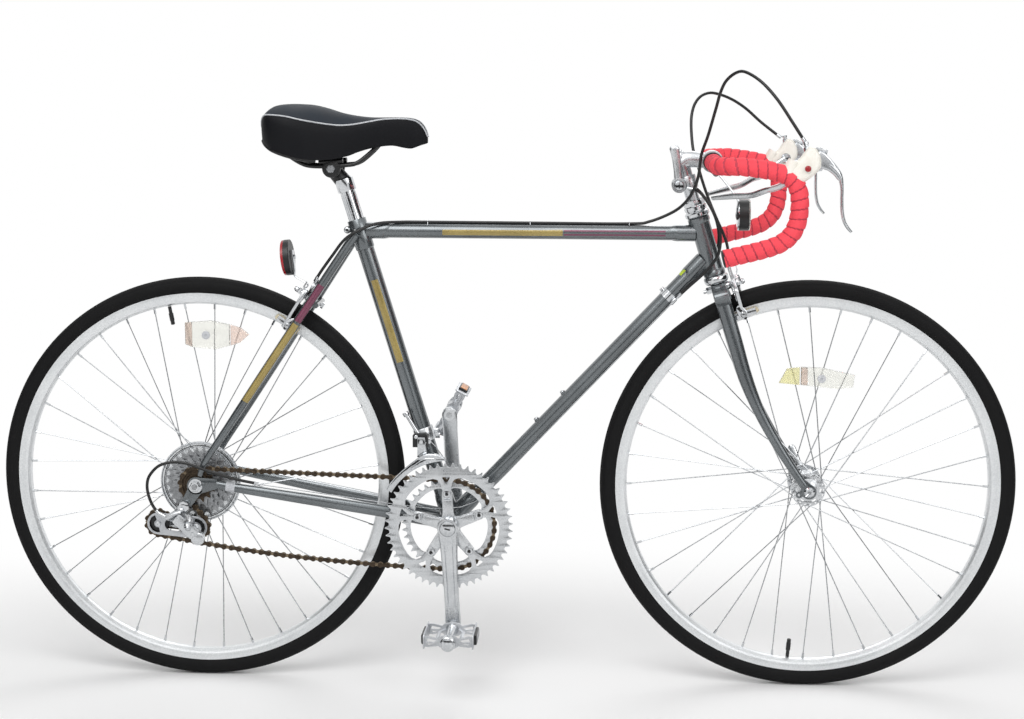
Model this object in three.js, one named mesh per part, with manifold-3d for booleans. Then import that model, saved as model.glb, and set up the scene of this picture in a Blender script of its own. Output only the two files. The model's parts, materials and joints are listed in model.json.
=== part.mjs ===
// Touring bicycle with drop handlebars, two chainrings, five cogs and side-pull brakes.
// Millimetres: +X forwards, +Y to the rider's left, +Z up. The origin is on the
// ground, midway between the axles. The chain and the gears are on the -Y side.

import * as THREE from "three";
import { mergeVertices } from "three/addons/utils/BufferGeometryUtils.js";
import Module from "manifold-3d";

const wasm = await Module();
wasm.setup();

// Clearances
const fit = 0.3; // between pieces that seat on each other
const running = 0.6; // between a turning piece and what carries it
const overrun = 30; // how far a cutting solid passes what it cuts
const weld = 0.001;

// Frame layout
const tyreRadius = 347;
const bottomBracketDrop = 67;
const rearTyreGap = 25.977; // to the seat tube
const frontTyreGap = 28.679; // to the down tube
const seatAngle = THREE.MathUtils.degToRad(73);
const headAngle = THREE.MathUtils.degToRad(73);
const forkRake = 47.4;

// Frame tubes
const seatTubeRadius = 14.3;
const seatTubeLength = 535;
const topTubeRadius = 12.4;
const topTubeDrop = 19; // of its axis below the top of the seat tube
const topTubeHeadDrop = 27; // of its axis below the top of the head tube
const downTubeRadius = 13.5;
const downTubeHeadRise = 34.7; // of its axis above the foot of the head tube
const headTubeRadius = 16.5;
const headTubeLength = 98.7;
const crownClear = 1.492; // of the crown above the tyre
const crownHeight = 22;
const lowerStackHeight = 14.7;
const upperStackHeight = 30;
const lugWall = 1.8;
const lugLength = 46;
const collarHeight = 7;
const shellRadius = 20;
const shellWidth = 68;
const spindleRadius = 9;

// Things that several pieces share
const steererRadius = 12.7;
const seatPostRadius = 12.7;
const frontHubWidth = 100;
const rearHubWidth = 122;
const dropoutThickness = 5;
const crankLength = 170;
const chainPitch = 12.7;

// Colours
const paint = 0x5a5c60;
const alloy = 0xc4c6c8;
const steel = 0x9a9c9e;
const chrome = 0xd8dadc;
const rubber = 0x161617;
const blackPlastic = 0x1b1c1e;
const tape = 0xb8323f;
const cream = 0xd9d3c2;
const wire = 0x8d9094;
const amber = 0xd98a2b;
const redLens = 0xa3222a;

const at = (x, y, z) => new THREE.Vector3(x, y, z);
const along = (from, way, distance) => from.clone().addScaledVector(way, distance);
const between = (a, b, share) => a.clone().lerp(b, share);

// Along the steering axis, above its foot
const axleForward = forkRake;
const axleRise = -forkRake / Math.tan(headAngle);
const crownBottom = axleRise + tyreRadius + crownClear;
const crownTop = crownBottom + crownHeight;
const headTubeStart = crownTop + lowerStackHeight + 2 * fit;
const stackTop = headTubeStart + headTubeLength + fit + upperStackHeight;

// The rear axle stands as far behind the bracket as the tyre and the seat tube ask
const stayRun = (tyreRadius + rearTyreGap + seatTubeRadius
  + bottomBracketDrop * Math.cos(seatAngle)) / Math.sin(seatAngle);

// The front axle stands as far ahead of it as the tyre and the down tube ask
function frontRun() {
  const headRise = headTubeStart + downTubeHeadRise;
  const back = forkRake / Math.sin(headAngle) + headRise * Math.cos(headAngle);
  const rise = bottomBracketDrop + headRise * Math.sin(headAngle);
  const wanted = tyreRadius + frontTyreGap + downTubeRadius;
  let low = back;
  let high = back + 2 * wanted;
  for (let i = 0; i < 40; i += 1) {
    const run = (low + high) / 2;
    const clear = (run * rise - bottomBracketDrop * (run - back)) / Math.hypot(run - back, rise);
    if (clear < wanted) low = run;
    else high = run;
  }
  return (low + high) / 2;
}
const wheelbase = stayRun + frontRun();

// Points of the frame
const rearAxle = at(-wheelbase / 2, 0, tyreRadius);
const frontAxle = at(wheelbase / 2, 0, tyreRadius);
const bracket = at(rearAxle.x + stayRun, 0, tyreRadius - bottomBracketDrop);
const seatWay = at(-Math.cos(seatAngle), 0, Math.sin(seatAngle));
const headWay = at(-Math.cos(headAngle), 0, Math.sin(headAngle));
const steeringFoot = at(frontAxle.x - forkRake / Math.sin(headAngle), 0, tyreRadius);
const seatTop = along(bracket, seatWay, seatTubeLength);
const headBottom = along(steeringFoot, headWay, headTubeStart);
const headTop = along(headBottom, headWay, headTubeLength);
const topSeatJoint = along(seatTop, seatWay, -topTubeDrop);
const topHeadJoint = along(headTop, headWay, -topTubeHeadDrop);
const downHeadJoint = along(headBottom, headWay, downTubeHeadRise);
const topWay = topHeadJoint.clone().sub(topSeatJoint).normalize();
const topUp = at(-topWay.z, 0, topWay.x);
const downWay = downHeadJoint.clone().sub(bracket).normalize();
const downUp = at(-downWay.z, 0, downWay.x);

// Cable stops, on a band under the down tube
const stopRadius = 3.6;
const stopLength = 12;
const stopSpread = 13.5;
const bandFromHead = 102.1;
const bandStart = along(downHeadJoint, downWay, -bandFromHead);
const stopStart = along(
  bandStart, downUp, -Math.sqrt((downTubeRadius + stopRadius) ** 2 - stopSpread ** 2),
);
const stopEnd = along(stopStart, downWay, stopLength);

// Chainstays: each narrows at its waist and ends at its dropout
const dropoutY = rearHubWidth / 2 + fit + dropoutThickness / 2;
const waistBack = 101;
const waistRise = 19;
const waistY = 34;
const stayWaist = at(bracket.x - waistBack, waistY, bracket.z + waistRise);
const stayEndAhead = 29.5;
const stayEndRise = 3;
const stayEnd = at(rearAxle.x + stayEndAhead, dropoutY, rearAxle.z + stayEndRise);

// Seat stays, and the bridge between them above the tyre
const stayTopDrop = 25;
const stayTopBack = 7;
const stayRadius = 7.5;
const stayLowAhead = 16.5;
const stayLowRise = 41;
const bridgeClear = 17.9;
const bridgeFront = 10;
const stayTop = along(seatTop, seatWay, -stayTopDrop)
  .add(at(-stayTopBack, seatTubeRadius + stayRadius, 0));
const stayLow = at(rearAxle.x + stayLowAhead, dropoutY, rearAxle.z + stayLowRise);
const stayWay = at(stayTop.x - stayLow.x, 0, stayTop.z - stayLow.z).normalize();
const stayFront = at(stayWay.z, 0, -stayWay.x);
const axleAcross = rearAxle.clone().sub(stayLow).dot(stayFront);
const axleBelow = rearAxle.clone().sub(stayLow).dot(stayWay);
const bridgeAlong = axleBelow
  + Math.sqrt((tyreRadius + bridgeClear) ** 2 - (bridgeFront - axleAcross) ** 2);
const rearBridge = along(along(stayLow, stayWay, bridgeAlong), stayFront, bridgeFront).setY(0);
const brakeLean = THREE.MathUtils.degToRad(0.37);
const rearBoltWay = stayFront.clone().negate().applyAxisAngle(at(0, 1, 0), -brakeLean);

// Solids and surfaces
function outward(geometry) {
  const solid = geometry.index ? geometry.toNonIndexed() : geometry;
  const places = solid.getAttribute("position");
  const a = at(0, 0, 0);
  const b = at(0, 0, 0);
  const c = at(0, 0, 0);
  let volume = 0;
  for (let i = 0; i < places.count; i += 3) {
    a.fromBufferAttribute(places, i);
    b.fromBufferAttribute(places, i + 1);
    c.fromBufferAttribute(places, i + 2);
    volume += a.dot(b.cross(c));
  }
  if (volume > 0) return solid;
  for (let i = 0; i < places.count; i += 3) {
    a.fromBufferAttribute(places, i + 1);
    b.fromBufferAttribute(places, i + 2);
    places.setXYZ(i + 1, b.x, b.y, b.z);
    places.setXYZ(i + 2, a.x, a.y, a.z);
  }
  return solid;
}

function solidOf(geometry) {
  if (geometry instanceof wasm.Manifold) return geometry;
  const bare = new THREE.BufferGeometry();
  bare.setAttribute("position", outward(geometry).getAttribute("position"));
  const merged = mergeVertices(bare, weld);
  const corners = [];
  const index = merged.index.array;
  for (let i = 0; i < index.length; i += 3) {
    const [a, b, c] = [index[i], index[i + 1], index[i + 2]];
    if (a !== b && b !== c && c !== a) corners.push(a, b, c);
  }
  return new wasm.Manifold(
    new wasm.Mesh({
      numProp: 3,
      vertProperties: merged.getAttribute("position").array,
      triVerts: new Uint32Array(corners),
    }),
  );
}

function geometryOf(solid) {
  const mesh = solid.getMesh();
  const geometry = new THREE.BufferGeometry();
  geometry.setAttribute("position", new THREE.BufferAttribute(mesh.vertProperties, 3));
  geometry.setIndex(new THREE.BufferAttribute(mesh.triVerts, 1));
  return geometry;
}

const join = (...parts) => parts.map(solidOf).reduce((whole, part) => whole.add(part));
const cut = (base, ...tools) =>
  tools.map(solidOf).reduce((left, tool) => left.subtract(tool), solidOf(base));

function placed(shape, ...steps) {
  const copy = shape instanceof wasm.Manifold ? geometryOf(shape) : shape.clone();
  for (const step of steps) copy.applyMatrix4(step);
  return copy;
}

const shifted = (x, y, z) => new THREE.Matrix4().makeTranslation(x, y, z);
const turnedX = (angle) => new THREE.Matrix4().makeRotationX(angle);
const turnedY = (angle) => new THREE.Matrix4().makeRotationY(angle);

// A straight round bar or cone. Bars that share an axis share their facets.
const tubeSides = 10;
function rod(from, to, radius, endRadius = radius, sides = tubeSides) {
  const span = to.clone().sub(from);
  const way = span.clone().normalize();
  const side = Math.abs(way.y) > 0.99 ? at(1, 0, 0) : at(0, 1, 0);
  const across = side.cross(way).normalize();
  const basis = new THREE.Matrix4().makeBasis(across, way, across.clone().cross(way));
  const middle = between(from, to, 0.5);
  const bar = new THREE.CylinderGeometry(endRadius, radius, span.length(), sides);
  return placed(bar, basis, shifted(middle.x, middle.y, middle.z));
}

const axial = (x, z, fromY, toY, radius, endRadius, sides) =>
  rod(at(x, fromY, z), at(x, toY, z), radius, endRadius, sides);

// A block by its centre and its sizes
const block = (centre, x, y, z) =>
  new THREE.BoxGeometry(x, y, z).translate(centre.x, centre.y, centre.z);

// A solid through rings of points, closed by flat ends or back on itself
function loft(rings, closed = false) {
  const places = [];
  const count = rings[0].length;
  const face = (...corners) => corners.forEach((p) => places.push(p.x, p.y, p.z));
  const last = closed ? rings.length : rings.length - 1;
  for (let i = 0; i < last; i += 1) {
    const here = rings[i];
    const next = rings[(i + 1) % rings.length];
    for (let j = 0; j < count; j += 1) {
      const k = (j + 1) % count;
      face(here[j], here[k], next[k]);
      face(here[j], next[k], next[j]);
    }
  }
  if (!closed) {
    const start = rings[0];
    const end = rings[rings.length - 1];
    for (let j = 1; j < count - 1; j += 1) {
      face(start[0], start[j + 1], start[j]);
      face(end[0], end[j], end[j + 1]);
    }
  }
  const geometry = new THREE.BufferGeometry();
  geometry.setAttribute("position", new THREE.Float32BufferAttribute(places, 3));
  return outward(geometry);
}

// Rings round a route, without twist. Each radius is a number or [side, other].
function ringsAlong(route, radii, sides, firstSide = at(0, 1, 0)) {
  const side = firstSide.clone();
  return route.map((point, i) => {
    const before = route[Math.max(i - 1, 0)];
    const after = route[Math.min(i + 1, route.length - 1)];
    const way = after.clone().sub(before).normalize();
    side.addScaledVector(way, -side.dot(way)).normalize();
    const other = way.clone().cross(side);
    const radius = Array.isArray(radii) ? radii[i] : radii;
    const [a, b] = Array.isArray(radius) ? radius : [radius, radius];
    return Array.from({ length: sides }, (_, j) => {
      const angle = (2 * Math.PI * j) / sides;
      return along(along(point, side, a * Math.cos(angle)), other, b * Math.sin(angle));
    });
  });
}

const bent = (route, radii, sides, firstSide) => loft(ringsAlong(route, radii, sides, firstSide));

// A sleeve round a route, open at both ends
function sleeve(route, radius, bore, sides, firstSide) {
  const outer = ringsAlong(route, radius, sides, firstSide);
  const inner = ringsAlong(route, bore, sides, firstSide).reverse();
  return loft([...outer, ...inner], true);
}

// A cord: a round section carried along a smooth curve through its points
function cord(points, radius, steps, sides = 8) {
  const path = new THREE.CatmullRomCurve3(points, false, "centripetal");
  const section = new THREE.Shape(circlePoints(radius, sides));
  return outward(
    new THREE.ExtrudeGeometry(section, { steps, extrudePath: path, bevelEnabled: false }),
  );
}

function circlePoints(radius, sides, x = 0, y = 0, phase = 0) {
  return Array.from({ length: sides }, (_, i) => {
    const angle = phase + (2 * Math.PI * i) / sides;
    return new THREE.Vector2(x + radius * Math.cos(angle), y + radius * Math.sin(angle));
  });
}

// A turned solid round the Y axis from [radius, y] pairs that end on the axis or close
const turned = (profile, segments) =>
  outward(new THREE.LatheGeometry(profile.map(([r, y]) => new THREE.Vector2(r, y)), segments));

// A flat plate from a drawing in x and z, centred on a value of y
function plate(points, thickness, centreY, holes = []) {
  const shape = new THREE.Shape(points.map((p) => (p.isVector2 ? p : new THREE.Vector2(...p))));
  shape.holes = holes.map((hole) => new THREE.Path(hole));
  const sheet = new THREE.ExtrudeGeometry(shape, { depth: thickness, bevelEnabled: false });
  return placed(sheet, turnedX(Math.PI / 2), shifted(0, centreY + thickness / 2, 0));
}

// The outline round two circles, as a link or an arm has
function linkOutline(a, radiusA, b, radiusB, arc = 6) {
  const way = Math.atan2(b.y - a.y, b.x - a.x);
  const points = [];
  for (let i = 0; i <= arc; i += 1) {
    const angle = way + Math.PI / 2 + (Math.PI * i) / arc;
    points.push(new THREE.Vector2(a.x + radiusA * Math.cos(angle), a.y + radiusA * Math.sin(angle)));
  }
  for (let i = 0; i <= arc; i += 1) {
    const angle = way - Math.PI / 2 + (Math.PI * i) / arc;
    points.push(new THREE.Vector2(b.x + radiusB * Math.cos(angle), b.y + radiusB * Math.sin(angle)));
  }
  return points;
}

function piece(name, shape, color, roughness, metalness, parent) {
  const geometry = shape instanceof wasm.Manifold ? geometryOf(shape) : shape;
  const solid = geometry.index ? geometry.toNonIndexed() : geometry;
  solid.computeVertexNormals();
  const look = new THREE.MeshStandardMaterial({ color, roughness, metalness });
  const mesh = new THREE.Mesh(solid, look);
  mesh.name = name;
  parent.add(mesh);
}

function groupAt(parent, place, tilt = 0) {
  const group = new THREE.Group();
  group.position.copy(place);
  group.rotation.y = tilt;
  parent.add(group);
  return group;
}

const bicycle = new THREE.Group();

// Binder bolt behind the top of the seat tube
const binderRadius = 6.5;
const binderWidth = 26;
const binderBack = seatTubeRadius + binderRadius / 2;
const binderDrop = 12;
const binderCentre = along(seatTop, seatWay, -binderDrop)
  .add(at(-binderBack * Math.sin(seatAngle), 0, -binderBack * Math.cos(seatAngle)));

// Main tubes
{
  const shell = axial(bracket.x, bracket.z, -shellWidth / 2, shellWidth / 2, shellRadius);
  const shellClear = axial(bracket.x, bracket.z, -shellWidth, shellWidth, shellRadius + fit);
  const headClear = rod(
    along(headBottom, headWay, -overrun),
    along(headTop, headWay, overrun),
    headTubeRadius + fit,
  );
  const seatClear = rod(
    along(bracket, seatWay, -shellRadius),
    along(seatTop, seatWay, overrun),
    seatTubeRadius + lugWall + fit,
  );
  const seatTubeClear = rod(
    along(bracket, seatWay, -shellRadius),
    along(seatTop, seatWay, overrun),
    seatTubeRadius + fit,
  );
  const topTube = rod(topSeatJoint, topHeadJoint, topTubeRadius);
  const downTube = rod(bracket, downHeadJoint, downTubeRadius);

  // Bottle bosses on the upper side of the down tube
  const bossSpacing = 64;
  const firstBoss = 227;
  const bossRadius = 5;
  const bossHeight = 2.5;
  const bosses = [0, 1].map((n) => {
    const foot = along(bracket, downWay, firstBoss + n * bossSpacing);
    return rod(
      along(foot, downUp, downTubeRadius / 2), along(foot, downUp, downTubeRadius + bossHeight),
      bossRadius, bossRadius, 8,
    );
  });
  // Band with the two cable stops, near the head
  const bandWidth = 14;
  const bandWall = 1.6;
  const stopBore = 1.4;
  const band = rod(bandStart, along(bandStart, downWay, bandWidth), downTubeRadius + bandWall);
  const stops = [-1, 1].map((side) => {
    const start = stopStart.clone().setY(side * stopSpread);
    const end = stopEnd.clone().setY(side * stopSpread);
    return [rod(start, end, stopRadius, stopRadius, 6), rod(
      along(start, downWay, -stopLength), along(end, downWay, stopLength), stopBore, stopBore, 6,
    )];
  });
  piece("top_tube", cut(topTube, seatClear, headClear), paint, 0.35, 0.6, bicycle);
  piece(
    "down_tube",
    cut(
      join(downTube, ...bosses, band, ...stops.map(([stop]) => stop)),
      shellClear, seatTubeClear, headClear, ...stops.map(([, bore]) => bore),
    ),
    paint, 0.35, 0.6, bicycle,
  );

  // Head tube with its lugs
  const headOuter = rod(headBottom, headTop, headTubeRadius);
  const collarRadius = headTubeRadius + lugWall;
  const collars = [
    rod(headBottom, along(headBottom, headWay, collarHeight), collarRadius),
    rod(along(headTop, headWay, -collarHeight), headTop, collarRadius),
  ];
  const sockets = join(
    rod(along(topHeadJoint, topWay, -lugLength), topHeadJoint, topTubeRadius + fit + lugWall),
    rod(along(downHeadJoint, downWay, -lugLength), downHeadJoint, downTubeRadius + fit + lugWall),
    ...collars,
  );
  const hollowSockets = cut(
    sockets,
    rod(topSeatJoint, topHeadJoint, topTubeRadius + fit),
    rod(bracket, downHeadJoint, downTubeRadius + fit),
  );
  const headBore = rod(
    along(headBottom, headWay, -overrun),
    along(headTop, headWay, overrun),
    headTubeRadius - lugWall,
  );
  piece(
    "head_tube",
    cut(join(hollowSockets, headOuter), headBore),
    paint, 0.35, 0.6, bicycle,
  );

  // Seat tube with the bottom bracket shell, its lugs and the binder bolt
  const seatOuter = rod(bracket, seatTop, seatTubeRadius);
  const postDepth = 300;
  const seatBore = rod(
    along(seatTop, seatWay, -postDepth),
    along(seatTop, seatWay, overrun),
    seatPostRadius + fit,
  );
  const seatSockets = join(
    rod(topSeatJoint, along(topSeatJoint, topWay, lugLength), topTubeRadius + fit + lugWall),
    rod(bracket, along(bracket, downWay, lugLength), downTubeRadius + fit + lugWall),
  );
  const seatCollar = rod(
    along(seatTop, seatWay, -lugLength),
    seatTop,
    seatTubeRadius + lugWall,
  );
  const binder = axial(
    binderCentre.x, binderCentre.z, -binderWidth / 2, binderWidth / 2, binderRadius,
  );
  const shellBore = axial(
    bracket.x, bracket.z, -shellWidth, shellWidth, spindleRadius + running, undefined, 16,
  );
  piece(
    "seat_tube",
    cut(
      join(
        cut(
          seatSockets,
          rod(topSeatJoint, topHeadJoint, topTubeRadius + fit),
          rod(bracket, downHeadJoint, downTubeRadius + fit),
        ),
        seatOuter, seatCollar, shell, binder,
      ),
      seatBore, shellBore,
    ),
    paint, 0.35, 0.6, bicycle,
  );
}

// Chainstays and seat stays with the rear dropouts
const hangerBack = 19.5;
const hangerDrop = 35;
const hanger = at(rearAxle.x - hangerBack, 0, rearAxle.z - hangerDrop);
const stayEndRadius = 9.5;
const dropoutRadius = 15;
const dropoutOutline = (extra) => linkOutline(
  { x: stayEnd.x, y: stayEnd.z }, stayEndRadius + extra,
  { x: rearAxle.x, y: rearAxle.z }, dropoutRadius + extra,
);
{
  const stayFrontY = 26;
  const stayFrontX = 17;
  const frontRadii = [7.5, 11];
  const waistRadii = [6.4, 11];
  const endRadii = [6, 6.5];
  const slotRadius = 5.2;
  const slotLength = 32;
  const hangerRadius = 9;
  const shellClear = axial(
    bracket.x, bracket.z, -shellWidth, shellWidth, shellRadius + fit,
  );
  const stay = (side) => {
    const place = (point) => at(point.x, side * point.y, point.z);
    const start = place(at(bracket.x - stayFrontX / 2, stayFrontY, bracket.z));
    const waist = place(stayWaist);
    const end = place(stayEnd);
    const route = [
      start, between(start, waist, 0.5), waist, between(waist, end, 0.5), end,
    ];
    return bent(
      route,
      [frontRadii, frontRadii, waistRadii, [6.5, 9], endRadii],
      8,
      at(0, 1, 0),
    );
  };
  const dropout = (side, withHanger) => {
    const outline = dropoutOutline(0);
    const plateOf = plate(outline, dropoutThickness, side * dropoutY);
    const lower = linkOutline(
      { x: rearAxle.x, y: rearAxle.z - slotRadius }, dropoutRadius - slotRadius / 2,
      { x: hanger.x, y: hanger.z }, hangerRadius,
    );
    return withHanger ? join(plateOf, plate(lower, dropoutThickness, side * dropoutY)) : plateOf;
  };
  const slotWay = at(0.9, 0, -0.44).normalize();
  const slot = (side) => {
    const mouth = along(rearAxle, slotWay, slotLength);
    const outline = linkOutline(
      { x: rearAxle.x, y: rearAxle.z }, slotRadius, { x: mouth.x, y: mouth.z }, slotRadius, 4,
    );
    return plate(outline, dropoutThickness * 3, side * dropoutY);
  };
  const bridgeBack = 66;
  const bridgeRadius = 6;
  const bridgeShare = bridgeBack / (bracket.x - stayWaist.x);
  const bridgeFrom = at(
    bracket.x - bridgeBack, stayWaist.y,
    bracket.z + (stayWaist.z - bracket.z) * bridgeShare,
  );
  const hangerBore = axial(hanger.x, hanger.z, -rearHubWidth, rearHubWidth, 4.2, undefined, 8);
  const rightStay = cut(
    join(stay(-1), dropout(-1, true), rod(at(bridgeFrom.x, -bridgeFrom.y, bridgeFrom.z),
      at(bridgeFrom.x, -fit / 2, bridgeFrom.z), bridgeRadius, bridgeRadius, 8)),
    shellClear, slot(-1), hangerBore,
  );
  const leftStay = cut(
    join(stay(1), dropout(1, false), rod(bridgeFrom,
      at(bridgeFrom.x, fit / 2, bridgeFrom.z), bridgeRadius, bridgeRadius, 8)),
    shellClear, slot(1),
  );
  piece("chainstay_right", rightStay, paint, 0.35, 0.6, bicycle);
  piece("chainstay_left", leftStay, paint, 0.35, 0.6, bicycle);
}

// Seat stays with the brake bridge and the rear brake's bolt
const boltRadius = 3;
const armThickness = 6;
const rearArmStart = 18;
const brakeStack = 2 * armThickness + 3 * fit;
const strapThickness = 2.4;
const nutLength = 8;
const nutRadius = 6;
{
  const lowRadius = 6;
  const lowSide = 4.6;
  const tipAhead = 7.5;
  const tipRise = 15;
  const stayTip = at(rearAxle.x + tipAhead, dropoutY, rearAxle.z + tipRise);
  const route = (side, extra) =>
    ringsAlong(
      [stayTop, between(stayTop, stayLow, 0.6), stayLow, stayTip]
        .map((point) => at(point.x, side * point.y, point.z)),
      [[stayRadius, stayRadius], [stayRadius, stayRadius], [lowSide, lowRadius], [lowSide, lowRadius]]
        .map(([a, b]) => [a + extra, b + extra]),
      8,
    );
  const seatClear = rod(
    along(bracket, seatWay, -shellRadius),
    along(seatTop, seatWay, overrun),
    seatTubeRadius + lugWall + fit,
  );
  const binderClear = axial(
    binderCentre.x, binderCentre.z, -shellWidth, shellWidth, binderRadius + fit,
  );
  const dropoutClear = (side) =>
    plate(dropoutOutline(fit), 3 * dropoutThickness, side * dropoutY);
  const bridgeRadius = 5;
  const stayShare = (stayTop.z - rearBridge.z) / (stayTop.z - stayLow.z);
  const bridgeY = stayTop.y + (stayLow.y - stayTop.y) * stayShare;
  const bridge = cut(
    axial(rearBridge.x, rearBridge.z, -bridgeY, bridgeY, bridgeRadius, bridgeRadius, 8),
    loft(route(1, fit)),
  );
  const boltBack = 10;
  const boltLength = rearArmStart + brakeStack + strapThickness + fit + nutLength;
  const bolt = rod(
    along(rearBridge, rearBoltWay, -boltBack),
    along(rearBridge, rearBoltWay, boltLength),
    boltRadius, boltRadius, 8,
  );
  const washer = rod(
    rearBridge, along(rearBridge, rearBoltWay, rearArmStart - fit), nutRadius, nutRadius, 8,
  );
  const nut = rod(
    along(rearBridge, rearBoltWay, boltLength - nutLength),
    along(rearBridge, rearBoltWay, boltLength), nutRadius, nutRadius / 2, 8,
  );
  piece(
    "seatstay_right",
    cut(join(loft(route(-1, 0)), bridge, bolt, washer, nut), seatClear, binderClear, dropoutClear(-1)),
    paint, 0.35, 0.6, bicycle,
  );
  piece(
    "seatstay_left",
    cut(loft(route(1, 0)), seatClear, binderClear, dropoutClear(1)),
    paint, 0.35, 0.6, bicycle,
  );

  // Rear reflector on its strap
  const lensRadius = 30;
  const lensDepth = 15;
  const lensBehind = 84.3;
  const lensAbove = 36.4;
  const strapSink = 1; // into the back of the lens
  const lensLean = THREE.MathUtils.degToRad(39.1);
  const lensCentre = along(along(rearBridge, stayFront, -lensBehind), stayWay, lensAbove);
  const lensWay = rearBoltWay.clone().applyAxisAngle(at(0, 1, 0), -lensLean);
  const lensUp = at(lensWay.z, 0, -lensWay.x);
  const lens = rod(
    along(lensCentre, lensWay, -lensDepth / 2),
    along(lensCentre, lensWay, lensDepth / 2), lensRadius, lensRadius, 16,
  );
  const strapWidth = 14;
  const strapUp = at(rearBoltWay.z, 0, -rearBoltWay.x);
  const footFace = along(rearBridge, rearBoltWay, rearArmStart + brakeStack);
  const headFace = along(lensCentre, lensWay, strapSink - lensDepth / 2);
  const footBack = along(footFace, rearBoltWay, strapThickness);
  const headFront = along(headFace, lensWay, -strapThickness);
  const strap = plate(
    [
      along(footFace, strapUp, -strapWidth / 2), along(footBack, strapUp, -strapWidth / 2),
      along(footBack, strapUp, strapWidth), along(headFace, lensUp, -lensRadius),
      along(headFace, lensUp, strapWidth), along(headFront, lensUp, strapWidth),
      along(headFront, lensUp, -lensRadius), along(footFace, strapUp, strapWidth),
    ].map((corner) => [corner.x, corner.z]),
    strapWidth, 0,
  );
  const boltClear = rod(rearBridge, along(rearBridge, rearBoltWay, overrun * 2),
    boltRadius + fit, boltRadius + fit, 8);
  piece("rear_reflector", cut(join(lens, strap), boltClear), redLens, 0.25, 0, bicycle);
}

// Wheels
const rimOuter = tyreRadius - 26.2;
const rimInner = rimOuter - 19.3;
const rimHalfWidth = 12;
const wheelSegments = 36;
const hubSegments = 12;
const spokeRadius = 0.9;
const flangeRadius = 29;
const spokeCircle = 26;
const hubAxleRadius = 4.5;
const freewheelNose = 12;
const protectorRadius = 69;
const protectorInset = 33;
const protectorY = protectorInset - rearHubWidth / 2;
const hubEndRadius = 15;

function spokes(leftFlange, rightFlange, firstAngle) {
  const spokeCount = 36;
  const step = (2 * Math.PI) / spokeCount;
  const crossing = THREE.MathUtils.degToRad(60);
  const spread = 1.5;
  const rimSpread = 1.5;
  const endRadius = rimInner * Math.cos(Math.PI / wheelSegments) - fit;
  return Array.from({ length: spokeCount }, (_, n) => {
    const flange = n % 2 ? leftFlange : rightFlange;
    const turn = n % 4 < 2 ? 1 : -1;
    const rimAngle = firstAngle + step * (n + 0.5);
    const hubAngle = rimAngle + turn * crossing;
    const head = at(
      spokeCircle * Math.cos(hubAngle), flange + turn * spread, spokeCircle * Math.sin(hubAngle),
    );
    const end = at(
      endRadius * Math.cos(rimAngle), Math.sign(flange) * rimSpread, endRadius * Math.sin(rimAngle),
    );
    return rod(head, end, spokeRadius, spokeRadius, 3);
  });
}

function wheel(prefix, centre, hubProfile, leftFlange, rightFlange, valveAngle, extras) {
  const group = groupAt(bicycle, centre);
  const sectionRadius = 16;
  const sectionCentre = tyreRadius - sectionRadius;
  const treadHalf = 4;
  const side = [
    [rimOuter + fit, rimHalfWidth - running],
    [sectionCentre + sectionRadius * 0.1, sectionRadius],
    [sectionCentre + sectionRadius * 0.66, sectionRadius * 0.75],
    [tyreRadius, treadHalf],
  ];
  const other = side.map(([r, y]) => [r, -y]).reverse();
  const tyreProfile = [...side, ...other, side[0]];
  const rimSide = [
    [rimOuter, rimHalfWidth],
    [rimInner + 7, rimHalfWidth],
    [rimInner, rimHalfWidth * 0.55],
  ];
  const rimOther = rimSide.map(([r, y]) => [r, -y]).reverse();
  const rimProfile = [...rimSide, ...rimOther, rimSide[0]];
  const valveLength = 32;
  const valveRadius = 3;
  const valve = rod(
    at(Math.cos(valveAngle), 0, Math.sin(valveAngle)).multiplyScalar(rimInner + valveRadius),
    at(Math.cos(valveAngle), 0, Math.sin(valveAngle)).multiplyScalar(rimInner - valveLength),
    valveRadius, valveRadius, 6,
  );
  const atValve = turnedY(-valveAngle);
  const tyre = placed(turned(tyreProfile, wheelSegments), atValve);
  const rim = placed(turned(rimProfile, wheelSegments), atValve);
  piece(`${prefix}_tyre`, tyre, rubber, 0.9, 0, group);
  piece(`${prefix}_rim`, join(rim, valve), alloy, 0.35, 0.9, group);
  const hub = join(
    turned([...hubProfile, hubProfile[0]], hubSegments),
    ...spokes(leftFlange, rightFlange, valveAngle),
    ...extras,
  );
  piece(`${prefix}_hub`, hub, alloy, 0.3, 0.9, group);
  return group;
}

const flangeHalf = 2.5;
const barrelRadius = 12;
const hubBore = hubAxleRadius + running;
const flange = (y) => [
  [barrelRadius, y + Math.sign(y) * -4],
  [flangeRadius, y - Math.sign(y) * flangeHalf],
  [flangeRadius, y + Math.sign(y) * flangeHalf],
  [hubEndRadius, y + Math.sign(y) * 3],
];

// Spoke reflector: a wedge that bridges the spokes of one side, drawn in shares of the rim
function spokeReflector(cornerShares, y) {
  const thickness = 8;
  return plate(cornerShares.map(([x, z]) => [x * rimInner, z * rimInner]), thickness, y);
}

const frontFlangeInset = 15;
const frontFlange = frontHubWidth / 2 - frontFlangeInset;
const frontHubEnd = frontHubWidth / 2 - 7;
const frontHub = [
  [hubBore, -frontHubEnd],
  [hubEndRadius, -frontHubEnd],
  ...flange(-frontFlange).reverse(),
  ...flange(frontFlange),
  [hubEndRadius, frontHubEnd],
  [hubBore, frontHubEnd],
];
const frontValveAngle = THREE.MathUtils.degToRad(-94.8);
wheel(
  "front", frontAxle, frontHub, frontFlange, -frontFlange, frontValveAngle,
  [spokeReflector(
    [
      [-0.166, 0.584], [-0.053, 0.57], [0.166, 0.551], [0.245, 0.564],
      [0.252, 0.63], [0.066, 0.673], [-0.119, 0.663],
    ],
    -frontFlange * 0.343,
  )],
);

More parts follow.
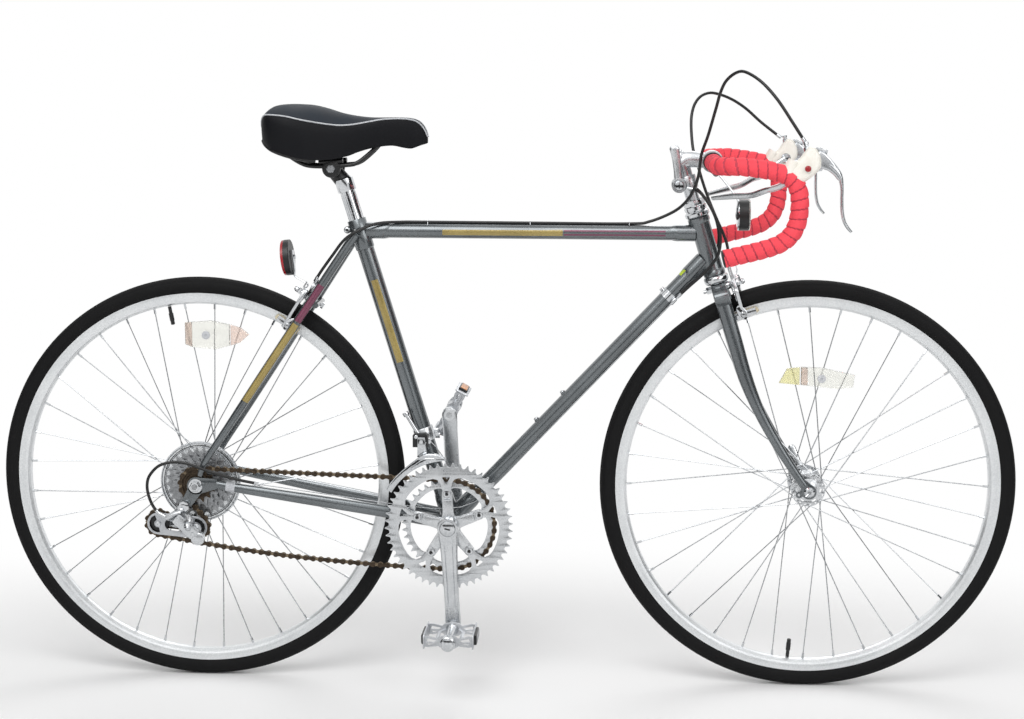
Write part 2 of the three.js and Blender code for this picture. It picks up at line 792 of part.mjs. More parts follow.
const rearFlangeInset = 27;
const rearFlangeLeft = rearHubWidth / 2 - rearFlangeInset;
const rearFlangeRight = protectorY + 8;
const rearHubEnd = rearHubWidth / 2 - 6;
const noseInset = 11;
const noseEnd = noseInset - rearHubWidth / 2;
const rearHub = [
  [hubBore, noseEnd],
  [freewheelNose, noseEnd],
  [freewheelNose, protectorY - 1],
  [protectorRadius, protectorY - 1],
  [protectorRadius, protectorY + 0.5],
  [hubEndRadius + 4, rearFlangeRight - 4],
  ...flange(rearFlangeRight).reverse().slice(1),
  ...flange(rearFlangeLeft),
  [hubEndRadius, rearHubEnd],
  [hubBore, rearHubEnd],
];
wheel(
  "rear", rearAxle, rearHub, rearFlangeLeft, rearFlangeRight, THREE.MathUtils.degToRad(100),
  [spokeReflector(
    [
      [-0.133, 0.796], [-0.046, 0.756], [0.093, 0.743], [0.232, 0.783],
      [0.285, 0.829], [0.239, 0.869], [0.066, 0.909], [-0.1, 0.889],
    ],
    rearFlangeRight * 0.45,
  )],
);

// Axles with their cones and nuts, turned in one
const axleNutRadius = 9;
const coneRadius = 8;
const axleSegments = 8;
function axleProfile(half, rightCone, leftCone, rightNut, leftNut, rightTip, leftTip, nutThick) {
  return [
    [0, -rightTip], [hubAxleRadius, -rightTip],
    [hubAxleRadius, -rightNut - nutThick], [axleNutRadius, -rightNut - nutThick],
    [axleNutRadius, -rightNut], [hubAxleRadius, -rightNut],
    [hubAxleRadius, -half + fit], [coneRadius, -half + fit],
    [coneRadius, -rightCone - running], [hubAxleRadius, -rightCone - running],
    [hubAxleRadius, leftCone + running], [coneRadius, leftCone + running],
    [coneRadius, half - fit], [hubAxleRadius, half - fit],
    [hubAxleRadius, leftNut], [axleNutRadius, leftNut],
    [axleNutRadius, leftNut + nutThick], [hubAxleRadius, leftNut + nutThick],
    [hubAxleRadius, leftTip], [0, leftTip],
  ];
}
const outerFace = dropoutY + dropoutThickness / 2 + fit;
const rearTip = outerFace + 11;
piece(
  "rear_axle",
  turned(
    axleProfile(
      rearHubWidth / 2, -noseEnd, rearHubEnd, outerFace, outerFace, rearTip, rearTip, 7,
    ),
    axleSegments,
  ),
  steel, 0.35, 0.95, groupAt(bicycle, rearAxle),
);

// Steering: everything in this group turns about its own upright axis
const steering = groupAt(bicycle, steeringFoot, headAngle - Math.PI / 2);
const bladeY = 32;
const frontDropoutInner = frontHubWidth / 2 + fit;
const frontDropoutY = frontDropoutInner + dropoutThickness / 2;
const crownDepth = 26;
const steererTop = stackTop - 2.3;
const quillRadius = 11.1;
const quillBottom = stackTop - 75.3;
const frontBolt = crownBottom + 14;
const frontArmStart = 23;
{
  const crownWidth = 2 * (bladeY + 10);
  const half = crownWidth / 2;
  const arch = 21;
  const legBottom = crownBottom - 12;
  const outline = [
    [-half, legBottom], [-arch, legBottom], [-arch + 2, crownBottom], [arch - 2, crownBottom],
    [arch, legBottom], [half, legBottom], [half, crownBottom + 6], [steererRadius + 6, crownTop],
    [-steererRadius - 6, crownTop], [-half, crownBottom + 6],
  ].map(([y, z]) => new THREE.Vector2(y, z));
  const slab = new THREE.ExtrudeGeometry(
    new THREE.Shape(outline), { depth: crownDepth, bevelEnabled: false },
  );
  const yzx = new THREE.Matrix4().makeBasis(at(0, 1, 0), at(0, 0, 1), at(1, 0, 0));
  const crown = placed(slab, yzx, shifted(-crownDepth / 2, 0, 0));
  const steerer = rod(at(0, 0, crownBottom + 1), at(0, 0, steererTop), steererRadius);
  const bore = rod(
    at(0, 0, quillBottom - 5), at(0, 0, steererTop + overrun), quillRadius + fit,
  );
  const boltBack = 30;
  const boltLength = frontArmStart + brakeStack + nutLength + fit;
  const bolt = rod(at(-boltBack, 0, frontBolt), at(boltLength, 0, frontBolt), boltRadius, boltRadius, 8);
  const backNut = rod(
    at(-boltBack, 0, frontBolt), at(-crownDepth / 2, 0, frontBolt), nutRadius, nutRadius, 6,
  );
  const washer = rod(
    at(crownDepth / 2, 0, frontBolt), at(frontArmStart - fit, 0, frontBolt), nutRadius, nutRadius, 8,
  );
  const nut = rod(
    at(boltLength - nutLength, 0, frontBolt), at(boltLength, 0, frontBolt),
    nutRadius, nutRadius / 2, 8,
  );
  piece(
    "fork_crown", join(cut(join(crown, steerer), bore), bolt, backNut, washer, nut),
    paint, 0.35, 0.6, steering,
  );

  // Blades rake forwards to the axle; each ends in its dropout
  const bladeTop = legBottom - fit;
  const bladeRows = [
    { rise: 0, rake: 0, fore: 13, side: 9.5 },
    { rise: 0.37, rake: 0, fore: 12, side: 9 },
    { rise: 0.55, rake: 0.13, fore: 9.5, side: 8 },
    { rise: 0.73, rake: 0.4, fore: 8.5, side: 7 },
    { rise: 0.87, rake: 0.68, fore: 7.5, side: 6.5 },
    { rise: 0.965, rake: 0.9, fore: 7, side: 6 },
  ];
  const bladeDrop = bladeTop - axleRise;
  const blade = (side) => {
    const route = bladeRows.map(({ rise, rake }) =>
      at(
        rake * forkRake, side * (bladeY + (frontDropoutY - bladeY) * rise), bladeTop - rise * bladeDrop,
      ));
    const widths = bladeRows.map((row) => [row.side, row.fore]);
    const tip = route[route.length - 1];
    const tongue = plate(
      linkOutline({ x: tip.x, y: tip.z + 6 }, 6, { x: axleForward, y: axleRise }, 13),
      dropoutThickness, side * frontDropoutY,
    );
    const eyeletRadius = 6;
    const eyeletBack = 17;
    const eyelet = axial(
      axleForward - eyeletBack, axleRise, side * frontDropoutY - dropoutThickness / 2,
      side * frontDropoutY + dropoutThickness / 2, eyeletRadius, undefined, 8,
    );
    const slot = plate(
      linkOutline(
        { x: axleForward, y: axleRise }, hubAxleRadius + running,
        { x: axleForward, y: axleRise - overrun }, hubAxleRadius + running, 4,
      ),
      dropoutThickness * 2, side * frontDropoutY,
    );
    const above = block(at(0, 0, bladeTop + overrun / 2), crownWidth, 2 * crownWidth, overrun);
    route[0].addScaledVector(route[0].clone().sub(route[1]).normalize(), crownDepth / 2);
    return cut(join(bent(route, widths, 8), tongue, eyelet), slot, above);
  };
  piece("fork_blade_right", blade(-1), paint, 0.35, 0.6, steering);
  piece("fork_blade_left", blade(1), paint, 0.35, 0.6, steering);

  // Headset
  const ring = (rows, segments = 12) => placed(turned(rows, segments), turnedX(Math.PI / 2));
  const raceBore = steererRadius + running;
  const lowerBottom = crownTop + fit;
  const lowerTop = headTubeStart - fit;
  const upperBottom = headTubeStart + headTubeLength + fit;
  const upperTop = upperBottom + upperStackHeight;
  const lower = [
    [raceBore, lowerBottom], [steererRadius + 3.5, lowerBottom],
    [headTubeRadius + 4, lowerBottom + 6], [headTubeRadius + 4, lowerTop - 3],
    [headTubeRadius, lowerTop], [raceBore, lowerTop],
  ];
  const upper = [
    [raceBore, upperBottom], [headTubeRadius, upperBottom], [headTubeRadius + 4, upperBottom + 4],
    [headTubeRadius + 4, upperBottom + 9], [headTubeRadius, upperBottom + 12],
    [headTubeRadius + 1, upperBottom + 13], [headTubeRadius + 1, upperTop - 3],
    [headTubeRadius - 2, upperTop], [raceBore, upperTop],
  ];
  const close = (rows) => [...rows, rows[0]];
  piece("headset_lower", ring(close(lower)), chrome, 0.15, 1, steering);
  piece("headset_upper", ring(close(upper)), chrome, 0.15, 1, steering);
}

// Front axle with its quick release
const releaseY = frontDropoutY + dropoutThickness / 2 + fit;
{
  const group = groupAt(steering, at(axleForward, 0, axleRise));
  const seatThick = 5;
  const shaft = turned(
    axleProfile(
      frontHubWidth / 2, frontHubEnd, frontHubEnd, releaseY, releaseY,
      releaseY + seatThick + 2, releaseY + seatThick + 7, seatThick,
    ),
    axleSegments,
  );
  piece("front_axle", shaft, steel, 0.3, 0.95, group);
  // The lever turns on the far end of the shaft
  const bossThick = 7;
  const bossRadius = 9;
  const leverStart = releaseY + seatThick + fit;
  const leverTip = at(-20, leverStart + bossThick / 2 + 9, 52);
  const boss = axial(0, 0, leverStart, leverStart + bossThick, bossRadius, undefined, 10);
  const arm = bent(
    [at(0, leverStart + bossThick / 2, 0), at(-6, leverStart + bossThick / 2 + 4, 20), leverTip],
    [[3, 6], [2.5, 6.5], [2, 5]], 6,
  );
  const bore = axial(0, 0, 0, leverStart + overrun, hubAxleRadius + running, undefined, 10);
  piece("front_qr_lever", cut(join(boss, arm), bore), alloy, 0.3, 0.9, group);
}

// Stem with the shifter clamp
const barPlace = at(47.6, 0, stackTop + 51.9);
const barRadius = 12;
const barSleeveRadius = 12.7;
const shifterPlace = at(-15.4, 0, stackTop + 30.4);
const shifterPinRadius = 3;
const shiftLeverStart = 15;
const shiftLeverThick = 8;
{
  const quillTop = stackTop + 78.7;
  const extensionRadius = 9;
  const extensionStart = stackTop + 65.7;
  const clampRadius = 18;
  const clampWidth = 38;
  const collarRadius = 15;
  const collarBottom = stackTop + 18.7;
  const collarTop = stackTop + 40.7;
  const clampBoltDrop = 21;
  const clampBoltRadius = 5;
  const clampBoltHalf = 11;
  const quill = rod(at(0, 0, quillBottom), at(0, 0, quillTop), quillRadius);
  const cap = rod(at(0, 0, quillTop), at(0, 0, quillTop + 6), quillRadius, quillRadius - 4);
  const extension = rod(
    at(0, 0, extensionStart), barPlace, extensionRadius + 1.5, extensionRadius, 10,
  );
  const clamp = axial(
    barPlace.x, barPlace.z, -clampWidth / 2, clampWidth / 2, clampRadius, undefined, 12,
  );
  const ear = axial(
    barPlace.x, barPlace.z - clampBoltDrop, -clampBoltHalf, clampBoltHalf, clampBoltRadius,
    undefined, 8,
  );
  const bore = placed(
    axial(0, 0, -clampWidth, clampWidth, barSleeveRadius + fit, undefined, 10),
    turnedY(Math.PI / 2 - headAngle), shifted(barPlace.x, 0, barPlace.z),
  );
  const collar = rod(at(0, 0, collarBottom), at(0, 0, collarTop), collarRadius, collarRadius, 10);
  const boss = axial(
    shifterPlace.x, shifterPlace.z, -shiftLeverStart + fit, shiftLeverStart - fit, 9,
    undefined, 8,
  );
  const pinEnd = shiftLeverStart + shiftLeverThick + 4;
  const pin = axial(
    shifterPlace.x, shifterPlace.z, -pinEnd, pinEnd, shifterPinRadius, undefined, 8,
  );
  piece(
    "stem", cut(join(quill, cap, extension, clamp, ear, collar, boss, pin), bore),
    alloy, 0.3, 0.9, steering,
  );
  // Shift levers stand up beside the stem
  const leverReach = 63;
  const leverLean = THREE.MathUtils.degToRad(11.6);
  const discRadius = 12;
  for (const [name, side] of [["shift_lever_right", -1], ["shift_lever_left", 1]]) {
    const group = groupAt(steering, at(shifterPlace.x, 0, shifterPlace.z), leverLean);
    const middleY = side * (shiftLeverStart + shiftLeverThick / 2);
    const disc = axial(
      0, 0, side * shiftLeverStart, side * (shiftLeverStart + shiftLeverThick), discRadius,
      undefined, 12,
    );
    const arm = bent(
      [at(0, middleY, 0), at(0, middleY + side, leverReach * 0.5), at(-2, middleY + 2 * side, leverReach)],
      [[3, 6], [2.4, 4.5], [3, 6]], 6,
    );
    const bore2 = axial(0, 0, -overrun, overrun, shifterPinRadius + running, undefined, 8);
    piece(name, cut(join(disc, arm), bore2), alloy, 0.3, 0.9, group);
  }
}

// Drop handlebar, in a group that stands level at the stem's clamp
const bars = groupAt(steering, barPlace, Math.PI / 2 - headAngle);
const barHalf = 200;
const barReach = 126;
const barDrop = 142;
const barShoulder = 40;
const tapeWall = 2;
const tapeStart = 46;
const hookShares = [
  [0.63, 0.04], [0.87, 0.11], [0.98, 0.25], [1, 0.45], [0.965, 0.63],
  [0.865, 0.77], [0.65, 0.875], [0.095, 1],
];
const cornerShares = [[1, 0], [0.5, 0.13], [0.13, 0.5], [0, 0.95]];
const halfBar = (side, start) => [
  at(0, side * start, 0),
  ...cornerShares.map(([inward, forward]) =>
    at(forward * barShoulder, side * (barHalf - inward * barShoulder), 0)),
  ...hookShares.map(([reach, drop]) => at(reach * barReach, side * barHalf, -drop * barDrop)),
];
{
  const sleeveHalf = 30;
  const up = at(0, 0, 1);
  const route = [...halfBar(-1, sleeveHalf + 8).reverse(), ...halfBar(1, sleeveHalf + 8)];
  const bar = bent(route, barRadius, 8, at(0, 0, 1).cross(at(1, 0, 0)));
  const thick = axial(0, 0, -sleeveHalf, sleeveHalf, barSleeveRadius, undefined, 10);
  piece("handlebar", join(bar, thick), alloy, 0.25, 0.95, bars);
  for (const [name, side] of [["bar_tape_right", -1], ["bar_tape_left", 1]]) {
    const wrapped = halfBar(side, tapeStart);
    const last = wrapped[wrapped.length - 1];
    const before = wrapped[wrapped.length - 2];
    wrapped.push(along(last, last.clone().sub(before).normalize(), tapeWall));
    const shell = sleeve(wrapped, barRadius + fit + tapeWall, barRadius + fit, 8, up);
    piece(name, shell, tape, 0.6, 0, bars);
  }
}

// Brake levers in their hoods, on the front of the hooks
const leverPivot = at(10, 0, -2); // from the front of the hook
const leverPinRadius = 3;
{
  const hoodThick = 24;
  const tongueThick = 9;
  const bladeThick = 15;
  const pinHalf = 14;
  const hoodOutline = [
    [-14, 7], [-22, -6], [-5, -22], [5, -23], [17, -15], [30, -3], [29, 18], [21, 29],
    [6, 30], [-6, 16],
  ];
  const tongueOutline = [
    [4, -8], [34, -6], [38, 12], [32, 18], [10, 7], [3, 2],
  ];
  const bladeOutline = [
    [32.5, -4], [45, -9], [55, -15], [60, -24], [61, -66], [64, -82], [77, -101],
    [82, -98], [71, -81], [66, -58], [65, -20], [57, -4], [33, 18],
  ];
  const safetyRoute = [
    [9, 18.5, -2], [-23, 22, -27], [-50, 35, -38], [-70, 60, -47], [-96, 100, -51], [-128, 140, -57],
  ];
  const slotSpread = tongueThick + 2 * running;
  const hookRoute = halfBar(-1, tapeStart).slice(4, 10);
  const tapeOver = (side) => bent(
    hookRoute.map((point) => at(point.x - barReach, 0, point.z)), barRadius + tapeWall + 2 * running, 8,
  );
  for (const [hand, side] of [["right", -1], ["left", 1]]) {
    const place = groupAt(bars, at(barReach, side * barHalf, 0));
    const slot = block(at(43, 0, 0), 84, slotSpread, 90);
    const pinHole = axial(
      leverPivot.x, leverPivot.z, -hoodThick, hoodThick, leverPinRadius + running, undefined, 8,
    );
    const hood = cut(plate(hoodOutline, hoodThick, 0), tapeOver(side), slot, pinHole);
    piece(`brake_hood_${hand}`, hood, cream, 0.5, 0.1, place);
    const pin = axial(
      leverPivot.x, leverPivot.z, -pinHalf - 4, pinHalf + 4, leverPinRadius, undefined, 8,
    );
    const safety = bent(
      safetyRoute.map(([x, inward, z]) => at(x, -side * inward, z)),
      [[4, 4], [3.5, 5], [3, 5], [3, 5], [3, 5], [3, 5]], 6,
    );
    const lever = join(
      plate(tongueOutline, tongueThick, 0), plate(bladeOutline, bladeThick, 0), pin, safety,
    );
    piece(`brake_lever_${hand}`, lever, alloy, 0.25, 0.95, place);
  }
}

// Side-pull brakes: two arms on one bolt, each with its pad
const padGap = 2.6;
const padWidth = 8;
function brake(parent, names, padDrop, padTilt) {
  // Outlines of the two arms in [y, z]; the legs reach down by shares of the drop
  const legShares = [[17, -0.72], [16.6, -1.06], [27, -1.12], [28, -0.76]];
  const leg = legShares.map(([y, share]) => [y, share * padDrop]);
  const outlines = [
    [
      [20, 30], [2, 9], [-6, 7], [-30, -4], [-34, -13], ...leg.map(([y, z]) => [-y, z]).reverse(),
      [-20, -17], [-8, -10], [0, -8.5], [7, -5], [9, 3], [29, 22], [27, 30],
    ],
    [
      [-8.5, 0], [-6, -6], [0, -8.5], [9, -10], [20, -17], ...leg,
      [34, -13], [33, 4], [30, 13], [21, 13], [6, 6], [0, 8.5], [-6, 6],
    ],
  ];
  const padLength = 46;
  const padHeight = 12;
  const padForward = 7;
  const yzx = new THREE.Matrix4().makeBasis(at(0, 1, 0), at(0, 0, 1), at(1, 0, 0));
  names.forEach((name, n) => {
    const side = n === 0 ? -1 : 1;
    const start = n * (armThickness + fit);
    const shape = new THREE.Shape(outlines[n].map(([y, z]) => new THREE.Vector2(y, z)));
    const slab = new THREE.ExtrudeGeometry(shape, { depth: armThickness, bevelEnabled: false });
    const pad = placed(
      block(at(0, side * (rimHalfWidth + padGap + padWidth / 2), 0), padLength, padWidth, padHeight),
      turnedY(padTilt), shifted(padForward, 0, -padDrop),
    );
    const bore = rod(at(-overrun, 0, 0), at(overrun, 0, 0), boltRadius + running, boltRadius + running, 8);
    const arm = join(placed(slab, yzx, shifted(start, 0, 0)), pad);
    piece(name, cut(arm, bore), alloy, 0.3, 0.9, parent);
  });
}
const frontBrake = groupAt(steering, at(frontArmStart, 0, frontBolt));
const rimBand = 9.3; // from the edge of the rim to the middle of a pad
brake(
  frontBrake, ["front_brake_arm_right", "front_brake_arm_left"],
  frontBolt - axleRise - rimOuter + rimBand, -0.056,
);
const rearBrake = groupAt(bicycle, along(rearBridge, rearBoltWay, rearArmStart));
rearBrake.quaternion.setFromRotationMatrix(
  new THREE.Matrix4().makeBasis(rearBoltWay, at(0, -1, 0), at(rearBoltWay.z, 0, -rearBoltWay.x)),
);
const rearRimBand = 11.9;
brake(
  rearBrake, ["rear_brake_arm_left", "rear_brake_arm_right"],
  tyreRadius + bridgeClear - rimOuter + rearRimBand, -0.087,
);

// Front reflector on its strap
const level = groupAt(
  steering,
  at(0, 0, 0).sub(steeringFoot).applyAxisAngle(at(0, 1, 0), Math.PI / 2 - headAngle),
  Math.PI / 2 - headAngle,
);
const barWorld = at(
  steeringFoot.x + barPlace.x * Math.sin(headAngle) - barPlace.z * Math.cos(headAngle), 0,
  steeringFoot.z + barPlace.x * Math.cos(headAngle) + barPlace.z * Math.sin(headAngle),
);
{
  const lensRadius = 26;
  const lensDepth = 20;
  const lensCentre = at(barWorld.x + 53, 0, barWorld.z - 88);
  const strapWide = 7;
  const strapY = -24.5;
  const ringWall = 2.5;
  const lens = rod(
    at(lensCentre.x - lensDepth / 2, 0, lensCentre.z),
    at(lensCentre.x + lensDepth / 2, 0, lensCentre.z), lensRadius, lensRadius, 16,
  );
  const back = lensCentre.x - lensDepth / 2;
  const strap = plate(
    [
      [barWorld.x + 3, barWorld.z - 14], [barWorld.x + 8, barWorld.z - 13],
      [back + 1, lensCentre.z + 26], [back + 1, lensCentre.z - 6],
      [back - 3, lensCentre.z - 6], [back - 3, lensCentre.z + 25],
    ],
    strapWide, strapY,
  );
  const foot = block(at(back, strapY / 2, lensCentre.z), 6, Math.abs(strapY) + strapWide, 12);
  const ring = axial(
    barWorld.x, barWorld.z, strapY - strapWide / 2, strapY + strapWide / 2,
    barSleeveRadius + fit + ringWall, undefined, 10,
  );
  const bore = axial(
    barWorld.x, barWorld.z, strapY - strapWide, strapY + strapWide, barSleeveRadius + fit,
    undefined, 10,
  );
  piece("front_reflector", cut(join(ring, strap, lens, foot), bore), blackPlastic, 0.4, 0, level);
}

// Drive: places of the rings and cogs across the bicycle
const innerRingY = -41;
const outerRingY = -48.5;
const toothThick = 2;
const cogSpacing = 5.3;
const smallCogGap = 6.5; // inside the dropout's hub face
const smallCogY = smallCogGap - rearHubWidth / 2;
const innerTeeth = 38;
const outerTeeth = 52;
const cogTeeth = [14, 17, 20, 24, 28];
const pulleyTeeth = 10;
const toothDepth = 4;
const toothTip = 3.3;
const toothHalf = 2.3;
const boltCircle = 55;
const armAngle = THREE.MathUtils.degToRad(92.8);
const pitchRadius = (teeth) => chainPitch / (2 * Math.sin(Math.PI / teeth));
const polar = (radius, angle) =>
  new THREE.Vector2(radius * Math.cos(angle), radius * Math.sin(angle));

// The chain lies on the small ring and the small cog and threads the two pulleys
const guideAhead = 17;
const guideDrop = 38;
const guidePlace = at(hanger.x + guideAhead, smallCogY, hanger.z - guideDrop);
const cageLength = 65;
const rounds = (tensionAngle) => {
  const tension = {
    x: guidePlace.x + cageLength * Math.cos(tensionAngle),
    z: guidePlace.z + cageLength * Math.sin(tensionAngle),
  };
  return [
    { x: bracket.x, z: bracket.z, teeth: innerTeeth, sense: 1 },
    { x: rearAxle.x, z: rearAxle.z, teeth: cogTeeth[0], sense: 1 },
    { x: guidePlace.x, z: guidePlace.z, teeth: pulleyTeeth, sense: -1 },
    { x: tension.x, z: tension.z, teeth: pulleyTeeth, sense: 1 },
  ].map((round) => ({ ...round, radius: pitchRadius(round.teeth) }));
};
const slackRadius = 3300; // of the arc in which the lower run hangs

function chainPath(tensionAngle) {
  const wheels = rounds(tensionAngle);
  const [ring, , , tension] = wheels;
  const tangents = [0, 1, 2].map((i) => {
    const a = wheels[i];
    const b = wheels[i + 1];
    const span = Math.hypot(b.x - a.x, b.z - a.z);
    const offset = (a.sense * a.radius - b.sense * b.radius) / span;
    return Math.atan2(b.z - a.z, b.x - a.x) + Math.asin(offset);
  });
  // The slack arc holds the tension pulley and the ring inside it
  const span = Math.hypot(ring.x - tension.x, ring.z - tension.z);
  const fromTension = slackRadius - tension.radius;
  const fromRing = slackRadius - ring.radius;
  const foot = (fromTension ** 2 - fromRing ** 2 + span ** 2) / (2 * span);
  const rise = Math.sqrt(fromTension ** 2 - foot ** 2);
  const way = Math.atan2(ring.z - tension.z, ring.x - tension.x);
  const hub = {
    x: tension.x + foot * Math.cos(way) - rise * Math.sin(way),
    z: tension.z + foot * Math.sin(way) + rise * Math.cos(way),
  };
  const slackFrom = Math.atan2(tension.z - hub.z, tension.x - hub.x);
  const slackTo = Math.atan2(ring.z - hub.z, ring.x - hub.x);
  const enter = [slackTo + Math.PI / 2, ...tangents];
  const leave = [...tangents, slackFrom + Math.PI / 2];
  const pieces = [];
  wheels.forEach((wheelHere, i) => {
    const { x, z, radius, sense, teeth } = wheelHere;
    const quarter = (sense * Math.PI) / 2;
    const from = enter[i] - quarter;
    let sweep = (leave[i] - enter[i]) * sense;
    sweep -= Math.floor(sweep / (2 * Math.PI)) * 2 * Math.PI;
    pieces.push({
      wheel: i,
      links: (sweep * teeth) / (2 * Math.PI),
      place: (share) => ({
        x: x + radius * Math.cos(from + sense * sweep * share),
        z: z + radius * Math.sin(from + sense * sweep * share),
      }),
    });
    if (i < 3) {
      const next = wheels[i + 1];
      const turn = leave[i] - Math.PI / 2;
      const start = { x: x + sense * radius * Math.cos(turn), z: z + sense * radius * Math.sin(turn) };
      const end = {
        x: next.x + next.sense * next.radius * Math.cos(turn),
        z: next.z + next.sense * next.radius * Math.sin(turn),
      };
      pieces.push({
        links: Math.hypot(end.x - start.x, end.z - start.z) / chainPitch,
        place: (share) => ({
          x: start.x + (end.x - start.x) * share, z: start.z + (end.z - start.z) * share,
        }),
      });
    }
  });
  const slackSweep = slackTo - slackFrom;
  pieces.push({
    links: (slackSweep * slackRadius) / chainPitch,
    place: (share) => ({
      x: hub.x + slackRadius * Math.cos(slackFrom + slackSweep * share),
      z: hub.z + slackRadius * Math.sin(slackFrom + slackSweep * share),
    }),
  });
  return { wheels, pieces, links: pieces.reduce((sum, part) => sum + part.links, 0) };
}

// The cage swings until the chain closes on a whole, even number of links
const restAngle = Math.PI;
const linkCount = 2 * Math.round(chainPath(restAngle).links / 2);
let lowAngle = restAngle - 0.6;
let highAngle = restAngle + 0.9;
for (let i = 0; i < 50; i += 1) {
  const middle = (lowAngle + highAngle) / 2;
  if (chainPath(middle).links > linkCount) lowAngle = middle;
  else highAngle = middle;
}
const tensionAngle = (lowAngle + highAngle) / 2;
const path = chainPath(tensionAngle);

// Pins along the path, with the value of y that each has
function chainPins() {
  const pins = [];
  let before = 0;
  for (const part of path.pieces) {
    const first = Math.ceil(before - 1e-9);
    for (let n = first; n < before + part.links - 1e-9; n += 1) {
      const { x, z } = part.place((n - before) / part.links);
      pins.push({ x, z, wheel: part.wheel });
    }
    before += part.links;
  }
  const ease = (share) => share * share * (3 - 2 * share);
  const rearEnd = rearAxle.x;
  return pins.map((pin) => {
    const share = THREE.MathUtils.clamp((bracket.x - pin.x) / (bracket.x - rearEnd), 0, 1);
    return { ...pin, y: innerRingY + (smallCogY - innerRingY) * ease(share) };
  });
}
const pins = chainPins();

// Tooth places follow from a pin that lies on the wheel
function firstTooth(wheelIndex) {
  const { x, z, teeth } = path.wheels[wheelIndex];
  const own = pins.filter((pin) => pin.wheel === wheelIndex);
  if (!own.length) return 0;
  const pin = own[Math.floor(own.length / 2)];
  return Math.atan2(pin.z - z, pin.x - x) + Math.PI / teeth;
}

// Outline of a toothed wheel: a flat between the teeth, or a plain notch
function toothed(teeth, phase, flat) {
  const pitch = pitchRadius(teeth);
  const root = pitch - toothDepth;
  const points = [];
  for (let n = 0; n < teeth; n += 1) {
    const angle = phase + (2 * Math.PI * n) / teeth;
    if (flat) {
      const half = toothHalf / root;
      points.push(polar(root, angle - half), polar(pitch + toothTip, angle), polar(root, angle + half));
    } else {
      points.push(polar(pitch + toothTip, angle), polar(root, angle + Math.PI / teeth));
    }
  }
  return points;
}

// Chain: narrow and wide links in turn, with a roller at every pin
{
  const rollerHalf = 2.5;
  const plateHalf = 3.7;
  const narrow = [1.7, 2.7];
  const wide = [2.7, 3.7];
  const count = pins.length;
  const places = [];
  const face = (a, b, c, d) =>
    [a, b, c, a, c, d].forEach((p) => places.push(p.x, p.y, p.z));
  const frames = pins.map((pin, i) => {
    const last = pins[(i + count - 1) % count];
    const next = pins[(i + 1) % count];
    const way = at(next.x - last.x, 0, next.z - last.z).normalize();
    return { centre: at(pin.x, pin.y, pin.z), way, up: at(-way.z, 0, way.x) };
  });
  // Each side plate is drawn by its two inner corners and a crest on its outer face
  const station = ({ centre, way, up }, ahead, [inner, outer]) => {
    const spot = (y, rise) =>
      along(along(along(centre, way, ahead * rollerHalf), up, rise * plateHalf), at(0, 1, 0), y);
    return [1, -1].map((side) => [
      spot(side * inner, 1), spot(side * outer, 0), spot(side * inner, -1),
    ]);
  };
  const links = pins.map((_, i) => {
    const sizes = i % 2 ? wide : narrow;
    return {
      start: station(frames[i], 1, sizes),
      end: station(frames[(i + 1) % count], -1, sizes),
    };
  });
  links.forEach((link, i) => {
    const next = links[(i + 1) % count];
    [0, 1].forEach((n) => {
      const flip = (a, b, c, d) => (n === 0 ? face(a, b, c, d) : face(a, d, c, b));
      const span = (from, to, sides) => sides.forEach((j) => {
        const k = (j + 1) % 3;
        flip(from[j], to[j], to[k], from[k]);
      });
      span(link.start[n], link.end[n], [0, 1, 2]);
      span(link.end[n], next.start[n], [0, 1]);
    });
    const [a, b] = link.end;
    const [c, d] = next.start;
    face(b[0], d[0], c[0], a[0]);
    face(a[2], c[2], d[2], b[2]);
    face(a[0], a[2], b[2], b[0]);
    face(c[2], c[0], d[0], d[2]);
  });
  const chain = new THREE.BufferGeometry();
  chain.setAttribute("position", new THREE.Float32BufferAttribute(places, 3));
  piece("chain", outward(chain), steel, 0.5, 0.8, bicycle);
}

// Chainrings, held to the spider by five bolts
const crankGroup = groupAt(bicycle, at(bracket.x, 0, bracket.z));
const armAngles = Array.from({ length: 5 }, (_, n) => armAngle + (2 * Math.PI * n) / 5);
const ringBoltRadius = 4;
const tabRadius = 47;
{
  const window = (radius, tabHalf) => armAngles.flatMap((angle) => {
    const rim = Math.asin((tabHalf + 3) / radius);
    const next = (2 * Math.PI) / 5;
    return [
      polar(tabRadius, angle - Math.asin((tabHalf * 0.6) / tabRadius)),
      polar(tabRadius, angle + Math.asin((tabHalf * 0.6) / tabRadius)),
      polar(radius - 6, angle + rim),
      polar(radius, angle + rim + 0.14),
      polar(radius, angle + next / 2),
      polar(radius, angle + next - rim - 0.14),
      polar(radius - 6, angle + next - rim),
    ];
  });
  const outerInside = 84;
  const innerInside = 66;
  const notchRadius = 74;
  const notchHalf = 0.055;
  const notches = armAngles.map((angle) => [
    polar(notchRadius, angle), polar(outerInside, angle + notchHalf),
    polar(outerInside, angle - notchHalf),
  ]);
  const outer = plate(
    toothed(outerTeeth, armAngle, false), toothThick, outerRingY, [window(outerInside, 10), ...notches],
  );
  const inner = plate(
    toothed(innerTeeth, firstTooth(0), true), toothThick, innerRingY, [window(innerInside, 8)],
  );
  const bolts = armAngles.map((angle) => {
    const { x, y: z } = polar(boltCircle, angle);
    return axial(
      x, z, outerRingY - toothThick / 2 - fit, innerRingY, ringBoltRadius, undefined, 6,
    );
  });
  piece("chainrings", join(outer, inner, ...bolts), alloy, 0.3, 0.9, crankGroup);
}

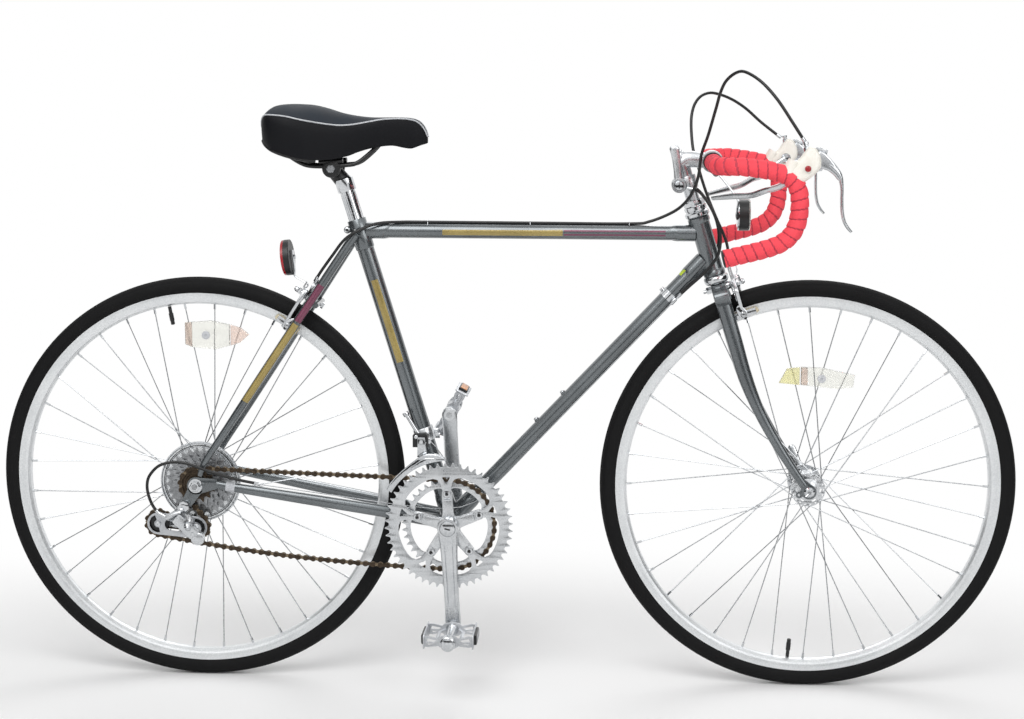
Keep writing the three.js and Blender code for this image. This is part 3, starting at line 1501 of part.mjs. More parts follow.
// Cranks. The spindle belongs to the left one; each ends in its pedal axle.
const armInnerY = 57;
const armThick = 13;
const pedalGap = 2;
const pedalWidth = 88;
const pedalAxleRadius = 5;
const pedalNeckRadius = 6.5;
{
  const bossRadius = 16;
  const spiderY = (innerRingY + outerRingY) / 2;
  const angles = { right: armAngle + Math.PI, left: armAngle };
  const armOf = (side, angle) => {
    const middle = side * (armInnerY + armThick / 2);
    const spot = (radius, extra = 0) =>
      at(radius * Math.cos(angle), middle + side * extra, radius * Math.sin(angle));
    const arm = bent(
      [spot(0), spot(25), spot(crankLength * 0.55), spot(crankLength - 6), spot(crankLength + 10)],
      [[6.5, 15], [6.5, 14.5], [6, 12.5], [6, 12.5], [6, 9]], 8,
    );
    const eye = spot(crankLength);
    const face = side * (armInnerY + armThick);
    const eyeDisc = axial(eye.x, eye.z, side * armInnerY, face, 13, undefined, 12);
    const neck = axial(
      eye.x, eye.z, face - side * fit, face + side * pedalGap, pedalNeckRadius, undefined, 8,
    );
    const stub = axial(
      eye.x, eye.z, face - side * fit, face + side * (pedalGap + pedalWidth - 8), pedalAxleRadius,
      undefined, 10,
    );
    return [arm, eyeDisc, neck, stub];
  };
  // Spider with five arms that reach between the rings
  const star = armAngles.flatMap((angle) => [
    polar(18, angle - 0.6), polar(boltCircle - 6, angle - 0.15), polar(boltCircle + 8, angle - 0.09),
    polar(boltCircle + 8, angle + 0.09), polar(boltCircle - 6, angle + 0.15),
  ]);
  const boltHoles = armAngles.map((angle) => {
    const { x, y: z } = polar(boltCircle, angle);
    return axial(x, z, outerRingY * 2, 0, ringBoltRadius + fit, undefined, 6);
  });
  const spiderThickness = Math.abs(outerRingY - innerRingY) - toothThick - 2 * fit;
  const spider = cut(plate(star, spiderThickness, spiderY), ...boltHoles);
  const boss = axial(
    0, 0, -(armInnerY + armThick), -shellWidth / 2 - running, bossRadius, undefined, 12,
  );
  const socket = axial(0, 0, -(armInnerY + armThick / 2), 0, spindleRadius + fit, undefined, 12);
  piece(
    "crank_right", cut(join(boss, spider, ...armOf(-1, angles.right)), socket),
    alloy, 0.25, 0.95, crankGroup,
  );
  const leftBoss = axial(
    0, 0, shellWidth / 2 + running, armInnerY + armThick, bossRadius, undefined, 12,
  );
  const spindle = axial(
    0, 0, -(armInnerY + armThick / 2) + running, armInnerY, spindleRadius, undefined, 12,
  );
  piece(
    "crank_left", join(leftBoss, spindle, ...armOf(1, angles.left)),
    alloy, 0.25, 0.95, crankGroup,
  );

  // Pedals
  const pedalLength = 84;
  const plateThick = 4;
  const plateHeight = 24;
  const barrelRadius = 10;
  const sideThick = 5;
  const sideHeight = 12;
  const tilts = { right: 0, left: -THREE.MathUtils.degToRad(61) };
  for (const [hand, side] of [["right", -1], ["left", 1]]) {
    const angle = angles[hand];
    const pedalStart = armInnerY + armThick + pedalGap + running;
    const pedalPlace = at(
      crankLength * Math.cos(angle), side * pedalStart, crankLength * Math.sin(angle),
    );
    const place = groupAt(crankGroup, pedalPlace, tilts[hand]);
    const barrel = axial(0, 0, 0, side * pedalWidth, barrelRadius, undefined, 10);
    const bore = axial(
      0, 0, -side, side * (pedalWidth - 6), pedalAxleRadius + running, undefined, 10,
    );
    const plates = [-1, 1].map((end) => block(
      at((end * (pedalLength - plateThick)) / 2, (side * pedalWidth) / 2, 0),
      plateThick, pedalWidth - 8, plateHeight,
    ));
    const sides = [0.1, 0.9].map((share) => block(
      at(0, side * pedalWidth * share, 0), pedalLength - plateThick, sideThick, sideHeight,
    ));
    piece(
      `pedal_${hand}`, cut(join(barrel, ...plates, ...sides), bore), alloy, 0.35, 0.9, place,
    );
  }
}

// Freewheel with its five cogs
{
  const bodyRadius = 21;
  const last = smallCogY + (cogTeeth.length - 1) * cogSpacing;
  const body = axial(0, 0, smallCogY - 2, last + 2, bodyRadius, undefined, 16);
  const cogs = cogTeeth.map((teeth, n) => plate(
    toothed(teeth, n === 0 ? firstTooth(1) : 0, n === 0), toothThick, smallCogY + n * cogSpacing,
  ));
  const bore = axial(0, 0, -rearHubWidth, 0, freewheelNose + running, undefined, hubSegments);
  piece(
    "freewheel", cut(join(body, ...cogs), bore), steel, 0.4, 0.9, groupAt(bicycle, rearAxle),
  );
}

// Rear derailleur: a link swings the knuckle inwards, and the cage hangs on the knuckle
const shiftIn = (cogTeeth.length - 1) * cogSpacing;
const shiftDown = 16;
const linkLength = 28;
const linkBack = 14;
const linkDrop = 28;
const linkOut = 10.2;
const linkFoot = at(hanger.x - linkBack, -dropoutY - linkOut, hanger.z - linkDrop);
{
  const travel = Math.hypot(shiftIn, shiftDown);
  const travelWay = at(0, shiftIn / travel, -shiftDown / travel);
  const linkAxis = at(0, shiftDown / travel, shiftIn / travel);
  const swing = Math.asin(travel / (2 * linkLength));
  const linkHead = linkFoot.clone()
    .addScaledVector(at(1, 0, 0), linkLength * Math.cos(swing))
    .addScaledVector(travelWay, -linkLength * Math.sin(swing));
  const eyeRadius = 7;
  const linkHalf = 5;
  const eyeLength = 8;
  const pinRadius = 2.6;
  const bore = (centre) => rod(
    along(centre, linkAxis, -overrun), along(centre, linkAxis, overrun), pinRadius + running,
    pinRadius + running, 8,
  );
  const eye = (centre, from, to, radius) =>
    rod(along(centre, linkAxis, from), along(centre, linkAxis, to), radius, radius, 8);
  // Link between the two pins
  const link = cut(
    join(
      eye(linkFoot, -linkHalf, linkHalf, eyeRadius), eye(linkHead, -linkHalf, linkHalf, eyeRadius),
      rod(linkFoot, linkHead, 4.5, 4.5, 6),
    ),
    bore(linkFoot), bore(linkHead),
  );
  piece("rear_derailleur_link", link, alloy, 0.3, 0.9, bicycle);

  // Body, bolted to the hanger
  const outside = dropoutY + dropoutThickness / 2 + fit;
  const boltEnd = -dropoutY + dropoutThickness / 2 + 2;
  const boltHead = axial(hanger.x, hanger.z, -outside - 12, -outside, 9, undefined, 10);
  const bolt = axial(hanger.x, hanger.z, -outside, boltEnd, 3.8, undefined, 8);
  const upperEye = along(linkFoot, linkAxis, linkHalf + running + eyeLength / 2);
  const neck = rod(
    at(hanger.x, -outside - 7, hanger.z), upperEye, 5, 3.8, 8,
  );
  const body = join(
    boltHead, bolt, neck,
    eye(linkFoot, linkHalf + running, linkHalf + running + eyeLength, eyeRadius),
    eye(linkFoot, -linkHalf, linkHalf + running + 1, pinRadius),
  );
  piece("rear_derailleur_body", body, alloy, 0.3, 0.9, bicycle);

  // Knuckle, with the pivot of the cage on the guide pulley's axis
  const plateThick = 1.4;
  const cageHalf = 4.6;
  const cageOuter = smallCogY - cageHalf - plateThick;
  const pivotRadius = 7;
  const pivotY = cageOuter - fit;
  const pivotLength = 9;
  const lowerEye = along(linkHead, linkAxis, -linkHalf - running - eyeLength / 2);
  const pivot = axial(
    guidePlace.x, guidePlace.z, pivotY - pivotLength, pivotY, pivotRadius, undefined, 10,
  );
  const knuckle = join(
    pivot,
    rod(at(guidePlace.x, pivotY - pivotLength / 2, guidePlace.z), lowerEye, 5, 2.2, 8),
    eye(linkHead, -linkHalf - running - eyeLength, -linkHalf - running, eyeRadius),
    eye(linkHead, -linkHalf - running - 1, linkHalf, pinRadius),
  );
  piece("rear_derailleur_knuckle", knuckle, alloy, 0.3, 0.9, bicycle);

  // Cage with its two pulleys
  const tension = path.wheels[3];
  const pulleyBore = 3.4;
  const plateOutline = linkOutline(guidePlace2d(), 9, { x: tension.x, y: tension.z }, 9, 5);
  const plates = [-1, 1].map((side) =>
    plate(plateOutline, plateThick, smallCogY + side * (cageHalf + plateThick / 2)));
  const pinsOf = [guidePlace2d(), { x: tension.x, y: tension.z }].map((spot) => axial(
    spot.x, spot.y, smallCogY - cageHalf - plateThick / 2, smallCogY + cageHalf + plateThick / 2,
    pulleyBore - running, undefined, 8,
  ));
  piece("rear_derailleur_cage", join(...plates, ...pinsOf), alloy, 0.35, 0.9, bicycle);
  for (const [name, n] of [["guide_pulley", 2], ["tension_pulley", 3]]) {
    const { x, z } = path.wheels[n];
    const place = groupAt(bicycle, at(x, smallCogY, z));
    const wheelHere = plate(toothed(pulleyTeeth, firstTooth(n), true), toothThick, 0);
    const hubHere = axial(0, 0, -cageHalf + running, cageHalf - running, 8, undefined, 8);
    const boreHere = axial(0, 0, -overrun, overrun, pulleyBore, undefined, 8);
    piece(name, cut(join(wheelHere, hubHere), boreHere), blackPlastic, 0.5, 0, place);
  }
}

// Front derailleur: a band on the seat tube, and a cage that slides outwards
{
  const bandBottom = along(bracket, seatWay, 143);
  const bandHeight = 23;
  const bandWall = 3;
  const bandTop = along(bandBottom, seatWay, bandHeight);
  const clearOf = (radius) => rod(
    along(bracket, seatWay, -shellRadius), along(seatTop, seatWay, overrun), radius,
  );
  const cageInner = innerRingY + 5;
  const cageOuter = innerRingY - 6.5;
  const sheet = 1.3;
  const armY = -29;
  const bodyCentre = along(bandBottom, seatWay, bandHeight / 2).add(at(-4, -20, -6));
  const bodyBlock = block(bodyCentre, 26, -2 * (armY - bodyCentre.y), 24);
  const stub = rod(
    at(bracket.x - 52, -21, bracket.z + 150), at(bracket.x - 73, -20, bracket.z + 184), 3.5, 3.5, 6,
  );
  const band = rod(bandBottom, bandTop, seatTubeRadius + bandWall);
  piece(
    "front_derailleur_body",
    cut(join(band, bodyBlock, stub), clearOf(seatTubeRadius + fit)),
    alloy, 0.3, 0.9, bicycle,
  );
  // The cage's lower edge follows the teeth of the large ring
  const clearance = 2.8;
  const lowRadius = pitchRadius(outerTeeth) + toothTip + clearance;
  const lowEdge = [92, 104, 116, 128, 140, 150].map((degrees) => {
    const { x, y } = polar(lowRadius, THREE.MathUtils.degToRad(degrees));
    return [bracket.x + x, bracket.z + y];
  });
  const fromBracket = (shares) =>
    shares.map(([x, z]) => [bracket.x + x * lowRadius, bracket.z + z * lowRadius]);
  const topEdge = fromBracket(
    [[-0.935, 0.548], [-0.818, 0.719], [-0.593, 0.926], [-0.359, 1.087],
      [-0.18, 1.087], [-0.063, 1.034]],
  );
  const outline = [...lowEdge, ...topEdge];
  const innerPlate = plate(outline, sheet, cageInner);
  const outerPlate = plate(outline, sheet, cageOuter);
  const width = cageInner - cageOuter;
  const bridgeY = (cageInner + cageOuter) / 2;
  const topBridge = plate(
    fromBracket([[-0.476, 0.998], [-0.35, 1.087], [-0.207, 1.087],
      [-0.207, 1.069], [-0.342, 1.069], [-0.467, 0.98]]),
    width, bridgeY,
  );
  const tailBridge = plate(
    fromBracket([[-0.935, 0.548], [-0.89, 0.62], [-0.872, 0.611], [-0.908, 0.539]]), width, bridgeY,
  );
  const arm = plate(
    fromBracket([[-0.485, 1.025], [-0.333, 1.025], [-0.368, 1.33],
      [-0.476, 1.33]]), 5, armY - fit - 2.5,
  );
  const armFootFixed = block(
    at(bracket.x - 45, (armY - fit + cageInner) / 2, bracket.z + 116), 14,
    Math.abs(armY - fit - cageInner) + sheet, 5,
  );
  piece(
    "front_derailleur_cage", join(innerPlate, outerPlate, topBridge, tailBridge, arm, armFootFixed),
    chrome, 0.25, 0.95, bicycle,
  );
}

function guidePlace2d() {
  return { x: guidePlace.x, y: guidePlace.z };
}

// Seat post and saddle
const postShown = 68;
const seat = groupAt(bicycle, along(seatTop, seatWay, postShown), seatAngle - Math.PI / 2);
{
  const postLength = 230;
  piece(
    "seatpost", rod(at(0, 0, -postLength), at(0, 0, 0), seatPostRadius), alloy, 0.3, 0.9, seat,
  );
  const saddleGroup = groupAt(seat, at(0, 0, 0), Math.PI / 2 - seatAngle);
  // Rows from tail to nose: length, half width, crown, edge, skirt bottom, skirt half width
  const rows = [
    [-134, 32, 92, 88, 70, 28], [-127, 50, 111, 104, 56, 44], [-110, 66, 124, 106, 48, 61],
    [-86, 72, 126, 103, 42, 66], [-45, 60, 124, 98, 35, 54], [0, 40, 111, 91, 37, 35],
    [45, 29, 104, 93, 52, 25], [85, 24, 104, 96, 57, 20], [115, 21, 102, 96, 54, 17],
    [130, 16, 96, 88, 56, 12], [141, 9, 80, 72, 62, 6],
  ];
  const base = 67;
  const skirtThick = 4;
  const section = ([x, half, crown, edge, bottom, foot]) => {
    const under = Math.max(Math.min(base, crown - 14), bottom + 2);
    const right = [
      [half * 0.45, crown - (crown - edge) * 0.12], [half * 0.82, crown - (crown - edge) * 0.45],
      [half, edge], [foot, bottom], [Math.max(foot - skirtThick, foot * 0.5), bottom],
      [Math.max(foot - skirtThick, foot * 0.5) * 0.96, under],
    ];
    return [
      at(x, 0, crown), ...right.map(([y, z]) => at(x, y, z)),
      ...right.reverse().map(([y, z]) => at(x, -y, z)),
    ];
  };
  piece("saddle", loft(rows.map(section)), 0x2a2e36, 0.7, 0, saddleGroup);

  // Rails and the clamp on the post
  const railRadius = 3.5;
  const clampPlace = at(-20, 0, 16);
  const rail = (side) => bent(
    [
      at(-100, side * 36, base - fit), at(-92, side * 35, 48), at(-68, side * 28, 30),
      at(-44, side * 24, 24), at(8, side * 22, 26), at(36, side * 19, 36), at(70, side * 12, 52),
      at(92, side * 9, 60), at(98, side * 8, base - fit),
    ],
    railRadius, 6,
  );
  const above = block(at(0, 0, base - fit + overrun / 2), 300, 150, overrun);
  const barrel = axial(clampPlace.x, clampPlace.z + 8, -34, 34, 10, undefined, 8);
  const low = placed(rod(at(0, 0, -19), at(0, 0, -1), 15.5), turnedY(seatAngle - Math.PI / 2));
  const web = rod(at(-1, 0, -8), at(clampPlace.x + 2, 0, clampPlace.z + 4), 10, 10, 8);
  const postClear = placed(
    rod(at(0, 0, -overrun * 2), at(0, 0, fit), seatPostRadius + fit),
    turnedY(seatAngle - Math.PI / 2),
  );
  const frame = join(rail(-1), rail(1), barrel, low, web);
  piece("saddle_frame", cut(frame, above, postClear), steel, 0.3, 0.9, saddleGroup);
}

// Cables: housing and bare wire in one, along their routes
const housing = 2.5;
const bareWire = 0.8;
const near = (anchor, points, forward = at(1, 0, 0), upward = at(0, 0, 1)) =>
  points.map(([x, y, z]) => along(along(anchor, forward, x), upward, z).add(at(0, y, 0)));
const cable = (name, stretches, parent) => {
  const route = stretches.flatMap(([, points]) => points);
  const radii = stretches.flatMap(([radius, points]) => points.map(() => radius));
  piece(name, bent(route, radii, 6, at(1, 0, 0.3).normalize()), wire, 0.5, 0.3, parent);
};
const worldOf = ({ x, z }) => at(
  steeringFoot.x + x * Math.sin(headAngle) - z * Math.cos(headAngle), 0,
  steeringFoot.z + x * Math.cos(headAngle) + z * Math.sin(headAngle),
);
const stayBack = at(stayEnd.x - stayWaist.x, 0, stayEnd.z - stayWaist.z).normalize();
const stayUp = at(stayBack.z, 0, -stayBack.x);
const shifterWorld = worldOf(shifterPlace);
const dropoutRight = at(rearAxle.x, -dropoutY, rearAxle.z);
const hangerRight = at(hanger.x, -dropoutY, hanger.z);
const waistRight = at(stayWaist.x, -stayWaist.y, stayWaist.z);
const frontBoltWorld = worldOf({ x: frontArmStart, z: frontBolt });
const hookRight = at(barWorld.x, -barHalf, barWorld.z);
const hookLeft = at(barWorld.x, barHalf, barWorld.z);
cable("rear_brake_cable", [[housing, [
  ...near(hookRight, [
    [133, 6, 37], [114, 6, 66], [90, 14, 102], [66, 28, 129],
  ]),
  ...near(barWorld, [
    [43, -152, 144], [29, -137, 143], [15, -122, 131], [7, -106, 113], [1, -92, 88],
    [-10, -73, 45], [-20, -60, 13], [-23, -48, -17],
  ]),
  ...near(topHeadJoint, [
    [-15.4, -36, 77.4], [-27.4, -24, 55.4], [-48.4, -12, 36.4],
  ]),
  ...near(topHeadJoint, [
    [-87.5, -3, 18.9], [-123.5, 0, 14.6], [-278.5, 0, 14.6],
  ], topWay, topUp),
  ...near(topSeatJoint, [
    [117.8, 0, 14.6], [67.8, -3, 14.5], [32.8, -15, 12.7],
  ], topWay, topUp),
  ...near(topSeatJoint, [
    [5.9, -31, 3.5], [-20.1, -32.9, -12.5],
  ]),
  ...near(rearBridge, [
    [-21.9, -30, 85.2], [-23.5, -26.5, 51.6], [-23.3, -24, 33.2],
  ], stayFront, stayWay),
]]], bicycle);
cable("front_brake_cable", [[housing, [
  ...near(hookLeft, [
    [127, -5, 33], [93, -10, 59], [64, -20, 84], [36, -35, 101],
  ]),
  ...near(barWorld, [
    [8, 145, 110], [-9, 130, 108], [-21, 116, 99], [-29, 104, 83], [-32, 92, 59],
    [-29, 76, 19], [-21, 64, -9], [-13, 54, -36],
  ]),
  ...near(frontBoltWorld, [
    [-38.2, 44, 135.5], [-25.2, 36, 104.5], [-14.2, 30, 80.5], [-7.2, 25, 58.5],
    [-5.2, 24, 31.3],
  ]),
]]], level);
cable("rear_shift_cable", [
  [housing, [
    ...near(shifterWorld, [
      [14, -21, -4], [32, -24, -9], [49, -27, -30], [62, -29, -55], [68, -29, -80],
      [67, -28, -105],
    ]),
    ...near(stopEnd, [
      [63.1, -26, 65.4], [47.1, -23, 45.4], [24.1, -17, 23.4], [2.7, -13.5, 3],
    ]),
  ]],
  [bareWire, [
    ...near(stopEnd, [
      [0.3, -13.5, 0.4],
    ]),
    ...near(stopStart, [
      [-0.7, -13.5, -0.7],
    ]),
    ...near(bracket, [
      [67, -14.5, 55], [25, -17, 28], [-1, -22, 25], [-33, -28, 25],
    ]),
    ...near(waistRight, [
      [2.5, -1, 14.8], [115.9, -12, 13.4], [221.3, -23, 12.5],
    ], stayBack, stayUp),
  ]],
  [housing, [
    ...near(waistRight, [
      [223.5, -23.5, 13.1], [258.3, -30.0, 15.2],
    ], stayBack, stayUp),
    ...near(dropoutRight, [
      [42.5, -8.2, 21],
    ]),
    ...near(hangerRight, [
      [32, -11.2, 67], [10, -12.2, 75], [-13, -13.2, 78], [-38, -14.2, 72], [-55, -14.2, 55],
      [-60, -14.2, 38], [-58, -13.2, 19], [-51, -12.2, 1], [-41, -11.2, -12],
    ]),
  ]],
], bicycle);
cable("front_shift_cable", [
  [housing, [
    ...near(shifterWorld, [
      [14, 21, -4], [32, 24, -9], [49, 27, -30], [62, 29, -55], [68, 29, -80],
      [67, 28, -105],
    ]),
    ...near(stopEnd, [
      [63.1, 26, 65.4], [47.1, 23, 45.4], [24.1, 17, 23.4], [2.7, 13.5, 3],
    ]),
  ]],
  [bareWire, [
    ...near(stopEnd, [
      [0.3, 13.5, 0.4],
    ]),
    ...near(stopStart, [
      [-0.7, 13.5, -0.7],
    ]),
    ...near(bracket, [
      [82, 15.5, 69], [45, 17, 60], [17, 2, 70], [-1, -16, 96], [-23, -19, 128],
      [-35.3, -20, 140],
    ]),
  ]],
], bicycle);

export default bicycle;
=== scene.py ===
import bpy
import bmesh
import json
import math
from mathutils import Matrix, Vector


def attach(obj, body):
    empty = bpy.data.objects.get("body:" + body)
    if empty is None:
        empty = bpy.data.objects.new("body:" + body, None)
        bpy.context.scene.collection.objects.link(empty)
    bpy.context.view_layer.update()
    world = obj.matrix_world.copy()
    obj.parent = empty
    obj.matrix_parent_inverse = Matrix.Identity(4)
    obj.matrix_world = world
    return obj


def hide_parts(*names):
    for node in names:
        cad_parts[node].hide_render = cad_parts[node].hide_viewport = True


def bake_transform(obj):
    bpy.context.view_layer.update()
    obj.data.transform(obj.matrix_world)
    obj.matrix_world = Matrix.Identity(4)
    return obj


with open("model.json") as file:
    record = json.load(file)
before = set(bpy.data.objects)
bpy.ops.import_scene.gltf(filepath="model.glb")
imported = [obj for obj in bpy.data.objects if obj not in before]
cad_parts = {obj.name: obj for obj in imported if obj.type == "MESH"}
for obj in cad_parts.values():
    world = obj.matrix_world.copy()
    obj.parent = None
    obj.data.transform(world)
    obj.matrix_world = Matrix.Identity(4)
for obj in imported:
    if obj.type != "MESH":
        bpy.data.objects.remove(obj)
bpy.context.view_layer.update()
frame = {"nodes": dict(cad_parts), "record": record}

# Lengths are in millimetres, in the bicycle's own frame: +X forwards, +Y left, +Z up.
mm = 0.001


# Shapes
def vec(*parts):
    return Vector(parts[0]) if len(parts) == 1 else Vector(parts)


def smoothPath(points, steps=6, closed=False):
    # a soft curve through the given points
    pts = [vec(p) for p in points]
    count = len(pts)
    out = []
    for i in range(count if closed else count - 1):
        a, b, c, d = (
            pts[(i + k) % count] if closed else pts[min(max(i + k, 0), count - 1)]
            for k in (-1, 0, 1, 2)
        )
        for s in range(steps):
            t = s / steps
            out.append(0.5 * ((2 * b) + (c - a) * t + (2 * a - 5 * b + 4 * c - d) * t * t
                              + (3 * b - a - 3 * c + d) * t ** 3))
    if not closed:
        out.append(pts[-1])
    return out


def between(values, share):
    place = share * (len(values) - 1)
    i = min(int(place), len(values) - 2)
    return values[i] + (values[i + 1] - values[i]) * (place - i)


def taper(count, alongUp, across):
    # pairs of radii for the count + 1 points of a tube, read from two short lists
    return [(between(alongUp, k / count), between(across, k / count)) for k in range(count + 1)]


def smoothLoop(outline, steps):
    # a soft closed outline through the given points of a drawing
    return [(p.x, p.y) for p in smoothPath([(*p, 0) for p in outline], steps, True)]


def ringFaces(bm, rings, material, closed, caps=True):
    made = []
    count = len(rings)
    for i in range(count if closed else count - 1):
        a, b = rings[i], rings[(i + 1) % count]
        for j in range(len(a)):
            k = (j + 1) % len(a)
            made.append(bm.faces.new((a[j], a[k], b[k], b[j])))
    if caps and not closed:
        made.append(bm.faces.new(list(reversed(rings[0]))))
        made.append(bm.faces.new(rings[-1]))
    for face in made:
        face.material_index = material
    return made


def addTube(bm, points, radii, sides=20, material=0, closed=False, up=(0, 0, 1), caps=True):
    # radii: one number, one for each point, or a pair (along up, across) for each point
    pts = [vec(p) for p in points]
    count = len(pts)
    if not isinstance(radii, (list, tuple)):
        radii = [radii] * count
    normal = vec(up)
    rings = []
    for i, p in enumerate(pts):
        ahead = pts[(i + 1) % count] if closed or i < count - 1 else p
        behind = pts[i - 1] if closed or i > 0 else p
        way = (ahead - behind).normalized()
        normal = normal - way * normal.dot(way)
        if normal.length < 1e-6:
            normal = way.orthogonal()
        normal.normalize()
        side = way.cross(normal)
        a, b = radii[i] if isinstance(radii[i], (list, tuple)) else (radii[i], radii[i])
        rings.append([
            bm.verts.new(p + normal * (a * math.cos(t)) + side * (b * math.sin(t)))
            for t in (2 * math.pi * k / sides for k in range(sides))
        ])
    ringFaces(bm, rings, material, closed, caps)
    return rings


def axes(way):
    way = vec(way).normalized()
    first = way.orthogonal().normalized()
    if abs(way.y) > 0.9:
        first = vec(1, 0, 0)
    return way, first, way.cross(first)


def addLathe(bm, profile, centre, way, steps=48, material=0, closed=False):
    # profile: (radius, distance along the axis)
    way, first, second = axes(way)
    centre = vec(centre)
    rings = []
    for radius, height in profile:
        rings.append([
            bm.verts.new(centre + way * height
                         + (first * math.cos(t) + second * math.sin(t)) * max(radius, 0.001))
            for t in (2 * math.pi * k / steps for k in range(steps))
        ])
    ringFaces(bm, rings, material, closed)


def addRod(bm, start, end, radius, endRadius=None, sides=16, material=0):
    addTube(bm, [start, end], [radius, radius if endRadius is None else endRadius], sides, material)


def addPlate(bm, outline, holes, thickness, place, bevel=0.4, material=0):
    # a flat outline with holes, thickened both ways from its plane, edges broken by bevel
    curve = bpy.data.curves.new("outline", "CURVE")
    curve.dimensions = "2D"
    curve.fill_mode = "BOTH"
    curve.extrude = max(thickness / 2 - bevel, 0.01)
    curve.bevel_depth = bevel
    curve.offset = -bevel
    curve.bevel_resolution = 1 if bevel < 2 else 4
    for loop in [outline, *holes]:
        spline = curve.splines.new("POLY")
        spline.points.add(len(loop) - 1)
        spline.use_cyclic_u = True
        for point, (x, y) in zip(spline.points, loop):
            point.co = (x, y, 0, 1)
    holder = bpy.data.objects.new("outline", curve)
    bpy.context.scene.collection.objects.link(holder)
    bpy.context.view_layer.update()
    mesh = bpy.data.meshes.new_from_object(holder)
    mesh.transform(place)
    before = len(bm.faces)
    bm.from_mesh(mesh)
    bm.faces.ensure_lookup_table()
    for face in bm.faces[before:]:
        face.material_index = material
    bpy.data.objects.remove(holder)
    bpy.data.curves.remove(curve)
    bpy.data.meshes.remove(mesh)


def circle(radius, count=48, centre=(0, 0), start=0.0):
    return [(centre[0] + radius * math.cos(start + 2 * math.pi * k / count),
             centre[1] + radius * math.sin(start + 2 * math.pi * k / count)) for k in range(count)]


def roundLink(a, b, ra, rb, count=10):
    # outline of a bar with round ends
    a, b = vec((*a, 0)), vec((*b, 0))
    base = math.atan2(b.y - a.y, b.x - a.x)
    lean = math.asin(max(-1, min(1, (rb - ra) / (b - a).length)))
    out = []
    for k in range(count + 1):
        t = base + math.pi / 2 + lean + (math.pi - 2 * lean) * k / count
        out.append((a.x + ra * math.cos(t), a.y + ra * math.sin(t)))
    for k in range(count + 1):
        t = base - math.pi / 2 - lean + (math.pi + 2 * lean) * k / count
        out.append((b.x + rb * math.cos(t), b.y + rb * math.sin(t)))
    return out


def sidePlane(y):
    # places a drawing made in x and z at a distance y to the left of the middle plane
    return Matrix(((1, 0, 0, 0), (0, 0, -1, y), (0, 1, 0, 0), (0, 0, 0, 1)))


def plane(origin, right, upward):
    right, upward = vec(right).normalized(), vec(upward).normalized()
    out = right.cross(upward)
    turned = Matrix((right, upward, out)).transposed().to_4x4()
    return Matrix.Translation(vec(origin)) @ turned


def bolt(bm, centre, way, radius, height, material=0, sides=6, socket=0.0):
    # a nut or bolt head with a broken edge, hollow when it has a socket
    profile = [(0.001, 0), (radius, 0), (radius, height * 0.8), (radius * 0.85, height)]
    if socket:
        profile += [(socket, height), (socket, height * 0.45), (0.001, height * 0.45)]
    else:
        profile += [(0.001, height)]
    addLathe(bm, profile, centre, way, sides, material)


def finishPiece(bm, name, body, materials, nodes=(), sharp=38, keepNormals=False):
    bmesh.ops.remove_doubles(bm, verts=bm.verts, dist=0.005)
    bmesh.ops.dissolve_degenerate(bm, edges=bm.edges, dist=0.001)
    if not keepNormals:
        bmesh.ops.recalc_face_normals(bm, faces=bm.faces)
    bmesh.ops.scale(bm, vec=(mm, mm, mm), verts=bm.verts)
    mesh = bpy.data.meshes.new(name)
    bm.to_mesh(mesh)
    bm.free()
    return settle(mesh, name, body, materials, nodes, sharp)


def settle(mesh, name, body, materials, nodes=(), sharp=38):
    for material in materials if isinstance(materials, (list, tuple)) else [materials]:
        mesh.materials.append(material)
    mesh.shade_smooth()
    mesh.set_sharp_from_angle(angle=math.radians(sharp))
    piece = bpy.data.objects.new(name, mesh)
    bpy.context.scene.collection.objects.link(piece)
    if body:
        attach(piece, body)
    if nodes:
        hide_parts(*nodes)
    return piece


# Materials
def linear(hexColour):
    parts = [int(hexColour[i:i + 2], 16) / 255 for i in (0, 2, 4)]
    return tuple(p / 12.92 if p <= 0.04045 else ((p + 0.055) / 1.055) ** 2.4 for p in parts) + (1,)


def addNode(tree, kind, values=None, links=None, **settings):
    node = tree.nodes.new(kind)
    for key, value in settings.items():
        setattr(node, key, value)
    for socket, value in (values or {}).items():
        node.inputs[socket].default_value = value
    for socket, source in (links or {}).items():
        tree.links.new(source, node.inputs[socket])
    return node


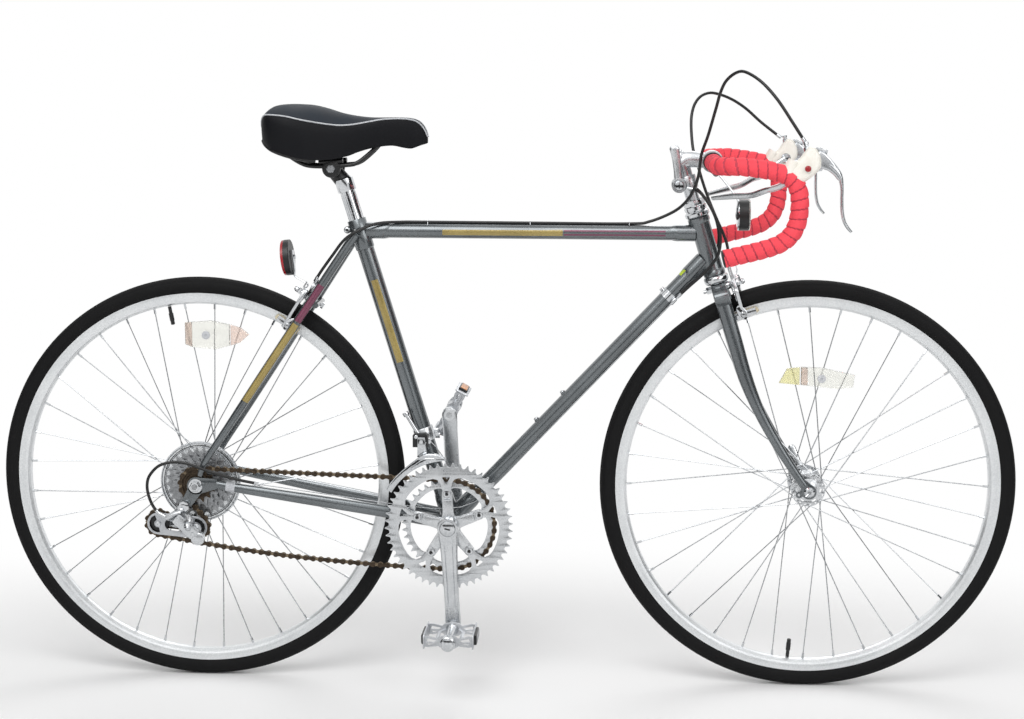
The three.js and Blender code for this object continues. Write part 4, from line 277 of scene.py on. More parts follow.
def makeFinish(name, look):
    # look: colours (light, dark), grain in mm, stretch, rough (low, high), bump height in mm
    material = bpy.data.materials.new(name)
    material.use_nodes = True
    tree = material.node_tree
    shader = tree.nodes["Principled BSDF"]
    shader.inputs["Metallic"].default_value = look.get("metal", 0)
    for socket, value in look.get("shader", {}).items():
        shader.inputs[socket].default_value = value
    place = addNode(tree, "ShaderNodeTexCoord").outputs["Object"]
    stretched = addNode(tree, "ShaderNodeMapping", {"Scale": look.get("stretch", (1, 1, 1))},
                        {"Vector": place}).outputs["Vector"]
    grain = 1000 / look["grain"]
    if look.get("pattern") == "cells":
        pattern = addNode(tree, "ShaderNodeTexVoronoi", {"Scale": grain}, {"Vector": stretched},
                          feature="DISTANCE_TO_EDGE").outputs["Distance"]
    else:
        pattern = addNode(tree, "ShaderNodeTexNoise", {"Scale": grain, "Detail": 4.0},
                          {"Vector": stretched}).outputs["Fac"]
    cloud = addNode(tree, "ShaderNodeTexNoise", {"Scale": 1000 / look.get("cloud", 60), "Detail": 3.0},
                    {"Vector": place}).outputs["Fac"]
    low, high = look.get("span", (0.35, 0.65))
    both = addNode(tree, "ShaderNodeMix", {"Factor": look.get("cloudShare", 0.4)},
                   {"A": pattern, "B": cloud}, data_type="FLOAT").outputs["Result"]
    ramp = addNode(tree, "ShaderNodeValToRGB", links={"Fac": both})
    ramp.color_ramp.elements[0].position = low
    ramp.color_ramp.elements[0].color = linear(look["colours"][1])
    ramp.color_ramp.elements[1].position = high
    ramp.color_ramp.elements[1].color = linear(look["colours"][0])
    tree.links.new(ramp.outputs["Color"], shader.inputs["Base Color"])
    rough = addNode(tree, "ShaderNodeMapRange",
                    {"From Min": low, "From Max": high, "To Min": look["rough"][0],
                     "To Max": look["rough"][1]}, {"Value": both})
    tree.links.new(rough.outputs["Result"], shader.inputs["Roughness"])
    if look.get("bump"):
        bump = addNode(tree, "ShaderNodeBump", {"Strength": look.get("strength", 0.6),
                                                "Distance": look["bump"] * mm}, {"Height": pattern})
        tree.links.new(bump.outputs["Normal"], shader.inputs["Normal"])
    return material


finishes = {
    # stove enamel with fine metal flake, under clear lacquer
    "flakeEnamel": {"colours": ("747a7d", "4c5053"), "grain": 0.9, "cloud": 120, "metal": 0.7,
                    "rough": (0.22, 0.3), "shader": {"Coat Weight": 1.0, "Coat Roughness": 0.04}},
    # printed films under lacquer: flat colour with a faint metal sheen
    "goldTransfer": {"colours": ("b09c5c", "8a7842"), "grain": 1.2, "metal": 0.35,
                     "rough": (0.3, 0.42), "shader": {"Coat Weight": 0.5}},
    "magentaTransfer": {"colours": ("83405a", "5f2f44"), "grain": 1.2, "metal": 0.3,
                        "rough": (0.3, 0.42), "shader": {"Coat Weight": 0.5}},
    # plain printed film, no metal in it
    "limeTransfer": {"colours": ("c9e03c", "a6bd28"), "grain": 1.2, "rough": (0.3, 0.42)},
    # cold-forged aluminium, buffed: soft bright reflections with faint lines
    "buffedAluminium": {"colours": ("dcdee0", "b8bbbe"), "grain": 1.6, "cloud": 30, "metal": 1,
                        "rough": (0.2, 0.34), "bump": 0.02, "stretch": (1, 1, 3)},
    # blasted aluminium: soft grey, no sharp reflections
    "satinAluminium": {"colours": ("d2d4d7", "abaeb2"), "grain": 1.1, "cloud": 25, "metal": 1,
                       "rough": (0.34, 0.5), "bump": 0.03},
    # polished extrusion: pale, with a soft sheen round the hoop
    "rimAluminium": {"colours": ("eceeef", "d6d9db"), "grain": 2.5, "cloud": 80, "metal": 0.75,
                     "rough": (0.3, 0.42), "bump": 0.01},
    # bright plated steel, nearly mirror smooth
    "chromePlate": {"colours": ("d6d8da", "b4b7ba"), "grain": 3, "cloud": 40, "metal": 1,
                    "rough": (0.07, 0.16)},
    # drawn stainless steel: a thin bright line along each wire
    "stainlessWire": {"colours": ("bdbfc1", "96999c"), "grain": 4, "cloud": 50, "metal": 0.9,
                      "rough": (0.22, 0.34)},
    # zinc-plated steel: dull grey with darker patches
    "zincSteel": {"colours": ("b4b6b8", "7b7d80"), "grain": 1.5, "cloud": 12, "metal": 0.9,
                  "rough": (0.3, 0.5), "bump": 0.03},
    # chain steel browned by old oil; also used as painted shade on the inner plate of the derailleur cage
    "oilAndShadeSteel": {"colours": ("574a3c", "2a231c"), "grain": 1.8, "cloud": 14, "metal": 0.75,
                   "rough": (0.34, 0.6), "bump": 0.04},
    # painted highlight: a lighter copy of the oiled chain steel for the inner plates and rollers
    "highlitChainSteel": {"colours": ("94856f", "584b3c"), "grain": 1.8, "cloud": 14, "metal": 0.85,
                    "rough": (0.3, 0.5), "bump": 0.04},
    # vulcanised rubber with a faint grey bloom
    "tyreRubber": {"colours": ("101011", "070708"), "grain": 1.4, "cloud": 45,
                   "rough": (0.66, 0.86), "bump": 0.12, "strength": 0.8,
                   "shader": {"Specular IOR Level": 0.22}},
    # moulded pale rubber: matt and a little warm
    "hoodRubber": {"colours": ("fbf8f1", "ece7db"), "grain": 0.9, "cloud": 18,
                   "rough": (0.5, 0.66), "bump": 0.06},
    # the shaded groove where one wrap of tape meets the next
    "tapeSeam": {"colours": ("d04657", "ab3645"), "grain": 1.3, "rough": (0.7, 0.85), "bump": 0.1},
    # padded cork-foam ribbon: small pores, no gloss
    "foamTape": {"colours": ("ff525e", "ec4150"), "grain": 1.3, "cloud": 14, "cloudShare": 0.3,
                 "rough": (0.66, 0.84), "bump": 0.35, "strength": 0.9},
    # stretch cover with a fine moulded grain
    "saddleVinyl": {"colours": ("0b0c12", "050609"), "grain": 1.1, "pattern": "cells", "cloud": 35,
                    "cloudShare": 0.25, "span": (0.02, 0.45), "rough": (0.5, 0.66), "bump": 0.14,
                    "shader": {"Specular IOR Level": 0.2}},
    # close-woven cloth: dark blue-grey, no gloss
    "saddleFabric": {"colours": ("18222d", "0e141c"), "grain": 0.8, "cloud": 30,
                     "rough": (0.66, 0.82), "bump": 0.18, "strength": 0.9},
    # pale plastic cord
    "pipingCord": {"colours": ("d5d7da", "a8abb0"), "grain": 1.0, "rough": (0.5, 0.66), "bump": 0.08},
    # injection-moulded plastic: black with a soft sheen
    "blackPlastic": {"colours": ("151618", "0a0b0c"), "grain": 1.2, "cloud": 20,
                     "rough": (0.34, 0.48), "bump": 0.03},
    # extruded sleeve: a smooth line of light along the cable
    "blackHousing": {"colours": ("0f1011", "0a0a0b"), "grain": 2.5, "rough": (0.36, 0.4)},
    # aged brake rubber: tan and matt
    "padRubber": {"colours": ("d3c9ae", "aaa084"), "grain": 1.0, "rough": (0.6, 0.76), "bump": 0.08},
    # moulded prisms: small bright cells
    "redLens": {"colours": ("b3232b", "7a1219"), "grain": 3.2, "pattern": "cells", "cloud": 20,
                "span": (0.0, 0.4), "rough": (0.08, 0.18), "bump": 0.5, "strength": 0.8},
    "amberLens": {"colours": ("e59a55", "b8692c"), "grain": 3.0, "pattern": "cells", "cloud": 20,
                  "span": (0.0, 0.4), "rough": (0.1, 0.2), "bump": 0.5, "strength": 0.8},
    # clear moulded plastic, and the two tints at the ends of the spoke reflectors
    "clearLens": {"colours": ("f8f8f2", "e3e3da"), "grain": 3.2, "cloud": 30,
                  "span": (0.0, 0.4), "rough": (0.06, 0.14), "bump": 0.08, "strength": 0.5,
                  "shader": {"Transmission Weight": 0.85}},
    "paleYellowLens": {"colours": ("f6f2c2", "e2dca4"), "grain": 3.2, "cloud": 30,
                       "span": (0.0, 0.4), "rough": (0.06, 0.14), "bump": 0.08,
                       "shader": {"Transmission Weight": 0.7}},
    "palePinkLens": {"colours": ("f6e4da", "e8cdbf"), "grain": 3.2, "cloud": 30,
                     "span": (0.0, 0.4), "rough": (0.06, 0.14), "bump": 0.08,
                     "shader": {"Transmission Weight": 0.7}},
    # clear plastic disc that catches a silver light
    "silverLens": {"colours": ("eef0f1", "cfd3d6"), "grain": 3.0, "cloud": 20,
                   "rough": (0.12, 0.22), "shader": {"Transmission Weight": 0.75}},
    # unlit recess
    "darkHole": {"colours": ("1a1a1b", "0c0c0d"), "grain": 2.0, "rough": (0.7, 0.85)},
}
skins = {name: makeFinish(name, look) for name, look in finishes.items()}

# Camera, floor and light
studio = {
    "eye": (210.1, -3026.4, 1019.6), "yaw": -3.65, "pitch": 8.68, "roll": -0.08,
    "focal": 1823.3, "pictureWidth": 1024, "sensorWidth": 36, "floorColour": "f6f6f6", "fill": 0.52,
    # place, size in metres, power in watts
    "lamps": {
        "keyLight": ((-0.8, -2.6, 3.4), 2.6, 78), "frontLight": ((2.6, -2.4, 2.2), 2.0, 32),
        "backLight": ((0.4, 2.6, 3.0), 2.4, 36),
    },
    "aim": (0, 0, 0.45),
    "cards": {
        "leftCard": [(-3.4, -3.2, 0.02), (-3.4, 1.8, 0.02), (-3.4, 1.8, 2.6), (-3.4, -3.2, 2.6)],
        "rightCard": [(3.6, -3.2, 0.02), (3.6, 1.8, 0.02), (3.6, 1.8, 2.6), (3.6, -3.2, 2.6)],
        "backCard": [(-2.6, -5.2, 0.02), (2.6, -5.2, 0.02), (2.6, -5.2, 0.85), (-2.6, -5.2, 0.85)],
    },
}


def seenDirectly(tree):
    # 1 for rays from the camera, off a mirror or through glass, 0 for rays that only bring light
    seen = addNode(tree, "ShaderNodeLightPath")
    shown = addNode(tree, "ShaderNodeMath", operation="MAXIMUM",
                    links={0: seen.outputs["Is Camera Ray"], 1: seen.outputs["Is Glossy Ray"]})
    return addNode(tree, "ShaderNodeMath", operation="MAXIMUM",
                   links={0: shown.outputs[0], 1: seen.outputs["Is Transmission Ray"]})


def setStudio(s):
    yaw, pitch, roll = (math.radians(s[k]) for k in ("yaw", "pitch", "roll"))
    forward = vec(math.sin(yaw) * math.cos(pitch), math.cos(yaw) * math.cos(pitch), -math.sin(pitch))
    right = vec(math.cos(yaw), -math.sin(yaw), 0)
    upward = right.cross(forward)
    rolled = right * math.cos(roll) + upward * math.sin(roll)
    upward = upward * math.cos(roll) - right * math.sin(roll)
    camera = bpy.data.objects.new("camera", bpy.data.cameras.new("camera"))
    camera.data.sensor_width = s["sensorWidth"]
    camera.data.lens = s["sensorWidth"] * s["focal"] / s["pictureWidth"]
    camera.data.clip_end = 60
    turned = Matrix((rolled, upward, -forward)).transposed().to_4x4()
    camera.matrix_world = Matrix.Translation(vec(s["eye"]) * mm) @ turned
    bpy.context.scene.collection.objects.link(camera)
    bpy.context.scene.camera = camera

    # paper sweep: a floor that curves up behind the bicycle
    bm = bmesh.new()
    run = [(-9, 0), (5, 0)] + [(5 + 2 * math.sin(t), 2 - 2 * math.cos(t))
                               for t in (math.pi / 2 * k / 12 for k in range(1, 13))] + [(7, 9)]
    rows = [[bm.verts.new((x, y, z)) for x in (-14, 14)] for y, z in run]
    for low, high in zip(rows, rows[1:]):
        bm.faces.new((low[0], low[1], high[1], high[0]))
    mesh = bpy.data.meshes.new("paperSweep")
    bm.to_mesh(mesh)
    bm.free()
    mesh.shade_smooth()
    sweep = bpy.data.objects.new("paperSweep", mesh)
    bpy.context.scene.collection.objects.link(sweep)
    paper = makeFinish("studioPaper", {"colours": (s["floorColour"], s["floorColour"]),
                                       "grain": 8, "cloud": 400, "rough": (0.8, 0.95)})
    mesh.materials.append(paper)
    # away from the bicycle the paper is seen plain white, and it still carries the shadow below it
    tree = paper.node_tree
    place = addNode(tree, "ShaderNodeMapping", {"Scale": (0.42, 1, 1)},
                    {"Vector": addNode(tree, "ShaderNodeTexCoord").outputs["Object"]})
    away = addNode(tree, "ShaderNodeVectorMath", links={0: place.outputs[0]}, operation="LENGTH")
    white = addNode(tree, "ShaderNodeMapRange", {"From Min": 0.3, "From Max": 0.95},
                    {"Value": away.outputs["Value"]}, interpolation_type="SMOOTHSTEP")
    shown = seenDirectly(tree)
    share = addNode(tree, "ShaderNodeMath", operation="MULTIPLY",
                    links={0: white.outputs[0], 1: shown.outputs[0]})
    glow = addNode(tree, "ShaderNodeEmission", {"Color": (1, 1, 1, 1), "Strength": 1.0})
    paperShader = tree.nodes["Principled BSDF"]
    both = addNode(tree, "ShaderNodeMixShader",
                   links={0: share.outputs[0], 1: paperShader.outputs[0], 2: glow.outputs[0]})
    tree.links.new(both.outputs[0], tree.nodes["Material Output"].inputs["Surface"])

    world = bpy.data.worlds.new("studioLight")
    world.use_nodes = True
    tree = world.node_tree
    shown = seenDirectly(tree)
    level = addNode(tree, "ShaderNodeMapRange", {"To Min": s["fill"], "To Max": 1.0},
                    {"Value": shown.outputs[0]})
    tree.links.new(level.outputs["Result"], tree.nodes["Background"].inputs["Strength"])
    tree.nodes["Background"].inputs["Color"].default_value = (1, 1, 1, 1)
    bpy.context.scene.world = world
    for name, (place, size, power) in s["lamps"].items():
        lamp = bpy.data.lights.new(name, "AREA")
        lamp.size = size
        lamp.energy = power
        holder = bpy.data.objects.new(name, lamp)
        holder.location = place
        aim = vec(s["aim"]) - vec(place)
        holder.rotation_euler = aim.to_track_quat("-Z", "Y").to_euler()
        bpy.context.scene.collection.objects.link(holder)
    # dark cards beside and behind the camera, for the dark lines in polished metal
    for name, corners in s["cards"].items():
        mesh = bpy.data.meshes.new(name)
        mesh.from_pydata(corners, [], [(0, 1, 2, 3)])
        mesh.materials.append(skins["darkHole"])
        card = bpy.data.objects.new(name, mesh)
        card.visible_camera = False
        bpy.context.scene.collection.objects.link(card)
    bpy.context.scene.view_settings.view_transform = "Standard"


setStudio(studio)
print("studio set")

# CAD nodes without a piece of their own take the finish of their slot
slotFinish = {
    "frame_paint": "flakeEnamel", "alloy": "buffedAluminium", "steel": "zincSteel",
    "chrome": "chromePlate", "tyre": "tyreRubber", "reflector_plastic": "blackPlastic",
    "bar_tape": "foamTape", "hood": "hoodRubber", "saddle_cover": "saddleVinyl",
    "chain_steel": "oilAndShadeSteel", "cable_housing": "blackHousing",
}
for part in frame["record"]["subparts"]:
    node = frame["nodes"][part["node"]]
    node.data.materials.clear()
    node.data.materials.append(skins[slotFinish[part["material_slot"]]])

# Repeats: wires with an end fitting
def newTree(name, inputs):
    tree = bpy.data.node_groups.new(name, "GeometryNodeTree")
    tree.interface.new_socket("Geometry", in_out="INPUT", socket_type="NodeSocketGeometry")
    tree.interface.new_socket("Geometry", in_out="OUTPUT", socket_type="NodeSocketGeometry")
    for label, kind in inputs:
        tree.interface.new_socket(label, in_out="INPUT", socket_type=kind)
    source = tree.nodes.new("NodeGroupInput")
    sink = tree.nodes.new("NodeGroupOutput")
    return tree, source.outputs, sink.inputs["Geometry"]


def bakeTree(tree, mesh, values):
    # runs the tree on the mesh and returns the result as a plain mesh
    holder = bpy.data.objects.new("holder", mesh)
    bpy.context.scene.collection.objects.link(holder)
    modifier = holder.modifiers.new(tree.name, "NODES")
    modifier.node_group = tree
    for item in tree.interface.items_tree:
        if item.item_type == "SOCKET" and item.in_out == "INPUT" and item.name in values:
            modifier[item.identifier] = values[item.name]
    bpy.context.view_layer.update()
    evaluated = holder.evaluated_get(bpy.context.evaluated_depsgraph_get())
    baked = bpy.data.meshes.new_from_object(evaluated)
    bpy.data.objects.remove(holder)
    return baked


def makeWireTree():
    tree, given, result = newTree("wires", [
        ("Wire radius", "NodeSocketFloat"), ("Sides", "NodeSocketInt"),
        ("Fitting radius", "NodeSocketFloat"), ("Fitting length", "NodeSocketFloat"),
        ("Wire finish", "NodeSocketMaterial"), ("Fitting finish", "NodeSocketMaterial"),
    ])
    curves = addNode(tree, "GeometryNodeMeshToCurve", links={"Mesh": given["Geometry"]})
    section = addNode(tree, "GeometryNodeCurvePrimitiveCircle",
                      links={"Resolution": given["Sides"], "Radius": given["Wire radius"]})
    wires = addNode(tree, "GeometryNodeCurveToMesh", {"Fill Caps": True},
                    {"Curve": curves.outputs[0], "Profile Curve": section.outputs[0]})
    wires = addNode(tree, "GeometryNodeSetMaterial",
                    links={"Geometry": wires.outputs[0], "Material": given["Wire finish"]})
    fitting = addNode(tree, "GeometryNodeMeshCylinder", {"Vertices": 8},
                      {"Radius": given["Fitting radius"], "Depth": given["Fitting length"]})
    ends = addNode(tree, "GeometryNodeCurveEndpointSelection", {"Start Size": 0, "End Size": 1})
    along = addNode(tree, "GeometryNodeInputTangent")
    turn = addNode(tree, "FunctionNodeAlignRotationToVector", links={"Vector": along.outputs[0]},
                   axis="Z")
    fittings = addNode(tree, "GeometryNodeInstanceOnPoints",
                       links={"Points": curves.outputs[0], "Selection": ends.outputs[0],
                              "Instance": fitting.outputs["Mesh"], "Rotation": turn.outputs[0]})
    fittings = addNode(tree, "GeometryNodeRealizeInstances", links={"Geometry": fittings.outputs[0]})
    fittings = addNode(tree, "GeometryNodeSetMaterial",
                       links={"Geometry": fittings.outputs[0], "Material": given["Fitting finish"]})
    both = addNode(tree, "GeometryNodeJoinGeometry")
    tree.links.new(wires.outputs[0], both.inputs[0])
    tree.links.new(fittings.outputs[0], both.inputs[0])
    tree.links.new(both.outputs[0], result)
    return tree


def wiresFrom(pairs, values):
    mesh = bpy.data.meshes.new("wires")
    mesh.from_pydata([tuple(vec(p) * mm) for pair in pairs for p in pair],
                     [(2 * k, 2 * k + 1) for k in range(len(pairs))], [])
    return bakeTree(wireTree, mesh, values)


wireTree = makeWireTree()

# Wheels
frontAxle, rearAxle = vec(512.5, 0, 347), vec(-512.5, 0, 347)
wheelSizes = {
    "tyreRadius": 347, "section": 16, "ribs": 9, "ribDepth": 0.9,
    "rimOuter": 320.8, "rimInner": 301.5, "rimHalf": 12,
    "spokes": 36, "spokeRadius": 0.95, "nippleRadius": 2.0, "nippleLength": 11,
    "flangeRadius": 28.5, "spokeCircle": 25.5, "flangeThick": 3, "valveLength": 34,
}


def tyreProfile(s):
    centre = s["tyreRadius"] - s["section"]
    rows = [(319.5, -9.5), (321.2, -11.4)]
    count = 44
    for k in range(count + 1):
        t = math.radians(-136 + 272 * k / count)
        groove = 0
        if abs(math.degrees(t)) < 62:
            groove = s["ribDepth"] * (0.5 + 0.5 * math.cos(s["ribs"] * t * 2.9))
        r = s["section"] - groove
        rows.append((centre + r * math.cos(t), r * math.sin(t)))
    return rows + [(321.2, 11.4), (319.5, 9.5)]


def makeWheel(side, centre, body, left, right, valveAngle, barrel, s=wheelSizes):
    centre = vec(centre)
    bm = bmesh.new()
    addLathe(bm, tyreProfile(s), centre, (0, 1, 0), 160, closed=True)
    finishPiece(bm, f"{side}TyreCasing", body, skins["tyreRubber"], [f"{side}_tyre"], sharp=60)

    bm = bmesh.new()
    half, outer, inner = s["rimHalf"], s["rimOuter"], s["rimInner"]
    wall = [(outer, half), (outer - 1.2, half + 0.1), (outer - 11, half - 0.1), (outer - 12.2, half - 0.7),
            (inner + 4, half * 0.86), (inner + 1.2, half * 0.5), (inner, half * 0.28)]
    well = [(outer, half - 1.4), (outer - 3.5, half - 2.4), (outer - 7, half - 5)]
    loop = ([(r, y) for r, y in wall] + [(r, -y) for r, y in reversed(wall)]
            + [(r, -y) for r, y in well] + [(r, y) for r, y in reversed(well)])
    addLathe(bm, loop, centre, (0, 1, 0), 160, closed=True)
    out = vec(math.cos(valveAngle), 0, math.sin(valveAngle))
    stem = [(3.0, -3), (3.0, -14), (3.9, -15), (3.9, -27), (3.4, -28), (3.4, -s["valveLength"]),
            (1.5, -s["valveLength"] - 0.8), (0, -s["valveLength"] - 0.8)]
    addLathe(bm, [(0, -3), *stem], centre + out * (inner + 2), out, 14, 1)
    finishPiece(bm, f"{side}RimHoop", body, [skins["rimAluminium"], skins["blackPlastic"]],
                [f"{side}_rim"], sharp=30)

    pairs = []
    step = 2 * math.pi / s["spokes"]
    for n in range(s["spokes"]):
        flange = left if n % 2 else right
        turn = 1 if n % 4 < 2 else -1
        rimAngle = valveAngle + step * (n + 0.5)
        hubAngle = rimAngle + turn * math.radians(60)
        head = centre + vec(s["spokeCircle"] * math.cos(hubAngle), flange + turn * 1.8,
                            s["spokeCircle"] * math.sin(hubAngle))
        end = centre + vec(math.cos(rimAngle) * (inner - 3), math.copysign(1.6, flange),
                           math.sin(rimAngle) * (inner - 3))
        pairs.append((head, end))
    baked = wiresFrom(pairs, {
        "Wire radius": s["spokeRadius"] * mm, "Sides": 6, "Fitting radius": s["nippleRadius"] * mm,
        "Fitting length": s["nippleLength"] * mm, "Wire finish": skins["stainlessWire"],
        "Fitting finish": skins["chromePlate"],
    })
    settle(baked, f"{side}Spokes", body, [], [f"{side}_hub"])

    bm = bmesh.new()
    for flange in (left, right):
        holes = [circle(1.4, 6, (s["spokeCircle"] * math.cos(2 * math.pi * k / 18),
                                 s["spokeCircle"] * math.sin(2 * math.pi * k / 18))) for k in range(18)]
        for t in (2 * math.pi * k / 6 for k in range(6)):
            holes.append(circle(4.2, 12, (18.5 * math.cos(t), 18.5 * math.sin(t))))
        addPlate(bm, circle(s["flangeRadius"], 64), holes, s["flangeThick"],
                 Matrix.Translation(centre) @ sidePlane(flange), 0.5)
    addLathe(bm, barrel, centre, (0, 1, 0), 40)
    for head, _ in pairs:
        # the bent spoke heads on the flange faces
        lean = 1 if head.y > centre.y else -1
        addLathe(bm, [(0, 0), (1.9, 0.3), (1.5, 1.2), (0, 1.5)], head, (0, lean, 0), 8, 1)
    finishPiece(bm, f"{side}HubShell", body, [skins["buffedAluminium"], skins["stainlessWire"]],
                sharp=30)


frontBarrel = [(5.2, -44), (10, -44), (14.5, -42), (14.5, -38), (19, -36.6), (19, -33.4), (12.5, -31),
               (11, -16), (11, 16), (12.5, 31), (19, 33.4), (19, 36.6), (14.5, 38), (14.5, 42), (10, 44),
               (5.2, 44)]
rearBarrel = [(5.2, -49), (11.5, -49), (11.5, -29), (18, -28), (19, -21.6), (19, -18.4), (14, -16),
              (12.5, -8), (12.5, 20), (14, 31), (19, 32.4), (19, 35.6), (15, 37), (15, 52), (11, 54.5),
              (5.2, 54.5)]
makeWheel("front", frontAxle, "front_wheel", 35, -35, math.radians(-94.8), frontBarrel)
makeWheel("rear", rearAxle, "rear_wheel", 34, -20, math.radians(100), rearBarrel)

spokeGuard = {"radius": 69, "y": -28.5, "thick": 1.2}


def makeSpokeGuard(s):
    bm = bmesh.new()
    addPlate(bm, circle(s["radius"], 96), [circle(22, 40)], s["thick"],
             Matrix.Translation(rearAxle) @ sidePlane(s["y"]), 0.3)
    for inset, wide, material in ((2.6, 3, 1), (6.8, 0.9, 2), (9, 1.2, 1)):
        radius = s["radius"] - inset
        ring = [(rearAxle.x + x, s["y"] - 0.9, rearAxle.z + z) for x, z in circle(radius, 96)]
        addTube(bm, ring, [(wide, 0.7)] * len(ring), 10, material, closed=True, up=(0, 1, 0))
    finishPiece(bm, "spokeGuard", "rear_wheel",
                [skins["silverLens"], skins["satinAluminium"], skins["blackHousing"]])


makeSpokeGuard(spokeGuard)

# Each spoke reflector: a clear moulded bar whose ends are tinted, with a round clamp
spokeReflectors = {
    "front": {"centre": frontAxle, "y": -12, "body": "front_wheel",
              "clear": [(-14, 173), (48, 166.5), (72, 170), (75, 190), (20, 202), (-14, 203)],
              "tint": [(-50, 176), (-16, 173), (-16, 202.5), (-37, 200)], "clamp": (20, 184),
              "blush": [(-13, 174), (-3, 172.6), (-3, 201), (-13, 201.6)], "tone": "paleYellowLens"},
    "rear": {"centre": rearAxle, "y": -9, "body": "rear_wheel",
             "clear": [(-24, 233), (-13, 228.5), (27, 224.5), (52, 231), (52, 267), (20, 273.5), (-24, 270)],
             "tint": [(54, 231.5), (70, 236.5), (85, 250), (71, 261.5), (54, 266.5)], "clamp": (12, 249),
             "blush": [(-23, 233.6), (-12, 229.6), (-12, 269.8), (-23, 269)], "tone": "palePinkLens"},
}
for side, s in spokeReflectors.items():
    bm = bmesh.new()
    stand = Matrix.Translation(s["centre"]) @ sidePlane(s["y"])
    addPlate(bm, s["clear"], [], 7.5, stand, 1.2, 0)
    addPlate(bm, s["tint"], [], 7.5, stand, 1.2, 1)
    addPlate(bm, s["blush"], [], 7.9, stand, 0.6, 3)
    cx, cz = s["clamp"]
    spot = vec(s["centre"]) + vec(cx, s["y"] - 3.6, cz)
    bolt(bm, spot, (0, -1, 0), 7, 2.4, 2, 20, 2.2)
    finishPiece(bm, f"{side}SpokeReflector", s["body"],
                [skins["clearLens"], skins[s["tone"]], skins["pipingCord"], skins["palePinkLens"]])
print("wheels made")

# Frame
seatWay = vec(-0.292372, 0, 0.956305)
headWay, headForward = vec(-0.292372, 0, 0.956305), vec(0.956305, 0, 0.292372)
bracket, steerFoot = vec(-87.04, 0, 280), vec(462.93, 0, 347)
rearBridge, rearBoltLine = vec(-309.4, 0, 650.2), vec(-0.836, 0, 0.549)
frontBoltRise = 348
hands = (("Right", -1), ("Left", 1))
frameSizes = {
    "seatTube": 14.3, "topTube": 12.4, "downTube": 13.5, "headTube": 16.5, "lug": 1.6,
    "shell": 20, "shellHalf": 34, "seatLength": 535, "headStart": 371.3, "headLength": 98.7,
    # joints along the seat tube and the steering axis
    "topSeat": 516, "topHead": 443, "downHead": 406,
}


def steer(forward, across, up):
    return steerFoot + headForward * forward + headWay * up + vec(0, across, 0)


def lugSleeve(bm, foot, way, radius, length, wall, points=2, phase=0.0, sides=40):
    # a socket whose mouth is cut to points, as long on the sides where a point stands
    way, first, second = axes(way)
    rings = []
    for row in range(9):
        ring = []
        for k in range(sides):
            t = 2 * math.pi * k / sides
            reach = length * (0.72 + 0.28 * math.cos(points * (t - phase)) ** 2)
            share = row / 8
            r = radius + wall * (1 if share < 0.96 else 0.35)
            ring.append(bm.verts.new(vec(foot) + way * (reach * share)
                                     + (first * math.cos(t) + second * math.sin(t)) * r))
        rings.append(ring)
    inner = []
    for k, vertex in enumerate(rings[-1]):
        t = 2 * math.pi * k / sides
        axisSpot = vec(foot) + way * (vertex.co - vec(foot)).dot(way)
        inner.append(bm.verts.new(axisSpot + (first * math.cos(t) + second * math.sin(t)) * (radius - 0.4)))
    foot2 = [bm.verts.new(vec(foot) + (first * math.cos(2 * math.pi * k / sides)
                                       + second * math.sin(2 * math.pi * k / sides)) * (radius - 0.4))
             for k in range(sides)]
    ringFaces(bm, [*rings, inner, foot2], 0, True)


